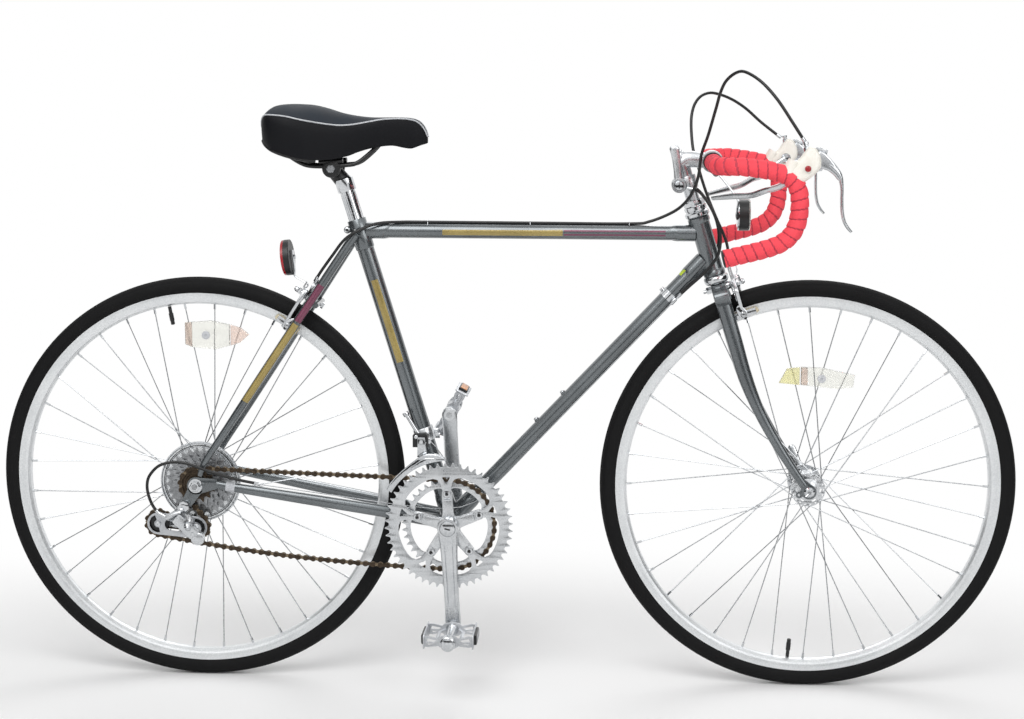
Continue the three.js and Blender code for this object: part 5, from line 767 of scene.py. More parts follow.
def makeFrame(s):
    enamel = skins["flakeEnamel"]
    seatTop = bracket + seatWay * s["seatLength"]
    topSeat, topHead = bracket + seatWay * s["topSeat"], steerFoot + headWay * s["topHead"]
    downHead = steerFoot + headWay * s["downHead"]
    headBottom = steerFoot + headWay * s["headStart"]
    topWay, downWay = (topHead - topSeat).normalized(), (downHead - bracket).normalized()
    wall = s["lug"]

    bm = bmesh.new()
    addRod(bm, topSeat + topWay * 12, topHead - topWay * 12, s["topTube"], sides=40)
    finishPiece(bm, "topTube", "frame", enamel, ["top_tube"])

    bm = bmesh.new()
    addRod(bm, bracket + downWay * 14, downHead - downWay * 12, s["downTube"], sides=40)
    downUp = vec(-downWay.z, 0, downWay.x)
    for k in range(2):
        foot = bracket + downWay * (227 + 64 * k) + downUp * (s["downTube"] - 1)
        addLathe(bm, [(0, 0), (5.2, 0), (4.6, 3), (3.4, 3.4), (0, 3.4)], foot, downUp, 20)
        bolt(bm, foot + downUp * 3.4, downUp, 3.6, 2.6, 1, 16, 1.6)
    band = bracket + downWay * 525
    addLathe(bm, [(s["downTube"] - 0.5, 0), (s["downTube"] + 1.4, 0.4), (s["downTube"] + 1.4, 13.6),
                  (s["downTube"] - 0.5, 14)], band, downWay, 40, 1)
    for side in (-1, 1):
        cableStop = vec(281.63, 13.5 * side, 653.92)
        addLathe(bm, [(1.2, 0), (2.9, 0), (3.6, 1.5), (3.6, 10.5), (3.2, 12), (1.2, 12)],
                 cableStop, downWay, 20, 1)
    boltUp = band + downWay * 7 + downUp * (s["downTube"] + 1)
    addLathe(bm, [(0, 0), (4, 0), (4, 4), (0, 4)], boltUp, downUp, 16, 1)
    finishPiece(bm, "downTube", "frame", [enamel, skins["chromePlate"]], ["down_tube"])

    bm = bmesh.new()
    head = [(s["headTube"] - 1.8, 0), (s["headTube"] + 1.8, 0), (s["headTube"] + 1.8, 6.5),
            (s["headTube"] + 0.3, 8.5), (s["headTube"], 10), (s["headTube"], s["headLength"] - 10),
            (s["headTube"] + 0.3, s["headLength"] - 8.5), (s["headTube"] + 1.8, s["headLength"] - 6.5),
            (s["headTube"] + 1.8, s["headLength"]), (s["headTube"] - 1.8, s["headLength"])]
    addLathe(bm, head, headBottom, headWay, 48, closed=True)
    lugSleeve(bm, topHead - topWay * 12, -topWay, s["topTube"], 42, wall, 1, math.pi / 2)
    lugSleeve(bm, downHead - downWay * 12, -downWay, s["downTube"], 46, wall, 1, math.pi / 2)
    finishPiece(bm, "headTube", "frame", enamel, ["head_tube"])

    bm = bmesh.new()
    addRod(bm, bracket + seatWay * 10, seatTop, s["seatTube"], sides=40)
    addLathe(bm, [(s["seatTube"] - 0.4, -52), (s["seatTube"] + 0.9, -51), (s["seatTube"] + wall, -49),
                  (s["seatTube"] + wall, -1), (s["seatTube"] + 0.8, 0.2), (13.2, 0.2), (13.2, -10)],
             seatTop, seatWay, 48)
    lugSleeve(bm, topSeat + topWay * 12, topWay, s["topTube"], 40, wall, 1, math.pi / 2)
    lugSleeve(bm, bracket + downWay * 14, downWay, s["downTube"], 46, wall, 1, math.pi / 2)
    lugSleeve(bm, bracket + seatWay * 14, seatWay, s["seatTube"], 40, wall, 1, math.pi / 2)
    half = s["shellHalf"]
    shell = [(9.8, -half), (19.2, -half), (s["shell"], 1 - half), (s["shell"], half - 1),
             (19.2, half), (9.8, half)]
    addLathe(bm, shell, bracket, (0, 1, 0), 56, closed=True)
    for side in (-1, 1):
        cup = [(9.7, 34), (18.4, 34), (18.4, 35.6), (16.5, 36.2), (9.7, 36.2)]
        addLathe(bm, [(r, y * side) for r, y in cup], bracket, (0, 1, 0), 40, 1, closed=True)
    finishPiece(bm, "seatTube", "frame", [enamel, skins["zincSteel"]], ["seat_tube"])

    # generic transfers: plain bands laid a hair above the enamel
    def transfer(name, start, end, radius, finish, fromDeg, toDeg, up=(0, 0, 1)):
        bm = bmesh.new()
        way = (vec(end) - vec(start)).normalized()
        side = way.cross(vec(up)).normalized()
        upward = side.cross(way)
        rows = []
        for place in (vec(start), (vec(start) + vec(end)) / 2, vec(end)):
            rows.append([(place, math.radians(fromDeg + (toDeg - fromDeg) * k / 12)) for k in range(13)])
        lifted = radius + 0.12
        verts = [[bm.verts.new(p + side * (math.cos(t) * lifted) + upward * (math.sin(t) * lifted))
                  for p, t in row] for row in rows]
        for a, b in zip(verts, verts[1:]):
            for j in range(12):
                bm.faces.new((a[j], a[j + 1], b[j + 1], b[j]))
        bmesh.ops.solidify(bm, geom=bm.faces[:], thickness=0.12)
        finishPiece(bm, name, "frame", skins[finish])

    for side, low, high in (("Right", -26, 26), ("Left", 154, 206)):
        transfer(f"topStripeGold{side}", (-98, 0, 772.2), (102, 0, 771.4), s["topTube"],
                 "goldTransfer", low, high)
        for n, (a, b) in enumerate(((low + 4, low + 17), (high - 17, high - 4))):
            transfer(f"topStripeMagenta{side}{n}", (104, 0, 771.4), (272, 0, 770.8), s["topTube"],
                     "magentaTransfer", a, b)
    seatBand = [bracket + seatWay * t for t in (285, 430)]
    for side, low, high in (("Right", -24, 24), ("Left", 156, 204)):
        transfer(f"seatPanelGold{side}", seatBand[0], seatBand[1], s["seatTube"], "goldTransfer", low, high,
                 up=(1, 0, 0))
    for side, low, high in (("Right", 46, 84), ("Left", 96, 134)):
        transfer(f"headPatchLime{side}", downHead - downWay * 57, downHead - downWay * 37, s["downTube"],
                 "limeTransfer", low, high)

    for side, y in hands:
        low, high = vec(-496, 63.8 * y, 388), vec(-243.2, 21.8 * y, 767.7)
        for colour, a, b in (("magenta", 0.62, 0.78), ("gold", 0.27, 0.61)):
            mid = -90 + 90 * -y
            transfer(f"stay{colour.title()}{side}", low.lerp(high, a), low.lerp(high, b), 7.5,
                     f"{colour}Transfer", mid - 48, mid + 48)
    bm = bmesh.new()
    addTube(bm, [(-462, -61.7, 346.4), (-447, -60.1, 343.9)], [(8.3, 6.4)] * 2, 32)
    finishPiece(bm, "stayLabel", "frame", skins["pipingCord"])

    # stays: ovals that narrow towards flat ends
    for hand, side in (("right", -1), ("left", 1)):
        bm = bmesh.new()
        run = smoothPath([(-97, 26 * side, 281.5), (-142, 29.5 * side, 289), (-188, 35 * side, 299),
                          (-335, 49.4 * side, 324.5), (-455, 61 * side, 345.2), (-478, 63.6 * side, 349.2)],
                         5)
        widths = taper(len(run) - 1, [10.8, 11, 10.6, 9.6, 7.8, 6.6], [7.8, 7.4, 7, 6.6, 6.2, 4.2])
        addTube(bm, run, widths, 32)
        outline = roundLink((-483, 350), (-512.5, 347), 9.5, 15)
        slotPlate = Matrix.Translation((0, 63.8 * side, 0)) @ sidePlane(0)
        addPlate(bm, outline, [], 5, slotPlate, 0.5, 1)
        if side < 0:
            addPlate(bm, roundLink((-512.5, 342), (-532, 312), 12, 9), [], 5, slotPlate, 0.5, 1)
            addRod(bm, (-153, -30, 292.5), (-153, 30, 292.5), 6, sides=24)
        bolt(bm, (-500, (63.8 + 2.5) * side, 350), (0, side, 0), 3.4, 2, 1, 16, 1.4)
        finishPiece(bm, f"chainstay{hand.title()}", "frame", [enamel, enamel],
                    [f"chainstay_{hand}"])

        bm = bmesh.new()
        top, low = vec(-243.2, 21.8 * side, 767.7), vec(-496, 63.8 * side, 388)
        tip = vec(-505, 63.8 * side, 364)
        run = [top, top.lerp(low, 0.3), top.lerp(low, 0.6), top.lerp(low, 0.85), low, tip]
        addTube(bm, smoothPath(run, 4),
                taper(20, [7.5, 7.5, 7.4, 6.4, 5.6, 4.4], [7.5, 7.5, 7.4, 6, 4.6, 3.8]), 32)
        # fastback cap: a slanted leaf on the lug
        addTube(bm, [top + vec(4, 0, 4), top + (top - low).normalized() * 12 + vec(3, -3 * side, 0)],
                [(7.4, 6.2), (3.5, 2.2)], 24)
        if side < 0:
            centre, way = rearBridge, rearBoltLine
            addRod(bm, centre - vec(0, 33, 0), centre + vec(0, 33, 0), 5, sides=24)
            addLathe(bm, [(0, -10), (5.5, -10), (5.5, -6), (3, -5.5), (3, 47), (0, 47)], centre, way, 20, 1)
            addLathe(bm, [(0, 4), (6, 4), (6.5, 10), (5, 17.7), (0, 17.7)], centre, way, 20, 1)
            bolt(bm, centre + way * 34, way, 6, 6.5, 1, 6)
            addLathe(bm, [(0, 40.5), (4.6, 40.5), (5, 44), (3, 47.5), (0, 48)], centre, way, 20, 1)
        finishPiece(bm, f"seatstay{hand.title()}", "frame", [enamel, skins["chromePlate"]],
                    [f"seatstay_{hand}"])

    # seat bolt through the lug's ears
    bm = bmesh.new()
    earWay = bracket + seatWay * 523 + vec(-17.2, 0, -5.6)
    addLathe(bm, [(0, -13), (5.2, -13), (6, -11.5), (6, 11.5), (5.2, 13), (0, 13)], earWay, (0, 1, 0), 28)
    for side in (-1, 1):
        bolt(bm, earWay + vec(0, 13 * side, 0), (0, side, 0), 4.6, 2.6, 1, 20, 2.4)
    finishPiece(bm, "seatBolt", "frame", [enamel, skins["chromePlate"]])


makeFrame(frameSizes)
print("frame made")

# cables: black housing over bare wire, held at both ends
cableRoutes = {
    "rearBrakeCable": {
        "body": "frame", "turns": ((340, -80, 950), (250, -4, 790)), "nodes": ["rear_brake_cable"],
        "radius": 2.5, "stiffness": "stiff",
        "route": [
            (480, -194, 926), (461, -194, 955), (437, -186, 991), (413, -172, 1018), (390, -152, 1033),
            (376, -137, 1032), (362, -122, 1020), (354, -106, 1002), (348, -92, 977), (337, -73, 934),
            (327, -60, 902), (324, -48, 872), (318, -36, 848), (306, -24, 826), (285, -12, 807),
            (246, -3, 790), (210, 0, 785.9), (55, 0, 786.6), (-120, 0, 787.5), (-170, -3, 787.6),
            (-205, -15, 786), (-232, -31, 777), (-258, -32.9, 761), (-280.4, -30, 733), (-300.4, -26.5, 706),
            (-310.4, -24, 690.6)]},
    "frontBrakeCable": {
        "body": "steering", "nodes": ["front_brake_cable"],
        "radius": 2.5, "stiffness": "stiff",
        "route": [
            (474, 195, 922), (440, 190, 948), (411, 180, 973), (383, 165, 990), (355, 145, 999),
            (338, 130, 997), (326, 116, 988), (318, 104, 972), (315, 92, 948), (318, 76, 908),
            (326, 64, 880), (334, 54, 853), (345, 44, 822), (358, 36, 791), (369, 30, 767),
            (376, 25, 745), (378, 24, 717.8)]},
    "rearShiftHousing": {
        "body": "frame", "turns": ((307, -21, 840), (337, -23, 695)), "nodes": ["rear_shift_cable"],
        "radius": 2.5, "stiffness": "stiff",
        "route": [
            (307, -21, 846), (325, -24, 841), (342, -27, 820), (355, -29, 795), (361, -29, 770),
            (360, -28, 745), (353, -26, 728), (337, -23, 708), (314, -17, 686), (292.6, -13.5, 665.6)]},
    "frontShiftHousing": {
        "body": "frame", "turns": ((307, 21, 840), (337, 23, 695)), "nodes": ["front_shift_cable"],
        "radius": 2.5, "stiffness": "stiff",
        "route": [
            (307, 21, 846), (325, 24, 841), (342, 27, 820), (355, 29, 795), (361, 29, 770),
            (360, 28, 745), (353, 26, 728), (337, 23, 708), (314, 17, 686), (292.6, 13.5, 665.6)]},
    "rearShiftWire": {
        "body": "frame", "nodes": [],
        "radius": 0.8, "stiffness": "stiff",
        "route": [
            (290.2, -13.5, 663), (280.9, -13.5, 653.2), (100, -14.1, 461.9), (-20, -14.5, 335),
            (-62, -17, 308), (-88, -22, 305), (-120, -28, 305), (-188, -35, 314), (-300, -46, 332),
            (-404, -57, 349)]},
    "frontShiftWire": {
        "body": "frame", "nodes": [],
        "radius": 0.8, "stiffness": "stiff",
        "route": [
            (290.2, 13.5, 663), (280.9, 13.5, 653.2), (100, 14.4, 461), (-5, 15.5, 349), (-42, 17, 340),
            (-70, 2, 350), (-88, -16, 376), (-110, -19, 408), (-122.3, -20, 420)]},
    "rearShiftLoop": {
        "body": "frame", "nodes": [],
        "radius": 2.5, "stiffness": "stiff",
        "route": [
            (-406, -57.5, 350), (-440, -64, 358), (-470, -72, 368), (-500, -75, 379), (-522, -76, 387),
            (-545, -77, 390), (-570, -78, 384), (-587, -78, 367), (-592, -78, 350), (-590, -77, 331),
            (-583, -76, 313), (-573, -75, 300)]},
}
for name, s in cableRoutes.items():
    run = smoothPath(s["route"], 6)
    bm = bmesh.new()
    addTube(bm, run, s["radius"], 18, up=(1, 0, 0.3))
    wire, turns = s["radius"] < 1, "turns" in s
    piece = finishPiece(bm, name, None if turns else s["body"],
                        skins["stainlessWire" if wire else "blackHousing"], s["nodes"])
    if turns:
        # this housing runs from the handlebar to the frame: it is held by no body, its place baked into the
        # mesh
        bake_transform(piece)
    if not wire:
        # crimped ferrules close the ends of the housing
        for which, end, nearby in (("First", run[0], run[1]), ("Last", run[-1], run[-2])):
            bm = bmesh.new()
            addLathe(bm, [(1.2, -0.4), (2.9, -0.4), (3.1, 0.4), (3.1, 8.5), (2.55, 9), (2.45, 9)], end,
                     (nearby - end).normalized(), 18)
            holder = "steering" if which == "First" and turns else s["body"]
            finishPiece(bm, f"{name}{which}Ferrule", holder, skins["chromePlate"])
for n, x in enumerate((-123, 48, 212)):
    bm = bmesh.new()
    addTube(bm, [(x, -5.4, 782.2), (x, -3.6, 785), (x, -3.3, 788.6), (x, 0, 790), (x, 3.3, 788.6),
                 (x, 3.6, 785), (x, 5.4, 782.2)], [(0.6, 2.6)] * 7, 10, up=(1, 0, 0))
    finishPiece(bm, f"cableClip{n}", "frame", skins["chromePlate"])
print("cables made")

forkSizes = {
    "bladeY": 32, "dropoutY": 52.8, "rake": 47.4, "top": 321.7, "foot": -14.49,
    "rise": [0, 0.37, 0.55, 0.73, 0.87, 0.965], "bend": [0, 0, 0.13, 0.4, 0.68, 0.9],
    "fore": [13, 12, 9.5, 8.5, 7.5, 7], "side": [9.5, 9, 8, 7, 6.5, 6],
}


def makeFork(s):
    enamel, chrome = skins["flakeEnamel"], skins["chromePlate"]
    across = plane(steer(0, 0, 0), (0, 1, 0), headWay)
    # flat crown with sloping shoulders and a leg over each blade
    shape = [(42, 322), (42, 339), (39, 344), (30, 349), (21, 354.5), (17, 356)]
    inner = [(-14, 333.2), (-18.5, 330), (-21, 322)]
    outline = [(-42, 322), *inner[::-1], *[(-y, z) for y, z in inner], *shape,
               *[(-y, z) for y, z in shape[::-1][:-1]]]
    bm = bmesh.new()
    addPlate(bm, outline, [], 26, across, 2.2)
    addLathe(bm, [(12.7, 333), (12.7, 498), (11.4, 498), (11.4, 430), (12, 430), (12, 333)],
             steer(0, 0, 0), headWay, 40, closed=True)
    for side in (-1, 1):
        # leaf-shaped recess line on the front of the crown
        addTube(bm, [steer(12.9, 24 * side, 345), steer(13.2, 31 * side, 338), steer(12.9, 35 * side, 329)],
                [(1.0, 2.0), (1.4, 3.0), (0.8, 1.6)], 12)
    bolt(bm, steer(-13, 0, frontBoltRise), -headForward, 6.4, 8, 1, 6)
    addLathe(bm, [(0, 20), (3, 20), (3, 26.5), (0, 27)], steer(0, 0, frontBoltRise), -headForward, 20, 1)
    addLathe(bm, [(0, 13), (7, 13), (7.4, 15), (5.6, 22.6), (0, 22.6)], steer(0, 0, frontBoltRise),
             headForward, 24, 1)
    addLathe(bm, [(0, 22), (3, 22), (3, 43), (0, 43.4)], steer(0, 0, frontBoltRise), headForward, 20, 1)
    bolt(bm, steer(35.6, 0, frontBoltRise), headForward, 5.6, 3.6, 1, 6)
    addLathe(bm, [(0, 39.4), (5, 39.4), (5.2, 41), (3.4, 44.1), (0, 44.6)], steer(0, 0, frontBoltRise),
             headForward, 24, 1)
    finishPiece(bm, "forkCrown", "steering", [enamel, chrome], ["fork_crown"])
    for hand, side in hands:
        bm = bmesh.new()
        drop = s["top"] - s["foot"]
        route = [steer(b * s["rake"], side * (s["bladeY"] + (s["dropoutY"] - s["bladeY"]) * r),
                       s["top"] - r * drop)
                 for r, b in zip(s["rise"], s["bend"])]
        run = smoothPath([route[0], route[0].lerp(route[1], 0.5), *route[1:]], 6)
        side2 = [s["side"][0], s["side"][0], *s["side"][1:]]
        fore2 = [s["fore"][0], s["fore"][0] - 0.2, *s["fore"][1:]]
        count = len(run) - 1
        addTube(bm, run, taper(count, side2, fore2), 32,
                up=(0, 1, 0))
        flat = plane(steer(0, side * s["dropoutY"], 0), headForward, headWay)
        addPlate(bm, roundLink((0.9 * s["rake"], 3.2), (s["rake"], s["foot"]), 6, 12.4), [], 5, flat, 0.5, 1)
        addPlate(bm, circle(5.6, 24, (s["rake"] - 17, s["foot"])),
                 [circle(2.6, 16, (s["rake"] - 17, s["foot"]))], 5, flat, 0.4, 1)
        addPlate(bm, [(s["rake"] - 16, s["foot"] + 5), (s["rake"] - 4, s["foot"] + 9),
                      (s["rake"] - 4, s["foot"] - 6), (s["rake"] - 16, s["foot"] - 4)], [], 4.4,
                 flat, 0.3, 1)
        finishPiece(bm, f"forkBlade{hand}", "steering", [enamel, enamel],
                    [f"fork_blade_{hand.lower()}"])

    bm = bmesh.new()
    low = [(13.6, 356.3), (17, 356.3), (18.6, 357.4), (20.4, 361), (20.5, 366.8), (19.4, 368.8),
           (17.4, 370.2), (16.6, 371), (13.6, 371)]
    addLathe(bm, low, steer(0, 0, 0), headWay, 56, closed=True)
    finishPiece(bm, "headsetLower", "frame", chrome, ["headset_lower"])
    bm = bmesh.new()
    high = [(13.6, 470.3), (16.6, 470.3), (18, 471.6), (20.3, 473.4), (20.5, 478.4), (19.2, 480),
            (17.4, 481.6), (17.3, 483.4), (18.6, 484), (18.6, 489.4), (17, 490.2), (16.8, 491), (13.6, 491)]
    addLathe(bm, high, steer(0, 0, 0), headWay, 56, closed=True)
    addLathe(bm, [(13.4, 491), (17.6, 491), (17.9, 491.8), (17.9, 499.2), (17.2, 500.3), (13.4, 500.3)],
             steer(0, 0, 0), headWay, 8, closed=True)
    finishPiece(bm, "headsetUpper", "steering", chrome, ["headset_upper"], sharp=28)


def makeStem():
    bm = bmesh.new()
    alloy, chrome = skins["buffedAluminium"], skins["chromePlate"]
    addLathe(bm, [(0, 425), (11.1, 425), (11.1, 569), (11.4, 574), (10.6, 579), (8.4, 582), (6.2, 583.6),
                  (6.2, 584.4), (4.4, 585), (4.2, 581), (0, 581)], steer(0, 0, 0), headWay, 40)
    neck = [steer(-3, 0, 564), steer(8, 0, 567), steer(20, 0, 564), steer(34, 0, 558), steer(45, 0, 553)]
    addTube(bm, smoothPath(neck, 5), taper(20, [15, 14.4, 13.4, 12.8, 13], [12.6, 11.6, 10.8, 10.4, 12]), 32)
    place = steer(47.6, 0, 552.2)
    addLathe(bm, [(12.9, -19), (16.6, -19), (18, -17.4), (18.2, 0), (18, 17.4), (16.6, 19), (12.9, 19)],
             place, (0, 1, 0), 48, closed=True)
    ear = place - headWay * 21
    for side in (-1, 1):
        addTube(bm, [place - headWay * 12 + vec(0, 6.2 * side, 0), ear + vec(0, 6.2 * side, 0)],
                [(5.2, 6.6), (4.6, 5.6)], 20, up=(0, 1, 0))
    addLathe(bm, [(0, -11), (4.6, -11), (5, -9.6), (5, 9.6), (4.6, 11), (0, 11)], ear, (0, 1, 0), 24)
    bolt(bm, ear + vec(0, -11, 0), (0, -1, 0), 4.4, 3.2, 1, 20, 2.3)
    # band of the shifters with its boss and screws
    addLathe(bm, [(11.2, 519), (14.6, 519), (15, 520), (15, 540), (14.6, 541), (11.2, 541)],
             steer(0, 0, 0), headWay, 44, closed=True)
    boss = steer(-15.4, 0, 530.7)
    addLathe(bm, [(0, -14.6), (8.6, -14.6), (9, -14), (9, 14), (8.6, 14.6), (0, 14.6)], boss, (0, 1, 0), 32)
    for side in (-1, 1):
        addLathe(bm, [(0, 14), (3, 14), (3, 24.2), (0, 24.2)], boss, (0, side, 0), 20, 1)
        addLathe(bm, [(0, 23.8), (7.2, 23.8), (7.6, 24.6), (6.8, 26.6), (3.2, 27), (0, 27)], boss,
                 (0, side, 0), 32, 1)
        addTube(bm, [boss + vec(0, 27 * side, 0), boss + vec(0, 30.5 * side, 0)], [(1.1, 6.4), (0.9, 5)], 12,
                up=(1, 0, 0), material=1)
    finishPiece(bm, "quillStem", "steering", [alloy, chrome], ["stem"], sharp=32)
    for hand, side, body in (("Right", -1, "shifter_right"), ("Left", 1, "shifter_left")):
        lean = math.radians(11.6)
        way = (headWay * math.cos(lean) + headForward * math.sin(lean))
        fore = (headForward * math.cos(lean) - headWay * math.sin(lean))
        bm = bmesh.new()
        addLathe(bm, [(3.4, 15), (11.4, 15), (12, 15.8), (12, 22.2), (11.2, 23), (3.4, 23)], boss,
                 (0, side, 0), 44, closed=True)
        addLathe(bm, [(3.5, 23), (8.6, 23), (8.2, 23.7), (3.5, 23.7)], boss, (0, side, 0), 32,
                 1, closed=True)
        arm = [boss + vec(0, 19 * side, 0) + way * 6, boss + vec(0, 19.4 * side, 0) + way * 22,
               boss + vec(0, 20.2 * side, 0) + way * 42 - fore * 0.6,
               boss + vec(0, 21 * side, 0) + way * 60 - fore * 2.4,
               boss + vec(0, 21.2 * side, 0) + way * 64.6 - fore * 3]
        addTube(bm, smoothPath(arm, 5),
                taper(20, [7, 6.2, 6.6, 7.8, 4], [3.4, 2.6, 2.4, 3, 1.8]), 24, up=fore)
        finishPiece(bm, f"shiftLever{hand}", body, [alloy, chrome], [f"shift_lever_{hand.lower()}"])


makeFork(forkSizes)
makeStem()
print("steering made")

barSizes = {
    "centre": (347.01, 0, 888.99), "half": 200, "reach": 126, "drop": 142, "shoulder": 40, "radius": 12,
    "sleeve": 12.7, "tapeStart": 46, "tapeRadius": 13.3, "tapeLift": 1.5, "tapePitch": 15,
    "tapeStep": 1.3, "tapeSides": 36,
    "hook": [(0.63, 0.04), (0.87, 0.11), (0.98, 0.25), (1, 0.45), (0.965, 0.63), (0.865, 0.77),
             (0.65, 0.875), (0.095, 1)],
    "corner": [(1, 0), (0.5, 0.13), (0.13, 0.5), (0, 0.95)],
}


def barAt(x, y, z, s=barSizes):
    return vec(s["centre"]) + vec(x, y, z)


def halfBar(side, start, s):
    run = [(0, side * start, 0)]
    run += [(f * s["shoulder"], side * (s["half"] - i * s["shoulder"]), 0) for i, f in s["corner"]]
    run += [(r * s["reach"], side * s["half"], -d * s["drop"]) for r, d in s["hook"]]
    return [barAt(*p) for p in run]


def evenly(points, spacing):
    # the same path with points a fixed distance apart
    out, left = [points[0]], spacing
    for a, b in zip(points, points[1:]):
        span = (b - a).length
        done = 0
        while span - done >= left:
            done += left
            out.append(a.lerp(b, done / span))
            left = spacing
        left -= span - done
    return out + [points[-1]]


def makeBars(s):
    bm = bmesh.new()
    full = [*halfBar(-1, 38, s)[::-1], *halfBar(1, 38, s)]
    addTube(bm, smoothPath(full, 5), s["radius"], 28, up=(0, 0, 1))
    sleeve = [(12, -34), (12.5, -31), (s["sleeve"], -30), (s["sleeve"], 30), (12.5, 31), (12, 34)]
    addLathe(bm, sleeve, barAt(0, 0, 0), (0, 1, 0), 36)
    finishPiece(bm, "bareHandlebar", "steering", skins["chromePlate"], ["handlebar"])
    for hand, side in hands:
        run = evenly(smoothPath(halfBar(side, s["tapeStart"], s), 8), s["tapeStep"])
        bm = bmesh.new()
        rings = addTube(bm, run, s["tapeRadius"], s["tapeSides"], up=(0, 0, 1), caps=False)
        groove = set()
        for i, (centre, ring) in enumerate(zip(run, rings)):
            for k, vertex in enumerate(ring):
                phase = (i * s["tapeStep"] / s["tapePitch"] + k / s["tapeSides"] * side) % 1
                lift = s["tapeLift"] * (phase ** 0.5 if phase < 0.9 else (1 - phase) / 0.1)
                puff = 0.35 * math.sin(phase * math.pi) - (0.5 if phase > 0.97 or phase < 0.04 else 0)
                swell = s["tapeRadius"] - 0.5 + lift + puff
                vertex.co = centre + (vertex.co - centre).normalized() * swell
                if phase > 0.93 or phase < 0.03:
                    groove.add(vertex)
        # faces along each groove take the darker tapeSeam red: painted shade
        for face in bm.faces:
            face.material_index = 2 if sum(v in groove for v in face.verts) > 1 else 0
        ringFaces(bm, [rings[-1]], 0, False, caps=False)
        bm.faces.new(rings[0][::-1])
        bm.faces.new(rings[-1])
        # end plug
        last, before = run[-1], run[-3]
        way = (last - before).normalized()
        addLathe(bm, [(0, -2), (11.6, -2), (13.6, 0), (13.8, 1.4), (12.6, 2.6), (8, 3.2), (0, 3.4)],
                 last, way, 36, 1)
        finishPiece(bm, f"barTape{hand}", "steering",
                    [skins["foamTape"], skins["blackPlastic"], skins["tapeSeam"]],
                    [f"bar_tape_{hand.lower()}"], sharp=50)


leverShapes = {
    "hood": [(118, 6), (109, -6), (112, -15), (121, -22), (131, -23), (143, -15), (155, -3),
             (157, 8), (155, 18), (151, 25), (147, 29), (141, 31), (135, 28), (126, 15)],
    "thick": 24,
    "blade": [((158, 10), 9.5, 5.5), ((168, 4), 8.5, 6.6), ((178, -4), 6.2, 7.2), ((186, -14), 4.2, 7.5),
              ((189.3, -30), 2.8, 7.5), ((189.6, -50), 2.5, 7.5), ((190.6, -68), 2.4, 7.2),
              ((194, -83), 2.6, 6.6), ((200, -93), 2.6, 5.6), ((205.6, -99.4), 2.2, 3.6)],
    "safety": [(135, 18.5, -2), (119, 19.5, -13), (103, 22, -27), (90, 27, -34), (76, 35, -38),
               (56, 60, -47), (30, 100, -51), (-2, 140, -57)],
}


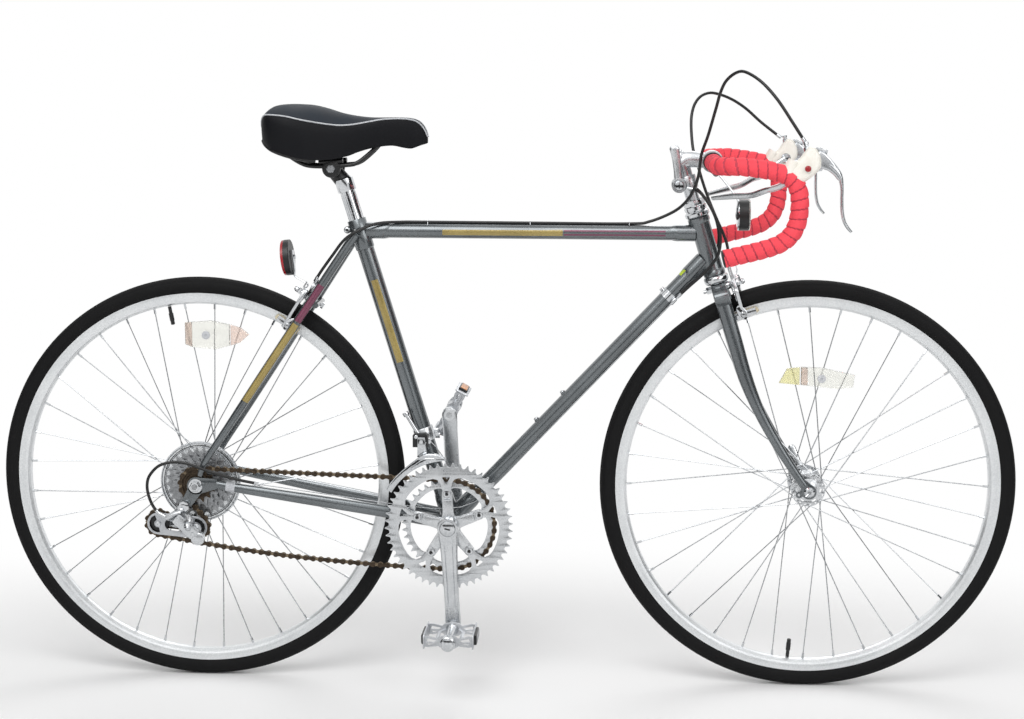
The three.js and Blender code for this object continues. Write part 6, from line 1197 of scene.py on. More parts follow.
def makeLevers(s):
    for hand, side in hands:
        y = barSizes["half"] * side
        flat = plane(barAt(0, y, 0), (1, 0, 0), (0, 0, 1))
        bm = bmesh.new()
        outline = smoothLoop(s["hood"], 4)
        addPlate(bm, outline, [], s["thick"], flat, 7.5)
        # neck ring where the rubber grips the bar
        addTube(bm, [barAt(107, y, -12), barAt(112, y, 0), barAt(117, y, 9)], [(10.4, 12.6)] * 3, 28,
                up=(1, 0, 0.4))
        finishPiece(bm, f"brakeHood{hand}", "steering", skins["hoodRubber"],
                    [f"brake_hood_{hand.lower()}"], sharp=45)
        bm = bmesh.new()
        blade = s["blade"]
        run = smoothPath([barAt(x, y, z) for (x, z), a, b in blade], 5)
        count = len(run) - 1
        addTube(bm, run, taper(count, [b for p, a, b in blade], [a for p, a, b in blade]), 28, up=(0, 1, 0))
        # shallow rib down the outside of the blade
        addTube(bm, [p + vec(1.9, 0, 0.4) for p in run[18:40]], [(1.5, 1.0)] * 22, 12, up=(0, 1, 0))
        addPlate(bm, [(130, -8), (136, 7), (152, 15), (160, 14), (162, 2), (158, -6)], [], 9, flat, 0.8)
        # broad head that carries the blade, with the quick-release cam on top
        head = [(149, 20), (156, 24), (163, 21), (172, 12), (180, 1), (186, -12), (187, -20), (183, -20),
                (177, -13), (168, -6), (160, -3), (151, 2)]
        addPlate(bm, [(q.x, q.y) for q in smoothPath([(*q, 0) for q in head], 3, True)], [], 13, flat, 3)
        addLathe(bm, [(0, 0), (3, 0), (3, 5), (4.2, 5.4), (4.2, 9), (2.4, 9.6), (2.4, 15), (3.6, 15.4),
                      (3.6, 18), (0, 18)],
                 barAt(149, y, 28), (1, 0, -0.3), 20, 1)
        pin = barAt(136, y, -2)
        addLathe(bm, [(0, -15.4), (3, -15.4), (3, 15.4), (0, 15.4)], pin, (0, 1, 0), 20, 1)
        addLathe(bm, [(0, 12.4), (4.6, 12.4), (4.6, 15.4), (0, 15.4)], pin, (0, side, 0), 24, 1)
        addLathe(bm, [(0, 12), (7.8, 12), (8.2, 15.8), (7.4, 17), (5.8, 16.2), (4.8, 16.2), (4.6, 17.2),
                      (0, 17.6)], pin,
                 (0, -side, 0), 36, 1)
        arm = [barAt(x, y - side * inward, z) for x, inward, z in s["safety"]]
        run = smoothPath(arm, 5)
        count = len(run) - 1
        addTube(bm, run, taper(count, [4, 4.2, 4.6, 5, 5, 5, 5.2, 3.4],
                               [3.6, 3.2, 2.8, 2.6, 2.6, 2.6, 2.6, 1.6]), 20)
        finishPiece(bm, f"brakeLever{hand}", f"brake_lever_{hand[0].lower()}",
                    [skins["buffedAluminium"], skins["chromePlate"]],
                    [f"brake_lever_{hand.lower()}"])
        bm = bmesh.new()
        addLathe(bm, [(0, 0), (4.9, 0), (4.7, 1.0), (3, 1.8), (0, 2.0)], barAt(136, y + 15.6 * side, -2),
                 (0, side, 0), 28)
        finishPiece(bm, f"hoodDot{hand}", "steering", skins["redLens"])
        # cable adjuster that stands on the hood and takes the housing
        bm = bmesh.new()
        foot, tip = barAt(136, y - side * 2, 22), barAt(133.4, y - side * 5.8, 37.4)
        way = (tip - foot).normalized()
        addLathe(bm, [(0, 0), (4.6, 0), (4.6, 8), (3.2, 9), (3.2, 12), (4.2, 12.4), (4.2, 16),
                      (3.3, 16.6), (0, 16.6)],
                 foot, way, 24)
        finishPiece(bm, f"cableAdjuster{hand}", "steering", skins["chromePlate"])


makeBars(barSizes)
makeLevers(leverShapes)
print("bars and levers made")

driveSizes = {
    "pitch": 12.7, "innerY": -41, "outerY": -48.5, "innerTeeth": 38, "outerTeeth": 52,
    "cogs": [14, 17, 20, 24, 28], "cogSpacing": 5.3, "cogY": -54.5, "pulleyTeeth": 10,
    "guide": (-515, 274), "tension": (-579.73, 279.95), "slack": 3300, "armAngle": math.radians(92.8),
    "boltCircle": 55, "crankLength": 170, "armInner": 57, "armThick": 13,
}


def polar(radius, angle):
    return (radius * math.cos(angle), radius * math.sin(angle))


def pitchRadius(teeth):
    return driveSizes["pitch"] / (2 * math.sin(math.pi / teeth))


def toothed(teeth, phase, tip=3.2, centre=(0, 0)):
    # worn sprocket teeth: a round valley for the roller between blunt tips
    radius, step, out = pitchRadius(teeth), 2 * math.pi / teeth, []
    for n in range(teeth):
        for share, lift in ((-0.5, -4.1), (-0.36, -3.8), (-0.25, -2.6), (-0.17, -0.4),
                            (-0.05, tip), (0.05, tip), (0.17, -0.4), (0.25, -2.6), (0.36, -3.8)):
            x, y = polar(radius + lift, phase + (n + share) * step)
            out.append((x + centre[0], y + centre[1]))
    return out


def chainPins(s):
    # the chain runs small ring, small cog, guide pulley, tension pulley, and hangs back to the ring
    rounds = [(bracket.x, bracket.z, s["innerTeeth"], 1), (rearAxle.x, rearAxle.z, s["cogs"][0], 1),
              (*s["guide"], s["pulleyTeeth"], -1), (*s["tension"], s["pulleyTeeth"], 1)]
    turns = []
    for (ax, az, at, sa), (bx, bz, bt, sb) in zip(rounds, rounds[1:]):
        offset = (sa * pitchRadius(at) - sb * pitchRadius(bt)) / math.hypot(bx - ax, bz - az)
        turns.append(math.atan2(bz - az, bx - ax) + math.asin(offset))
    (rx, rz, rt, _), (tx, tz, tt, _) = rounds[0], rounds[3]
    span = math.hypot(rx - tx, rz - tz)
    fromTension, fromRing = s["slack"] - pitchRadius(tt), s["slack"] - pitchRadius(rt)
    foot = (fromTension ** 2 - fromRing ** 2 + span ** 2) / (2 * span)
    rise = math.sqrt(fromTension ** 2 - foot ** 2)
    way = math.atan2(rz - tz, rx - tx)
    hub = (tx + foot * math.cos(way) - rise * math.sin(way),
           tz + foot * math.sin(way) + rise * math.cos(way))
    slackFrom = math.atan2(tz - hub[1], tx - hub[0])
    slackTo = math.atan2(rz - hub[1], rx - hub[0])
    enter = [slackTo + math.pi / 2, *turns]
    leave = [*turns, slackFrom + math.pi / 2]
    stretches = []
    for i, (x, z, teeth, sense) in enumerate(rounds):
        radius, start = pitchRadius(teeth), enter[i] - sense * math.pi / 2
        sweep = ((leave[i] - enter[i]) * sense) % (2 * math.pi)
        stretches.append((sweep * teeth / (2 * math.pi), i,
                          lambda t, x=x, z=z, r=radius, a=start, w=sense * sweep:
                          (x + r * math.cos(a + w * t), z + r * math.sin(a + w * t))))
        if i < 3:
            nx, nz, nt, ns = rounds[i + 1]
            turn = leave[i] - math.pi / 2
            a = (x + sense * radius * math.cos(turn), z + sense * radius * math.sin(turn))
            b = (nx + ns * pitchRadius(nt) * math.cos(turn), nz + ns * pitchRadius(nt) * math.sin(turn))
            stretches.append((math.dist(a, b) / s["pitch"], None, lambda t, a=a, b=b:
                              (a[0] + (b[0] - a[0]) * t, a[1] + (b[1] - a[1]) * t)))
    stretches.append(((slackTo - slackFrom) * s["slack"] / s["pitch"], None, lambda t:
                      (hub[0] + s["slack"] * math.cos(slackFrom + (slackTo - slackFrom) * t),
                       hub[1] + s["slack"] * math.sin(slackFrom + (slackTo - slackFrom) * t))))
    pins, before = [], 0
    for links, wheel, place in stretches:
        for n in range(math.ceil(before - 1e-6), math.ceil(before + links - 1e-6)):
            x, z = place((n - before) / links)
            share = max(0, min(1, (bracket.x - x) / (bracket.x - rearAxle.x)))
            ease = share * share * (3 - 2 * share)
            pins.append((vec(x, s["innerY"] + (s["cogY"] - s["innerY"]) * ease, z), wheel))
        before += links
    return pins[:2 * (len(pins) // 2)], rounds


def firstTooth(pins, rounds, wheel):
    x, z, teeth, _ = rounds[wheel]
    own = [p for p, w in pins if w == wheel]
    pin = own[len(own) // 2]
    return math.atan2(pin.z - z, pin.x - x) + math.pi / teeth


def makeLinkTree():
    tree, given, result = newTree("chainLinks", [
        ("Narrow link", "NodeSocketObject"), ("Wide link", "NodeSocketObject"),
        ("Narrow finish", "NodeSocketMaterial"), ("Wide finish", "NodeSocketMaterial")])
    index = addNode(tree, "GeometryNodeInputIndex")
    odd = addNode(tree, "ShaderNodeMath", {1: 2.0}, {0: index.outputs[0]}, operation="MODULO")
    even = addNode(tree, "FunctionNodeCompare", {"B": 0.5}, {"A": odd.outputs[0]}, operation="LESS_THAN")
    wide = addNode(tree, "FunctionNodeBooleanMath", links={0: even.outputs[0]}, operation="NOT")
    turn = addNode(tree, "GeometryNodeInputNamedAttribute", {"Name": "turn"}, data_type="FLOAT_VECTOR")
    turn = addNode(tree, "FunctionNodeEulerToRotation", links={"Euler": turn.outputs[0]})
    both = addNode(tree, "GeometryNodeJoinGeometry")
    for label, finish, chosen in (("Narrow link", "Narrow finish", even),
                                  ("Wide link", "Wide finish", wide)):
        shape = addNode(tree, "GeometryNodeObjectInfo", links={"Object": given[label]})
        copies = addNode(tree, "GeometryNodeInstanceOnPoints",
                         links={"Points": given["Geometry"], "Selection": chosen.outputs[0],
                                "Instance": shape.outputs["Geometry"], "Rotation": turn.outputs[0]})
        plain = addNode(tree, "GeometryNodeRealizeInstances", links={"Geometry": copies.outputs[0]})
        plain = addNode(tree, "GeometryNodeSetMaterial", links={"Geometry": plain.outputs[0],
                                                                "Material": given[finish]})
        tree.links.new(plain.outputs[0], both.inputs[0])
    tree.links.new(both.outputs[0], result)
    return tree


def makeChain(s, pins):
    shapes = []
    waist = [(-10.4, 1.6), (-9.6, 3.2), (-8, 4.1), (-6.35, 4.3), (-4.6, 4.0), (-2.6, 2.7), (0, 2.1)]
    waist = waist + [(-x, z) for x, z in waist[:-1][::-1]]
    outline = [(x, z) for x, z in waist] + [(x, -z) for x, z in waist[::-1]]
    for name, y, rods in (("narrowLink", 2.2, (3.9, 1.6)), ("wideLink", 3.3, (1.75, 4.3))):
        bm = bmesh.new()
        for face in (-1, 1):
            addPlate(bm, outline, [], 1.0, sidePlane(y * face), 0.2)
        for x in (-6.35, 6.35):
            addLathe(bm, [(0, -rods[1]), (rods[0], -rods[1]), (rods[0], rods[1]), (0, rods[1])], (x, 0, 0),
                     (0, 1, 0), 12)
        bmesh.ops.recalc_face_normals(bm, faces=bm.faces)
        bmesh.ops.scale(bm, vec=(mm, mm, mm), verts=bm.verts)
        mesh = bpy.data.meshes.new(name)
        bm.to_mesh(mesh)
        bm.free()
        shapes.append(bpy.data.objects.new(name, mesh))
        bpy.context.scene.collection.objects.link(shapes[-1])
    points = bpy.data.meshes.new("links")
    spots, turns = [], []
    for (a, _), (b, _) in zip(pins, pins[1:] + pins[:1]):
        way = (b - a).normalized()
        up = vec(0, 1, 0).cross(way).normalized() * -1
        across = up.cross(way)
        spots.append(tuple((a + b) / 2 * mm))
        turns.extend(Matrix((way, across, up)).transposed().to_euler("XYZ"))
    points.from_pydata(spots, [], [])
    points.attributes.new("turn", "FLOAT_VECTOR", "POINT").data.foreach_set("vector", turns)
    # the narrow links take the lighter copy of the chain steel, a painted highlight; the wide links take the
    # oiled steel
    mesh = bakeTree(makeLinkTree(), points, {"Narrow link": shapes[0], "Wide link": shapes[1],
                                             "Narrow finish": skins["highlitChainSteel"],
                                             "Wide finish": skins["oilAndShadeSteel"]})
    for shape in shapes:
        bpy.data.objects.remove(shape)
    settle(mesh, "chainLinks", "frame", [], ["chain"])


def ringWindow(s, inside, tabHalf, flare):
    # the opening of a chainring: five lobes between the tabs that reach in to the bolts
    out, fifth = [], 2 * math.pi / 5
    for n in range(5):
        angle = s["armAngle"] + n * fifth
        for k in range(9):
            t = math.radians(-125 + 250 * k / 8)
            x, y = s["boltCircle"] - tabHalf * math.cos(t), tabHalf * math.sin(t)
            out.append((math.hypot(x, y), angle + math.atan2(y, x)))
        for share, lift in ((1.0, 0.45), (1.25, 0.66), (1.75, 0.85), (2.6, 0.965)):
            radius = s["boltCircle"] + (inside - s["boltCircle"]) * lift
            out.append((radius, angle + math.asin(tabHalf * share * flare / radius)))
        edge = math.asin(tabHalf * 3.6 * flare / inside)
        for k in range(13):
            out.append((inside, angle + edge + (fifth - 2 * edge) * k / 12))
        for share, lift in ((2.6, 0.965), (1.75, 0.85), (1.25, 0.66), (1.0, 0.45)):
            radius = s["boltCircle"] + (inside - s["boltCircle"]) * lift
            out.append((radius, angle + fifth - math.asin(tabHalf * share * flare / radius)))
    return [polar(r, a) for r, a in out]


def addArm(bm, stations, material=0):
    # forged arm: (centre, half width, half depth, groove) at each station, with a groove down its outer face
    section = [(-0.98, 0.5), (-0.86, 0.86), (-0.66, 1), (-0.52, 1), (-0.42, 0.7), (-0.2, 0.62), (0.2, 0.62),
               (0.42, 0.7), (0.52, 1), (0.66, 1), (0.86, 0.86), (0.98, 0.5), (1, -0.5),
               (0.86, -0.86), (0.6, -1), (-0.6, -1), (-0.86, -0.86), (-1, -0.5)]
    rings = []
    for centre, wide, outward, half, depth, groove in stations:
        ring = []
        for u, v in section:
            if 0.6 < v < 0.99 and abs(u) < 0.5:
                v = 1 - (1 - v) * groove
            ring.append(bm.verts.new(centre + wide * (u * half) + outward * (v * depth)))
        rings.append(ring)
    ringFaces(bm, rings, material, False)


def makeCrankset(s, pins, rounds):
    alloy, chrome, dark = skins["buffedAluminium"], skins["chromePlate"], skins["darkHole"]
    fifth = 2 * math.pi / 5
    angles = [s["armAngle"] + n * fifth for n in range(5)]
    at = Matrix.Translation(vec(bracket.x, 0, bracket.z))
    bm = bmesh.new()
    notch = [(73, -0.012), (71.6, 0), (73, 0.012), (83.4, 0.082), (84.4, 0.06), (84.4, -0.06),
             (83.4, -0.082)]
    notches = [[polar(r, a + d) for r, d in notch] for a in angles]
    addPlate(bm, toothed(s["outerTeeth"], s["armAngle"]), [ringWindow(s, 85.5, 8.4, 1.0), *notches], 2.4,
             at @ sidePlane(s["outerY"]), 0.35)
    addPlate(bm, toothed(s["innerTeeth"], firstTooth(pins, rounds, 0), 3.0), [ringWindow(s, 65.5, 7.6, 0.8)],
             2.2, at @ sidePlane(s["innerY"]), 0.3)
    for a in angles:
        x, z = polar(s["boltCircle"], a)
        place = vec(bracket.x + x, 0, bracket.z + z)
        addLathe(bm, [(0, -40), (3.8, -40), (3.8, -49.4), (6.6, -49.6), (6.8, -50.4), (6.0, -51.3),
                      (3.2, -51.6), (2.7, -50.2), (0, -50.2)], place, (0, 1, 0), 28, 1)
        # a near-black disc in each bolt's socket: painted shade
        addLathe(bm, [(0, -50.25), (2.5, -50.25), (2.4, -50.6), (0, -50.6)], place, (0, 1, 0), 20, 2)
    finishPiece(bm, "chainringPair", "crankset", [alloy, chrome, dark], ["chainrings"], sharp=30)

    # right crank: spider, arm, boss under a dust cap
    bm = bmesh.new()
    reach = s["boltCircle"]
    leg = [(19, -0.62), (24, -0.40), (34, -0.275), (reach - 7, -0.185), (reach + 3, -0.145),
           (reach + 8, -0.07), (reach + 8, 0.07), (reach + 3, 0.145), (reach - 7, 0.185),
           (34, 0.275), (24, 0.40)]
    star = [polar(r, a + d) for a in angles for r, d in leg]
    addPlate(bm, star, [], 5.2, at @ sidePlane((s["innerY"] + s["outerY"]) / 2), 0.6)
    ridge = [(17, -0.6), (28, -0.31), (44, -0.19), (46.5, -0.12), (46.5, 0.12), (44, 0.19), (28, 0.31)]
    raised = [polar(r, a + d) for a in angles for r, d in ridge]
    addPlate(bm, raised, [], 5.6, at @ sidePlane(-50.4), 1.6)
    axle = vec(bracket.x, 0, bracket.z)
    addLathe(bm, [(0, -35.5), (16, -35.5), (17.5, -46), (18.5, -54), (17.6, -68), (16.4, -70.4),
                  (13.6, -70.6), (13.6, -68.5), (0, -68.5)], axle, (0, 1, 0), 56)
    addLathe(bm, [(0, -68), (13.2, -68), (13.4, -70.2), (12.2, -72.2), (8, -73.4), (0, -73.8)],
             axle, (0, 1, 0), 44, 1)
    # a near-black bar across the dust cap for its slot: painted shade
    addTube(bm, [axle + vec(-4.6, -73.0, 1.2), axle + vec(4.6, -73.0, -1.2)], [(1.5, 1.5)] * 2, 12, 2)
    for hand, side, turned in (("Right", -1, math.pi), ("Left", 1, 0)):
        angle = s["armAngle"] + turned
        way, wide = vec(math.cos(angle), 0, math.sin(angle)), vec(-math.sin(angle), 0, math.cos(angle))
        outward = vec(0, side, 0)
        if hand == "Left":
            bm = bmesh.new()
            addLathe(bm, [(0, 34.5), (16, 34.5), (16.6, 50), (17.6, 66), (16.4, 70.4), (13.6, 70.6),
                          (13.6, 68.5), (0, 68.5)], axle, (0, 1, 0), 56)
            addLathe(bm, [(0, 68), (13.2, 68), (13.4, 70.2), (12.2, 72.2), (0, 73.6)], axle,
                     (0, 1, 0), 44, 1)
            addLathe(bm, [(0, -63), (7.6, -63), (8.4, 57), (0, 57)], axle, (0, 1, 0), 32, 1)
        middle = side * (s["armInner"] + s["armThick"] / 2)
        rows = [(0, 16.4, 6.5, 0), (10, 16.6, 6.5, 0), (22, 15.4, 6.5, 0.2), (32, 14.6, 6.4, 1),
                (60, 13.4, 6.2, 1), (95, 12.5, 6, 1), (125, 12.3, 6, 1), (142, 12.4, 6.1, 0.8),
                (150, 12.8, 6.3, 0.1), (162, 13.2, 6.5, 0), (172, 12.8, 6.5, 0), (179, 10.2, 6.2, 0),
                (182.6, 5.6, 5.8, 0)]
        addArm(bm, [(axle + vec(0, middle, 0) + way * r, wide, outward, half, depth, groove)
                    for r, half, depth, groove in rows])
        eye = axle + way * s["crankLength"]
        addLathe(bm, [(0, 57.2), (9.4, 57.2), (9.4, 56.2), (5.2, 56.2), (5.2, 57.6), (0, 57.6)], eye,
                 outward, 32, 1)
        addLathe(bm, [(0, 69.5), (10.4, 69.5), (10.4, 70.8), (7.6, 71), (6.6, 72), (0, 72)], eye,
                 outward, 32, 1)
        addLathe(bm, [(0, 70), (6.2, 70), (6.2, 73.6), (5, 73.8), (5, 150), (0, 150)], eye, outward, 24, 1)
        finishPiece(bm, f"crank{hand}", "crankset", [alloy, chrome, dark],
                    [f"crank_{hand.lower()}"], sharp=32)


pedalSizes = {"length": 84, "start": 72.6, "tilt": {"Right": 0, "Left": math.radians(61)}}


def makePedals(s, d):
    alloy, chrome, dark = skins["satinAluminium"], skins["chromePlate"], skins["blackPlastic"]
    for hand, side, turned in (("Right", -1, math.pi), ("Left", 1, 0)):
        angle = d["armAngle"] + turned
        origin = vec(bracket.x + d["crankLength"] * math.cos(angle), 0,
                     bracket.z + d["crankLength"] * math.sin(angle))
        tilt = s["tilt"][hand]
        fore, up = vec(math.cos(tilt), 0, math.sin(tilt)), vec(-math.sin(tilt), 0, math.cos(tilt))
        out = vec(0, side, 0)

        def spot(x, y, z):
            return origin + fore * x + out * (s["start"] + y) + up * z

        bm = bmesh.new()
        addLathe(bm, [(0, 6), (5.4, 6), (5.4, 1), (9.6, 0.6), (11.4, 2), (11.6, 9), (9.2, 12),
                      (8.2, 18), (7.8, 44), (8.2, 66), (9.6, 74), (12, 78), (12.8, 88), (12.4, 94),
                      (11.4, 95.2), (10.2, 95.6), (9.4, 97.2), (6, 98.2), (0, 98.6)],
                 spot(0, 0, 0), out, 44, 1)
        half = s["length"] / 2
        # front and back plates with gripping teeth and two slots, and a lens on each
        teeth = []
        for k in range(11):
            y = 8 + 7.2 * k
            teeth += [(y - 2.4, 12), (y - 1.6, 9.4), (y + 1.6, 9.4), (y + 2.4, 12)]
        plate = [(3.5, -8.5), (3.5, 8.5), *teeth, (84.5, 8.5), (84.5, -8.5),
                 *[(y, -z) for y, z in teeth[::-1]]]
        slots = [[(y, -4.6), (y, 4.6), (y + 5, 4.6), (y + 5, -4.6)] for y in (12, 71)]
        for end in (-1, 1):
            flat = plane(spot(end * (half - 1.6), 0, 0), out, up)
            addPlate(bm, plate, slots, 2.0, flat, 0.4)
            flat = plane(spot(end * (half + 1.4), 0, 0), out, up)
            addPlate(bm, [(20, -8), (20, 8), (68, 8), (68, -8)], [], 4.6, flat, 1.0, 2)
            flat = plane(spot(end * (half + 3.8), 0, 0), out, up)
            addPlate(bm, [(22, -6), (22, 6), (66, 6), (66, -6)], [], 1.4, flat, 0.3, 3)
        # end plates: bow shape round the barrel, with ribs and openings
        bow = [(-41, -8), (-41, 9), (-33, 10), (-17, 6), (-11, 10.6), (0, 12.6), (11, 10.6),
               (17, 6), (33, 10), (41, 9), (41, -8), (33, -9), (17, -7), (10, -11), (0, -12.4), (-10, -11),
               (-17, -7), (-33, -9)]
        leaves = ([(18, 2.2), (34, 5.6), (36, 0.8), (24, -0.4)],
                  [(18, -3), (24, -3.2), (35, -3.4), (33, -5.4)])
        openings = [[(x * e, z) for x, z in leaf] for leaf in leaves for e in (-1, 1)]
        for y in (8.6, 79.6):
            addPlate(bm, bow, openings, 2.6, plane(spot(0, y, 0), fore, up), 0.5)
        for e in (-1, 1):
            addTube(bm, [spot(e * 11, 9, 0), spot(e * 20, 24, 0), spot(e * 20, 64, 0), spot(e * 11, 79, 0)],
                    [(1.2, 3.2)] * 4, 10, up=up)
        lens = skins["amberLens" if hand == "Left" else "zincSteel"]
        finishPiece(bm, f"pedal{hand}", f"pedal_{hand[0].lower()}", [alloy, chrome, dark, lens],
                    [f"pedal_{hand.lower()}"], sharp=32)


def makeFreewheel(s, pins, rounds):
    steel, dark = skins["zincSteel"], skins["oilAndShadeSteel"]
    bm = bmesh.new()
    at = Matrix.Translation(vec(rearAxle.x, 0, rearAxle.z))
    for n, teeth in enumerate(s["cogs"]):
        phase = firstTooth(pins, rounds, 1) if n == 0 else 0.3 * n
        ring = pitchRadius(teeth) - 8
        holes = [circle(19.5, 40)]
        if n > 1:
            count = 6 + 2 * n
            holes += [circle(min(4.2, (ring - 22) / 2.6), 16,
                             polar((ring + 21) / 2, 0.4 + 2 * math.pi * k / count))
                      for k in range(count)]
        addPlate(bm, toothed(teeth, phase, 3.0), holes, 2,
                 at @ sidePlane(s["cogY"] + n * s["cogSpacing"]), 0.3, 1 if n == 0 else 0)
    last = s["cogY"] + 4 * s["cogSpacing"]
    axle = vec(rearAxle.x, 0, rearAxle.z)
    addLathe(bm, [(17, last + 2), (21, last + 2), (21, s["cogY"] - 0.6), (19.4, s["cogY"] - 2.2),
                  (17, s["cogY"] - 2.2)],
             axle, (0, 1, 0), 48, 1, closed=True)
    addLathe(bm, [(8, s["cogY"] - 1.6), (17.2, s["cogY"] - 1.6), (17.2, last), (8, last)], axle,
             (0, 1, 0), 40, 1, closed=True)
    finishPiece(bm, "freewheelCogs", "cogs", [steel, dark], ["freewheel"], sharp=30)


def makeDerailleurs(s, pins, rounds):
    alloy, chrome, black = skins["buffedAluminium"], skins["chromePlate"], skins["blackPlastic"]
    satin = skins["satinAluminium"]
    # rear: hanger bolt with its stop, and the upper knuckle
    bm = bmesh.new()
    hanger = vec(-532, 0, 312)
    addLathe(bm, [(0, -60), (3.8, -60), (3.8, -66.5), (9.6, -66.6), (10.2, -68), (10.2, -76), (9.2, -77.4),
                  (6.4, -78.4), (3.4, -78.4), (3, -75.4), (0, -75.4)], hanger, (0, 1, 0), 40, 1)
    foot = vec(-546, -74, 284)
    axis = vec(0, 0.602427, 0.798174)
    eye = foot + axis * 5.4
    addTube(bm, smoothPath([hanger + vec(-2, -72, -2), hanger + vec(-10, -73, -7),
                            eye + axis * 7 + vec(2, 0, 2), eye + axis * 3], 5),
            taper(15, [9, 8.6, 8, 7.4], [5.4, 6, 6.6, 6.4]), 24,
            up=(1, 0, 0.4))
    addLathe(bm, [(0, 5.2), (6.8, 5.2), (7, 6), (7, 12.6), (6.4, 13.4), (3, 13.6), (0, 13.4)],
             foot, axis, 32)
    addLathe(bm, [(0, -5), (2.5, -5), (2.5, 6.4), (0, 6.4)], foot, axis, 20, 1)
    addTube(bm, [vec(-534, -82.5, 306), vec(-545, -83.5, 303), vec(-559, -84, 296)],
            [(6.6, 4.6), (7.6, 5), (6.4, 4.4)], 24, up=(0, 1, 0))
    # barrel adjuster that takes the end of the housing
    addRod(bm, (-556, -75.5, 292), (-574.5, -75.1, 301.5), 4, 3.4, 20, 1)
    addTube(bm, [eye + axis * 5, vec(-556, -75.4, 292)], [(4.6, 5.2), (4.4, 4.8)], 20)
    finishPiece(bm, "derailleurBody", "frame", [alloy, chrome], ["rear_derailleur_body"], sharp=32)

    bm = bmesh.new()
    head = vec(-521.35, -84.6, 292)
    for centre in (foot, head):
        addLathe(bm, [(2.9, -5), (6.7, -5), (7, -4.4), (7, 4.4), (6.7, 5), (2.9, 5)], centre, axis,
                 32, closed=True)
    across = axis.cross((head - foot).normalized())
    for lift in (-3.4, 3.4):
        addTube(bm, [foot + axis * lift + (head - foot) * 0.1, foot + axis * lift + (head - foot) * 0.9],
                [(1.3, 5.4)] * 2, 16, up=axis)
    addPlate(bm, [(-6, -7), (-6, 7), (34, 7), (34, -7)], [[(6, -3), (6, 3), (22, 3), (22, -3)]], 2.4,
             plane(foot - across * 7.4, (head - foot), axis), 0.8)
    addPlate(bm, [(0, -8), (2.5, -9.5), (41.5, -9.5), (44, -8), (44, 8), (41.5, 9.5), (2.5, 9.5), (0, 8)],
             [], 3, plane(vec(-542, -91.5, 298), vec(30, 0, -29).normalized(), vec(29, 0, 30).normalized()),
             1)
    for reach in (4, 40):
        at = vec(-542, 0, 298) + vec(30, 0, -29).normalized() * reach
        addLathe(bm, [(0, -82), (3.4, -82), (3.4, -94), (0, -94.4)], at, (0, 1, 0), 20, 1)
    finishPiece(bm, "derailleurLink", "derailleur_link", [alloy, chrome],
                ["rear_derailleur_link"], sharp=32)

    guide, tension = s["guide"], s["tension"]
    bm = bmesh.new()
    addLathe(bm, [(0, -60.9), (9.4, -60.9), (10.4, -62), (10.6, -69), (9.6, -71), (5.8, -72.4), (3, -72.4),
                  (2.8, -70.6), (0, -70.6)], vec(guide[0], 0, guide[1]), (0, 1, 0), 40)
    lower = head - axis * 9.4
    addTube(bm, smoothPath([vec(guide[0] + 1, -66, guide[1] - 3), vec(guide[0] + 1, -73, guide[1] - 1),
                            lower - axis * 2, lower + axis * 2], 5),
            taper(15, [8.4, 8, 7, 5.6], [7, 6.6, 6, 5.2]), 24)
    addLathe(bm, [(0, -13.4), (6.4, -13.4), (7, -12.6), (7, -6), (6.7, -5.4), (0, -5.4)], head, axis, 32)
    addLathe(bm, [(0, -6), (2.5, -6), (2.5, 6.2), (4.6, 6.3), (4.4, 7.6), (0, 7.8)], head, axis, 24, 1)
    addLathe(bm, [(0, -92), (8.4, -92), (11, -90.6), (11.8, -88), (11.8, -83), (10.4, -81), (0, -80)],
             (-506, 0, 262), (0, 1, 0), 40)
    finishPiece(bm, "derailleurKnuckle", "derailleur_knuckle", [alloy, chrome],
                ["rear_derailleur_knuckle"], sharp=32)

    bm = bmesh.new()
    for face in (-1, 1):
        wide, big, small = (19, 15.4, 7) if face < 0 else (9.5, 9.2, 5.4)
        outline = roundLink(guide, tension, wide, wide, 18)
        # a curved window round each pulley and a long one between them, in the outer plate only
        windowTop, windowFoot = (guide[0] - 21, guide[1] + 1.6), (tension[0] + 21, tension[1] - 1.2)
        windows = [roundLink(windowTop, windowFoot, 10, 10, 8)]
        for (x, z), turned in ((tension, 180), (guide, 0)):
            opening = []
            for k, angle in enumerate((-70, -40, -10, 20, 50, 80, 100, 100, 60, 20, -20, -70)):
                dx, dz = polar(big if k < 7 else small, math.radians(angle + turned))
                opening.append((x + dx, z + dz))
            windows.insert(0, opening)
        # the inner plate takes the dark oiled steel: painted shade for the shadowed inside of the cage, on
        # steel that is oily too
        addPlate(bm, outline, windows if face < 0 else [], 1.4, sidePlane(s["cogY"] + face * 5.3), 0.3,
                 0 if face < 0 else 2)
    for x, z in (guide, tension):
        addLathe(bm, [(0, -5.6), (2.9, -5.6), (2.9, 5.6), (0, 5.6)], (x, s["cogY"], z), (0, 1, 0), 20, 1)
        bolt(bm, (x, s["cogY"] + 5.8, z), (0, 1, 0), 4, 2.2, 1, 6)
    bolt(bm, (tension[0], s["cogY"] - 5.8, tension[1]), (0, -1, 0), 4.6, 3, 1, 24, 2)
    finishPiece(bm, "derailleurCage", "derailleur_cage", [satin, chrome, skins["oilAndShadeSteel"]],
                ["rear_derailleur_cage"], sharp=32)
    cageWheels = (("guidePulley", "upper_pulley", 2, "guide_pulley", guide),
                  ("tensionPulley", "lower_pulley", 3, "tension_pulley", tension))
    for name, body, wheel, node, (x, z) in cageWheels:
        bm = bmesh.new()
        at = Matrix.Translation(vec(x, 0, z))
        addPlate(bm, toothed(s["pulleyTeeth"], firstTooth(pins, rounds, wheel), 2.8), [circle(3.6, 24)], 2.2,
                 at @ sidePlane(s["cogY"]), 0.35)
        addLathe(bm, [(3.5, -4.2), (7.6, -4.2), (8, -3.6), (8, 3.6), (7.6, 4.2), (3.5, 4.2)],
                 (x, s["cogY"], z), (0, 1, 0), 32, closed=True)
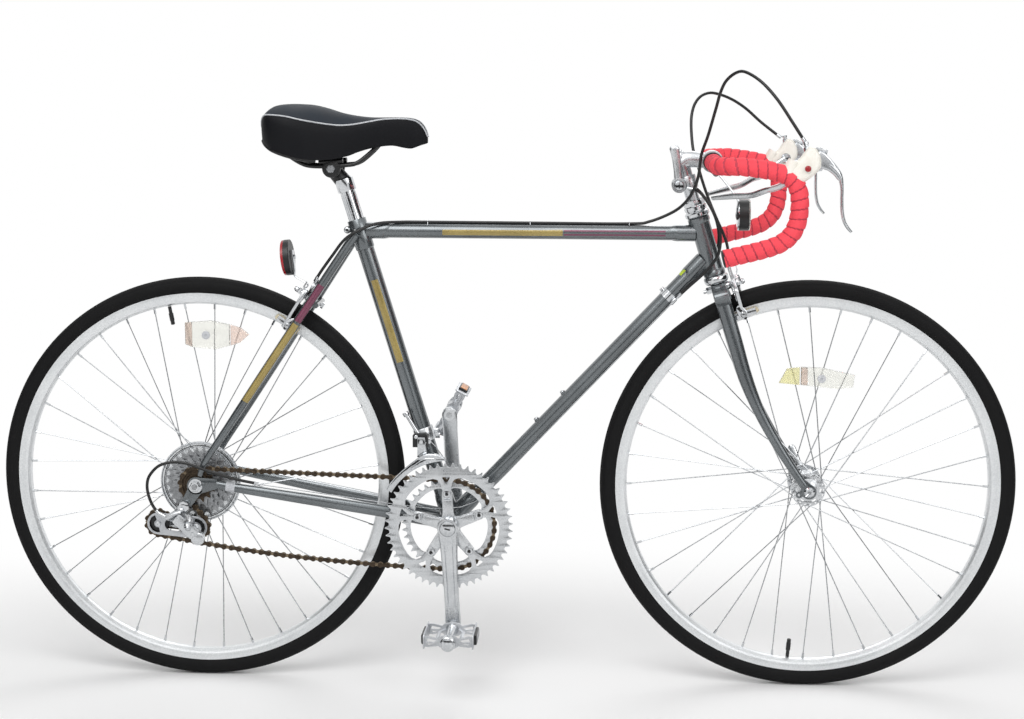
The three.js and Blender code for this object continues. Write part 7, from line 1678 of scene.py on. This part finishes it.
        addLathe(bm, [(8, -1.9), (13.4, -1.5), (13.4, 1.5), (8, 1.9)], (x, s["cogY"], z), (0, 1, 0),
                 32, closed=True)
        finishPiece(bm, name, body, black, [node], sharp=35)

    # front: band with its screw, linkage block and cable pinch
    bm = bmesh.new()
    low = bracket + seatWay * 143
    addLathe(bm, [(14.6, 0), (16.9, 0), (17.3, 0.8), (17.3, 22.2), (16.9, 23), (14.6, 23)], low, seatWay,
             48, closed=True)
    middle = low + seatWay * 11.5
    for up in (-4.4, 4.4):
        addTube(bm, [middle + seatWay * up + vec(14, 9, 0), middle + seatWay * up + vec(24, 9, 0)],
                [(4.6, 2.2)] * 2, 12, up=seatWay)
    addLathe(bm, [(0, -7), (4.4, -7), (4.6, -3), (0, -3)], middle + vec(19, 10, 0), (0, 1, 0), 24, 1)
    addLathe(bm, [(0, -3), (2.4, -3), (2.4, 8), (4.2, 8), (4.2, 11), (0, 11)], middle + vec(19, 4, 0),
             (0, 1, 0), 20, 1)
    block = middle + vec(-4, -20, -6)
    flat = plane(block, (1, 0, 0), (0, 0, 1))
    addPlate(bm, [(-13, -12), (-13, 8), (-9, 12), (9, 12), (13, 8), (13, -12)], [], 17.6, flat, 1.6, 2)
    for x, z in ((-7, 6), (7, -5)):
        bolt(bm, block + vec(x, -8.8, z), (0, -1, 0), 3.2, 1.6, 1, 24, 1.5)
    stub = [vec(-139, -21, 430), vec(-160, -20, 464)]
    addRod(bm, stub[0], stub[1], 3.5, 3.2, 20, 1)
    addLathe(bm, [(0, -2), (5, -2), (5.4, 0), (5.4, 4), (5, 5), (0, 5)], stub[1],
             (stub[1] - stub[0]).normalized(), 28, 1)
    addLathe(bm, [(0, 0), (4.4, 0), (4.4, 3), (0, 3.4)], (-122.3, -20, 419), (0, -1, 0), 6, 1)
    addTube(bm, [vec(-131, -21, 424), vec(-120, -20.6, 419)], [(4, 2.4)] * 2, 16, up=(0, 0, 1), material=1)
    finishPiece(bm, "frontDerailleurBody", "frame", [alloy, chrome, black],
                ["front_derailleur_body"], sharp=32)

    bm = bmesh.new()
    edge = 111.3
    lowEdge = [(bracket.x + edge * math.cos(t), bracket.z + edge * math.sin(t))
               for t in (math.radians(92 + 58 * k / 14) for k in range(15))]
    topEdge = [(-191, 341), (-186, 350), (-178, 360), (-166, 372), (-153, 383), (-140, 393), (-130, 399.4),
               (-122, 401.4), (-110, 401.4), (-103, 399), (-94, 395)]
    leaf = [(-152, 376), (-138, 388), (-127, 394.4), (-114, 395), (-108, 393.6), (-114, 389.8), (-132, 384)]
    for y in (-36, -47.5):
        addPlate(bm, [*lowEdge, *topEdge], [], 1.4, sidePlane(y), 0.35)
    leafIn = smoothLoop(leaf, 3)
    addPlate(bm, leafIn, [], 0.9, sidePlane(-48.3), 0.3)
    rim = [(x, -48.2, z) for x, z in leafIn]
    addTube(bm, rim, 0.8, 8, closed=True)
    addTube(bm, [(x, -48.1, z) for x, z in topEdge], 0.9, 8)
    for run in ([(-140, 393), (-127, 400.6), (-112, 401.0)], [(-190.4, 341.6), (-184, 352)]):
        addTube(bm, [(x, -41.75, z) for x, z in run], [(0.8, 6.2)] * len(run), 12, up=(0, 0, 1))
    addPlate(bm, [(-141, 394), (-124, 394), (-128, 428), (-140, 428)], [], 5, sidePlane(-31.8), 0.8)
    addTube(bm, [(-132, -30, 396), (-132, -37, 396)], [(5, 2.6)] * 2, 12, up=(1, 0, 0))
    bolt(bm, (-134, -34.3, 420), (0, -1, 0), 3.6, 2.4, 0, 24, 1.8)
    finishPiece(bm, "frontDerailleurCage", "chain_guide", [chrome],
                ["front_derailleur_cage"], sharp=32)


pins, rounds = chainPins(driveSizes)
makeChain(driveSizes, pins)
makeCrankset(driveSizes, pins, rounds)
makePedals(pedalSizes, driveSizes)
makeFreewheel(driveSizes, pins, rounds)
makeDerailleurs(driveSizes, pins, rounds)
print(f"drive made, {len(pins)} links")

brakeSizes = {
    "armThick": 6, "armGap": 0.3, "padLength": 46, "padWidth": 8, "padHeight": 12, "padForward": 7,
    "padOut": 18.6, "armStart": 18,
    "leg": [(17, -0.72), (16.6, -1.06), (27, -1.12), (28, -0.76)],
}
rearBoltWay = rearBoltLine.normalized()
rearStrapUp = vec(rearBoltWay.z, 0, -rearBoltWay.x)


def rearBrakeAt(ahead, across, rise):
    return (rearBridge + rearBoltWay * (brakeSizes["armStart"] + ahead) + vec(0, -across, 0)
            + rearStrapUp * rise)


def frontBrakeAt(ahead, across, rise):
    return steer(23 + ahead, across, frontBoltRise + rise)


def makeBrake(s, name, place, ways, drop, tilt, hands):
    # two curved arms on one bolt, with a shoe, its slotted holder and the cable's anchor
    alloy, chrome = skins["buffedAluminium"], skins["chromePlate"]
    rubber, dark = skins["padRubber"], skins["darkHole"]
    across, upward, outward = ways
    leg = [(y, share * drop) for y, share in s["leg"]]
    outlines = [
        [(20, 30), (2, 9), (-6, 7), (-30, -4), (-34, -13), *[(-y, z) for y, z in leg][::-1],
         (-20, -17), (-8, -10), (0, -8.5), (7, -5), (9, 3), (29, 22), (27, 30)],
        [(-8.5, 0), (-6, -6), (0, -8.5), (9, -10), (20, -17), *leg,
         (34, -13), (33, 4), (30, 13), (21, 13), (6, 6), (0, 8.5), (-6, 6)],
    ]
    for n, (hand, body, node) in enumerate(hands):
        side = -1 if n == 0 else 1
        start = n * (s["armThick"] + s["armGap"])
        bm = bmesh.new()
        shape = smoothLoop(outlines[n], 3)
        addPlate(bm, shape, [circle(3.3, 20)], s["armThick"],
                 plane(place(start + 3, 0, 0), across, upward), 1.5)
        shoe = place(s["padForward"], side * s["padOut"], -drop)
        fore = outward * math.cos(tilt) - upward * math.sin(tilt)
        rise = outward * math.sin(tilt) + upward * math.cos(tilt)
        flat = plane(shoe, fore, rise)
        half, high = s["padLength"] / 2, s["padHeight"] / 2
        block = [(-half, -high + 2), (-half + 3, -high), (half - 6, -high), (half, -high + 3.5),
                 (half - 1, high - 3), (half - 7, high), (-half + 3, high), (-half, high - 2)]
        addPlate(bm, block, [], s["padWidth"], flat, 1.2, 2)
        # metal channel behind the rubber, and the oval holder that bolts it to the arm
        back = across * side
        flat = plane(shoe + back * (s["padWidth"] / 2 + 0.6), fore, rise)
        addPlate(bm, [(-half + 2, -high + 0.6), (half - 5, -high + 0.6), (half - 5, high - 0.6),
                      (-half + 2, high - 0.6)],
                 [], 2.4, flat, 0.4, 1)
        lean = math.radians(14)
        long = rise * math.cos(lean) - fore * math.sin(lean)
        wide = fore * math.cos(lean) + rise * math.sin(lean)
        oval = [(7.6 * math.cos(t), 4 + 13.6 * math.sin(t))
                for t in (2 * math.pi * k / 40 for k in range(40))]
        hub = shoe - fore * 4
        flat = plane(hub + back * (s["padWidth"] / 2 + 3.4), wide, long)
        addPlate(bm, oval, [], 3.2, flat, 1.1, 1)
        # two near-black sheets on the holder for its slots: painted shade
        flat = plane(hub + back * (s["padWidth"] / 2 + 5.1), wide, long)
        for low, high2 in ((8.5, 12.8), (-6, -3.2)):
            addPlate(bm, roundLink((0, low), (0, high2), 2.5, 2.5, 6), [], 0.3, flat, 0.05, 3)
        addLathe(bm, [(0, 4), (4.6, 4), (4.8, 5.4), (4.8, 7.6), (3.8, 8.4), (2.4, 8.4), (2.2, 9.8), (0, 10)],
                 hub + back * s["padWidth"] / 2, back, 24, 1)
        if n == 0:
            bolt(bm, place(-0.4, -31, -8), -outward, 3.4, 1.6, 1, 20, 1.4)
            # threaded adjuster that takes the housing's end
            addLathe(bm, [(0, 0), (3.2, 0), (3.2, 6), (5, 6.4), (5, 10.6), (4.2, 11.4),
                          (3.4, 12.6), (0, 12.8)],
                     place(3, 24, 25.5), upward, 24, 1)
        else:
            # cable anchor with its nut and washer, and the quick release tab
            bolt(bm, place(start + 6, 25.5, 5), outward, 4.2, 3.6, 1, 6)
            addLathe(bm, [(0, 0), (4.6, 0), (4.6, 1.2), (0, 1.2)], place(start + 6, 25.5, 5), outward, 20, 1)
            addTube(bm, [place(start + 3, 27, 8), place(start + 9, 30, 16), place(start + 9, 31, 26)],
                    [(1.4, 3.6), (1.3, 3.4), (1.0, 2.6)], 12, up=outward, material=1)
        # return spring, a bent wire from the bolt to the back of the leg
        wire = [place(-2.4, 0, 7), place(-2.6, side * 9, 4), place(-2.6, side * 22, -6),
                place(-1.6, side * 29, -16), place(-1.2, side * 28, -26)]
        addTube(bm, smoothPath(wire, 5), 0.95, 10, material=1)
        finishPiece(bm, f"{name}BrakeArm{hand}", body, [alloy, chrome, rubber, dark],
                    [node], sharp=34)


def makeReflectors():
    black, chrome = skins["blackPlastic"], skins["chromePlate"]
    bm = bmesh.new()
    way, up = vec(-0.995, 0, -0.101).normalized(), vec(-0.101, 0, 0.995).normalized()
    centre = vec(-359.4, 0, 727.2)
    addLathe(bm, [(0, -5.6), (29, -5.6), (30, -4.8), (30, 4), (0, 4)], centre, way, 64)
    addLathe(bm, [(0, 3.9), (29.6, 3.9), (29.6, 7.6), (28.4, 8.6), (0, 8.8)], centre, way, 64, 1)
    foot = rearBridge + rearBoltWay * 32
    back = centre - way * 8.4
    strap = smoothPath([foot - rearStrapUp * 8, foot + rearStrapUp * 8,
                        foot + rearStrapUp * 17 + rearBoltWay, back - up * 33 + way * 0.4, back - up * 22,
                        back + up * 12], 5)
    addTube(bm, strap, [(1.3, 7)] * len(strap), 12, up=rearBoltWay, material=2)
    bolt(bm, back - way * 1.0, -way, 4, 3, 2, 6)
    finishPiece(bm, "rearReflector", "frame", [black, skins["redLens"], chrome],
                ["rear_reflector"], sharp=35)

    bm = bmesh.new()
    centre = vec(400, 0, 801)
    addLathe(bm, [(0, -8), (25.2, -8), (26, -7.4), (26, 8), (0, 8)], centre, (1, 0, 0), 56)
    addLathe(bm, [(0, 7.9), (25.6, 7.9), (25.6, 9.8), (24.6, 10.4), (0, 10.6)], centre, (1, 0, 0), 56, 1)
    addLathe(bm, [(0, -10.6), (25, -10.6), (25.6, -10), (25.6, -7.9), (0, -7.9)], centre, (1, 0, 0), 56, 2)
    bar = barAt(0, 0, 0)
    addLathe(bm, [(12.9, -28), (15.3, -28), (15.5, -27.4), (15.5, -21.6), (15.3, -21), (12.9, -21)], bar,
             (0, 1, 0), 44, closed=True)
    strap = smoothPath([bar + vec(4, -24.5, -14), bar + vec(20, -24.5, -32), vec(388.4, -24.5, 828),
                        vec(388, -24.5, 812), vec(388, -24.5, 797)], 4)
    addTube(bm, strap, [(1.8, 3.5)] * len(strap), 12, 2, up=(1, 0, 0))
    addTube(bm, [(389.2, -27, 801), (389.2, -8, 801)], [(3, 6), (3, 8)], 16, up=(1, 0, 0))
    bolt(bm, bar + vec(5, -28, -13), (0, -1, 0), 3, 2, 2, 20, 1.4)
    finishPiece(bm, "frontReflector", "steering", [black, skins["clearLens"], chrome],
                ["front_reflector"], sharp=35)


def makeAxles():
    steel, chrome, alloy = skins["zincSteel"], skins["chromePlate"], skins["buffedAluminium"]
    bm = bmesh.new()
    centre = rearAxle
    addLathe(bm, [(0, -77.4), (3.6, -77.4), (4.6, -76), (4.6, 76), (3.6, 77.4), (0, 77.4)], centre,
             (0, 1, 0), 28)
    for side in (-1, 1):
        addLathe(bm, [(4.6, 66.6), (11.6, 66.6), (12.2, 67.4), (11.6, 68.2), (4.6, 68.2)], centre,
                 (0, side, 0), 36, 1, closed=True)
        bolt(bm, centre + vec(0, 68.2 * side, 0), (0, side, 0), 9, 6, 1, 6, 4.7)
        addLathe(bm, [(4.6, 55), (8, 55), (8, 60.6), (4.6, 60.6)], centre, (0, side, 0), 32, closed=True)
        addLathe(bm, [(4.6, 47), (6.4, 47), (7.6, 50), (7.6, 55), (4.6, 55)], centre, (0, side, 0),
                 32, closed=True)
    finishPiece(bm, "rearAxle", "frame", [steel, chrome], ["rear_axle"], sharp=32)

    bm = bmesh.new()
    centre = steer(47.4, 0, -14.49)
    addLathe(bm, [(0, -62.4), (2.6, -62.4), (3, -61.6), (3, 61), (0, 61)], centre, (0, 1, 0), 24)
    addLathe(bm, [(3, -55.4), (4.6, -55.4), (4.6, 55.4), (3, 55.4)], centre, (0, 1, 0), 28, closed=True)
    for side in (-1, 1):
        addLathe(bm, [(4.6, 44.6), (7.6, 44.6), (7.6, 50), (4.6, 50)], centre, (0, side, 0), 32, closed=True)
        addLathe(bm, [(3, 55.5), (8.8, 55.5), (9, 56.4), (8.6, 58.6), (6.4, 60.6), (3, 60.6)], centre,
                 (0, side, 0), 36, 1, closed=True)
    for face in (-1, 1):
        addTube(bm, [centre + vec(0, -58.4, 0), centre + vec(6.6 * face, -60.4, 8.6 * face * 0.7)],
                [(2.4, 3.4), (1.6, 2.6)], 14, material=1)
    finishPiece(bm, "frontAxle", "steering", [steel, chrome], ["front_axle"], sharp=32)

    bm = bmesh.new()
    addLathe(bm, [(3.2, 61), (8.6, 61), (9, 61.8), (9, 67), (8.2, 68), (3.2, 68)], centre, (0, 1, 0),
             40, closed=True)
    addLathe(bm, [(0, 67.2), (3, 67.2), (3, 69.2), (0, 69.4)], centre, (0, 1, 0), 24)
    arm = smoothPath([centre + vec(*p)
                      for p in ((0, 64, 4), (-3, 66.4, 14), (-8, 69, 26), (-15, 72, 41), (-19, 73.4, 50),
                                (-20.4, 73.6, 54))], 5)
    addTube(bm, arm, taper(25, [3, 2.8, 2.6, 3, 2.6, 1.2], [7, 5.6, 5, 6.6, 6.2, 3]), 24, up=(0, 1, 0))
    finishPiece(bm, "quickRelease", "front_wheel_lever", [alloy], ["front_qr_lever"], sharp=32)


saddleRows = [
    # length from the post, half width, crown, piping, hem, half width at the hem
    (-131, 30, 90, 89, 75, 27), (-128.6, 42, 103, 100, 67, 37), (-122, 55, 115, 108, 59.5, 48),
    (-109, 66, 123.5, 109, 51.5, 59), (-86, 71.5, 126, 107, 43.5, 65), (-64, 68, 125.6, 102, 38, 61),
    (-45, 60, 124, 98, 35.2, 54), (-22, 49, 118.5, 94, 35, 44), (0, 40, 111.5, 91.6, 38, 35),
    (22, 33.5, 107, 93, 46, 29.5), (45, 29, 104.3, 97, 52.5, 25), (66, 26, 103.8, 100.6, 56.5, 22.5),
    (85, 24, 104, 102, 57.8, 20), (102, 22.6, 103.4, 102, 54.5, 18.5), (115, 21, 102.2, 100.5, 53, 17),
    (124, 18.4, 99.6, 97.6, 56, 14.4), (132, 14.6, 93.6, 91.2, 58.6, 11), (138, 10.4, 84, 81.6, 60.4, 7.4),
    (141, 6.4, 74, 72.6, 62, 4.4), ]


def makeSeat(rows):
    top = vec(-263.3, 0, 856.7)
    chrome, black = skins["chromePlate"], skins["blackPlastic"]
    # seat post: plain collar over a fluted shank
    bm = bmesh.new()
    flutes, rings = 14, []
    profile = [(0, 12.0), (-1, 12.7), (-22, 12.7), (-24, None), (-120, None), (-122, 12.7),
               (-228, 12.7), (-230, 12)]
    way, first, second = axes(seatWay)
    for height, radius in profile:
        ring = []
        for k in range(flutes * 8):
            t = 2 * math.pi * k / (flutes * 8)
            dip = 0.9 * max(0.0, math.sin(flutes * t)) ** 0.6 if radius is None else 0
            ring.append(bm.verts.new(top + way * height + (first * math.cos(t) + second * math.sin(t))
                                     * ((radius or 12.7) - dip)))
        rings.append(ring)
    ringFaces(bm, rings, 0, False)
    finishPiece(bm, "seatPost", "seat", chrome, ["seatpost"], sharp=24)

    # saddle: crown fabric and side vinyl meet in a raised piping
    crownCurve = ((0.22, 0.03), (0.42, 0.12), (0.6, 0.29), (0.76, 0.52), (0.87, 0.77))
    skirtCurve = ((0.99, 0.12), (1.0, 0.28), (0.985, 0.48), (0.955, 0.68))
    line = smoothPath([r[:3] for r in rows], 4)
    rest = smoothPath([r[3:] for r in rows], 4)
    bm = bmesh.new()
    rings, piping, hem = [], [], []
    for (x, half, crown), (edge, bottom, foot) in zip(line, rest):
        edgeY = half * 0.94
        inside = min(67, crown - 12)
        right = [(half * out, crown - (crown - edge) * drop) for out, drop in crownCurve] + [(edgeY, edge)]
        lower = [(half * out, edge - (edge - bottom) * drop) for out, drop in skirtCurve]
        lower += [(foot * 1.02, edge - (edge - bottom) * 0.86), (foot, bottom + 1), (foot * 0.94, bottom),
                  (foot * 0.88, bottom + 3), (foot * 0.8, inside), (foot * 0.3, inside)]
        half1 = [*right, *lower]
        ring = [(0, crown), *half1, *[(-y, z) for y, z in half1[::-1]]]
        rings.append([bm.verts.new(top + vec(x, y, z)) for y, z in ring])
        piping.append((x, edgeY, edge))
        hem.append((x, foot, bottom))
    made = ringFaces(bm, rings, 1, False)
    count = len(rings[0])
    for k, face in enumerate(made[:-2]):
        if k % count < 6 or k % count >= count - 6:
            face.material_index = 0
    for y in (-1, 1):
        addTube(bm, [top + vec(x, y * (w + 0.4), z + 0.2) for x, w, z in piping], 1.25, 10, 2)
    for (x, w, z), reach, lift in ((piping[0], -2.6, 0.4), (piping[-1], 1.4, 0.2)):
        bend = [top + vec(x, -w - 0.4, z), top + vec(x + reach, 0, z + lift), top + vec(x, w + 0.4, z)]
        addTube(bm, smoothPath(bend, 8), 1.25, 10, 2)
    saddle = finishPiece(bm, "saddleCover", "seat",
                         [skins["saddleFabric"], skins["saddleVinyl"], skins["pipingCord"]],
                         ["saddle"], sharp=50)
    # moulded base that shows below the hem at the back
    bm = bmesh.new()
    low = [top + vec(x, y, z) for x, y, z in hem[4:26]]
    for y in (-1, 1):
        addTube(bm, [vec(p.x, y * (p.y - 4.6), p.z - 0.6) for p in low], [(3.2, 2.6)] * len(low), 14)
    finishPiece(bm, "saddleBase", "seat", black, sharp=50)

    # rails, and the clamp with its toothed side plates
    bm = bmesh.new()
    for side in (-1, 1):
        rail = [(-100, 36, 64), (-92, 35, 48), (-68, 28, 30), (-44, 24, 24), (8, 22, 26), (25, 20, 29.5),
                (41, 16, 41), (56, 12, 55), (62, 11, 64)]
        addTube(bm, smoothPath([top + vec(x, side * y, z) for x, y, z in rail], 6), 3.5, 18, 0)
        disc = top + vec(-17, 0, 20.5)
        addLathe(bm, [(0, 17), (14.6, 17), (15.4, 18), (15.4, 25.4), (14.4, 27), (10, 28.4), (0, 28.4)],
                 disc, (0, side, 0), 48, 1)
        addLathe(bm, [(0, 28), (7.4, 28), (7.4, 33), (6.4, 34), (0, 34)], disc, (0, side, 0), 6, 2)
        for k in range(20):
            t = 2 * math.pi * k / 20
            addTube(bm, [disc + vec(9.6 * math.cos(t), 28.2 * side, 9.6 * math.sin(t)),
                         disc + vec(13.6 * math.cos(t), 27.2 * side, 13.6 * math.sin(t))], 0.7, 6, 1)
        addTube(bm, [top + vec(-38, side * 23, 31), top + vec(2, side * 22, 33)], [(4, 5.4)] * 2, 16, 1,
                up=(0, 0, 1))
    addLathe(bm, [(0, -30), (5, -30), (5, 30), (0, 30)], top + vec(-17, 0, 20.5), (0, 1, 0), 28, 2)
    addTube(bm, [top + vec(-17, -19, 17), top + vec(-17, 19, 17)], [(10, 13)] * 2, 28, 1, up=(0, 0, 1))
    addLathe(bm, [(12.9, -19), (15.2, -19), (15.6, -18), (15.6, 2), (14, 4), (0, 4), (0, 0.6), (12.9, 0.6)],
             top, seatWay, 44, 3)
    addTube(bm, [top + vec(0, 0, -3), top + vec(-16, 0, 16)], [(13.5, 14), (12, 13)], 28, 1, up=(0, 1, 0))
    finishPiece(bm, "saddleFrame", "seat",
                [skins["blackHousing"], black, skins["zincSteel"], chrome],
                ["saddle_frame"], sharp=34)


makeBrake(brakeSizes, "front", frontBrakeAt, (vec(0, 1, 0), headWay, headForward), 51, -0.056,
          (("Right", "front_brake_arm_r", "front_brake_arm_right"),
           ("Left", "front_brake_arm_l", "front_brake_arm_left")))
makeBrake(brakeSizes, "rear", rearBrakeAt, (vec(0, -1, 0), rearStrapUp, rearBoltWay), 56, -0.087,
          (("Left", "rear_brake_arm_l", "rear_brake_arm_left"),
           ("Right", "rear_brake_arm_r", "rear_brake_arm_right")))
makeReflectors()
makeAxles()
makeSeat(saddleRows)
print("brakes, reflectors, axles and seat made")
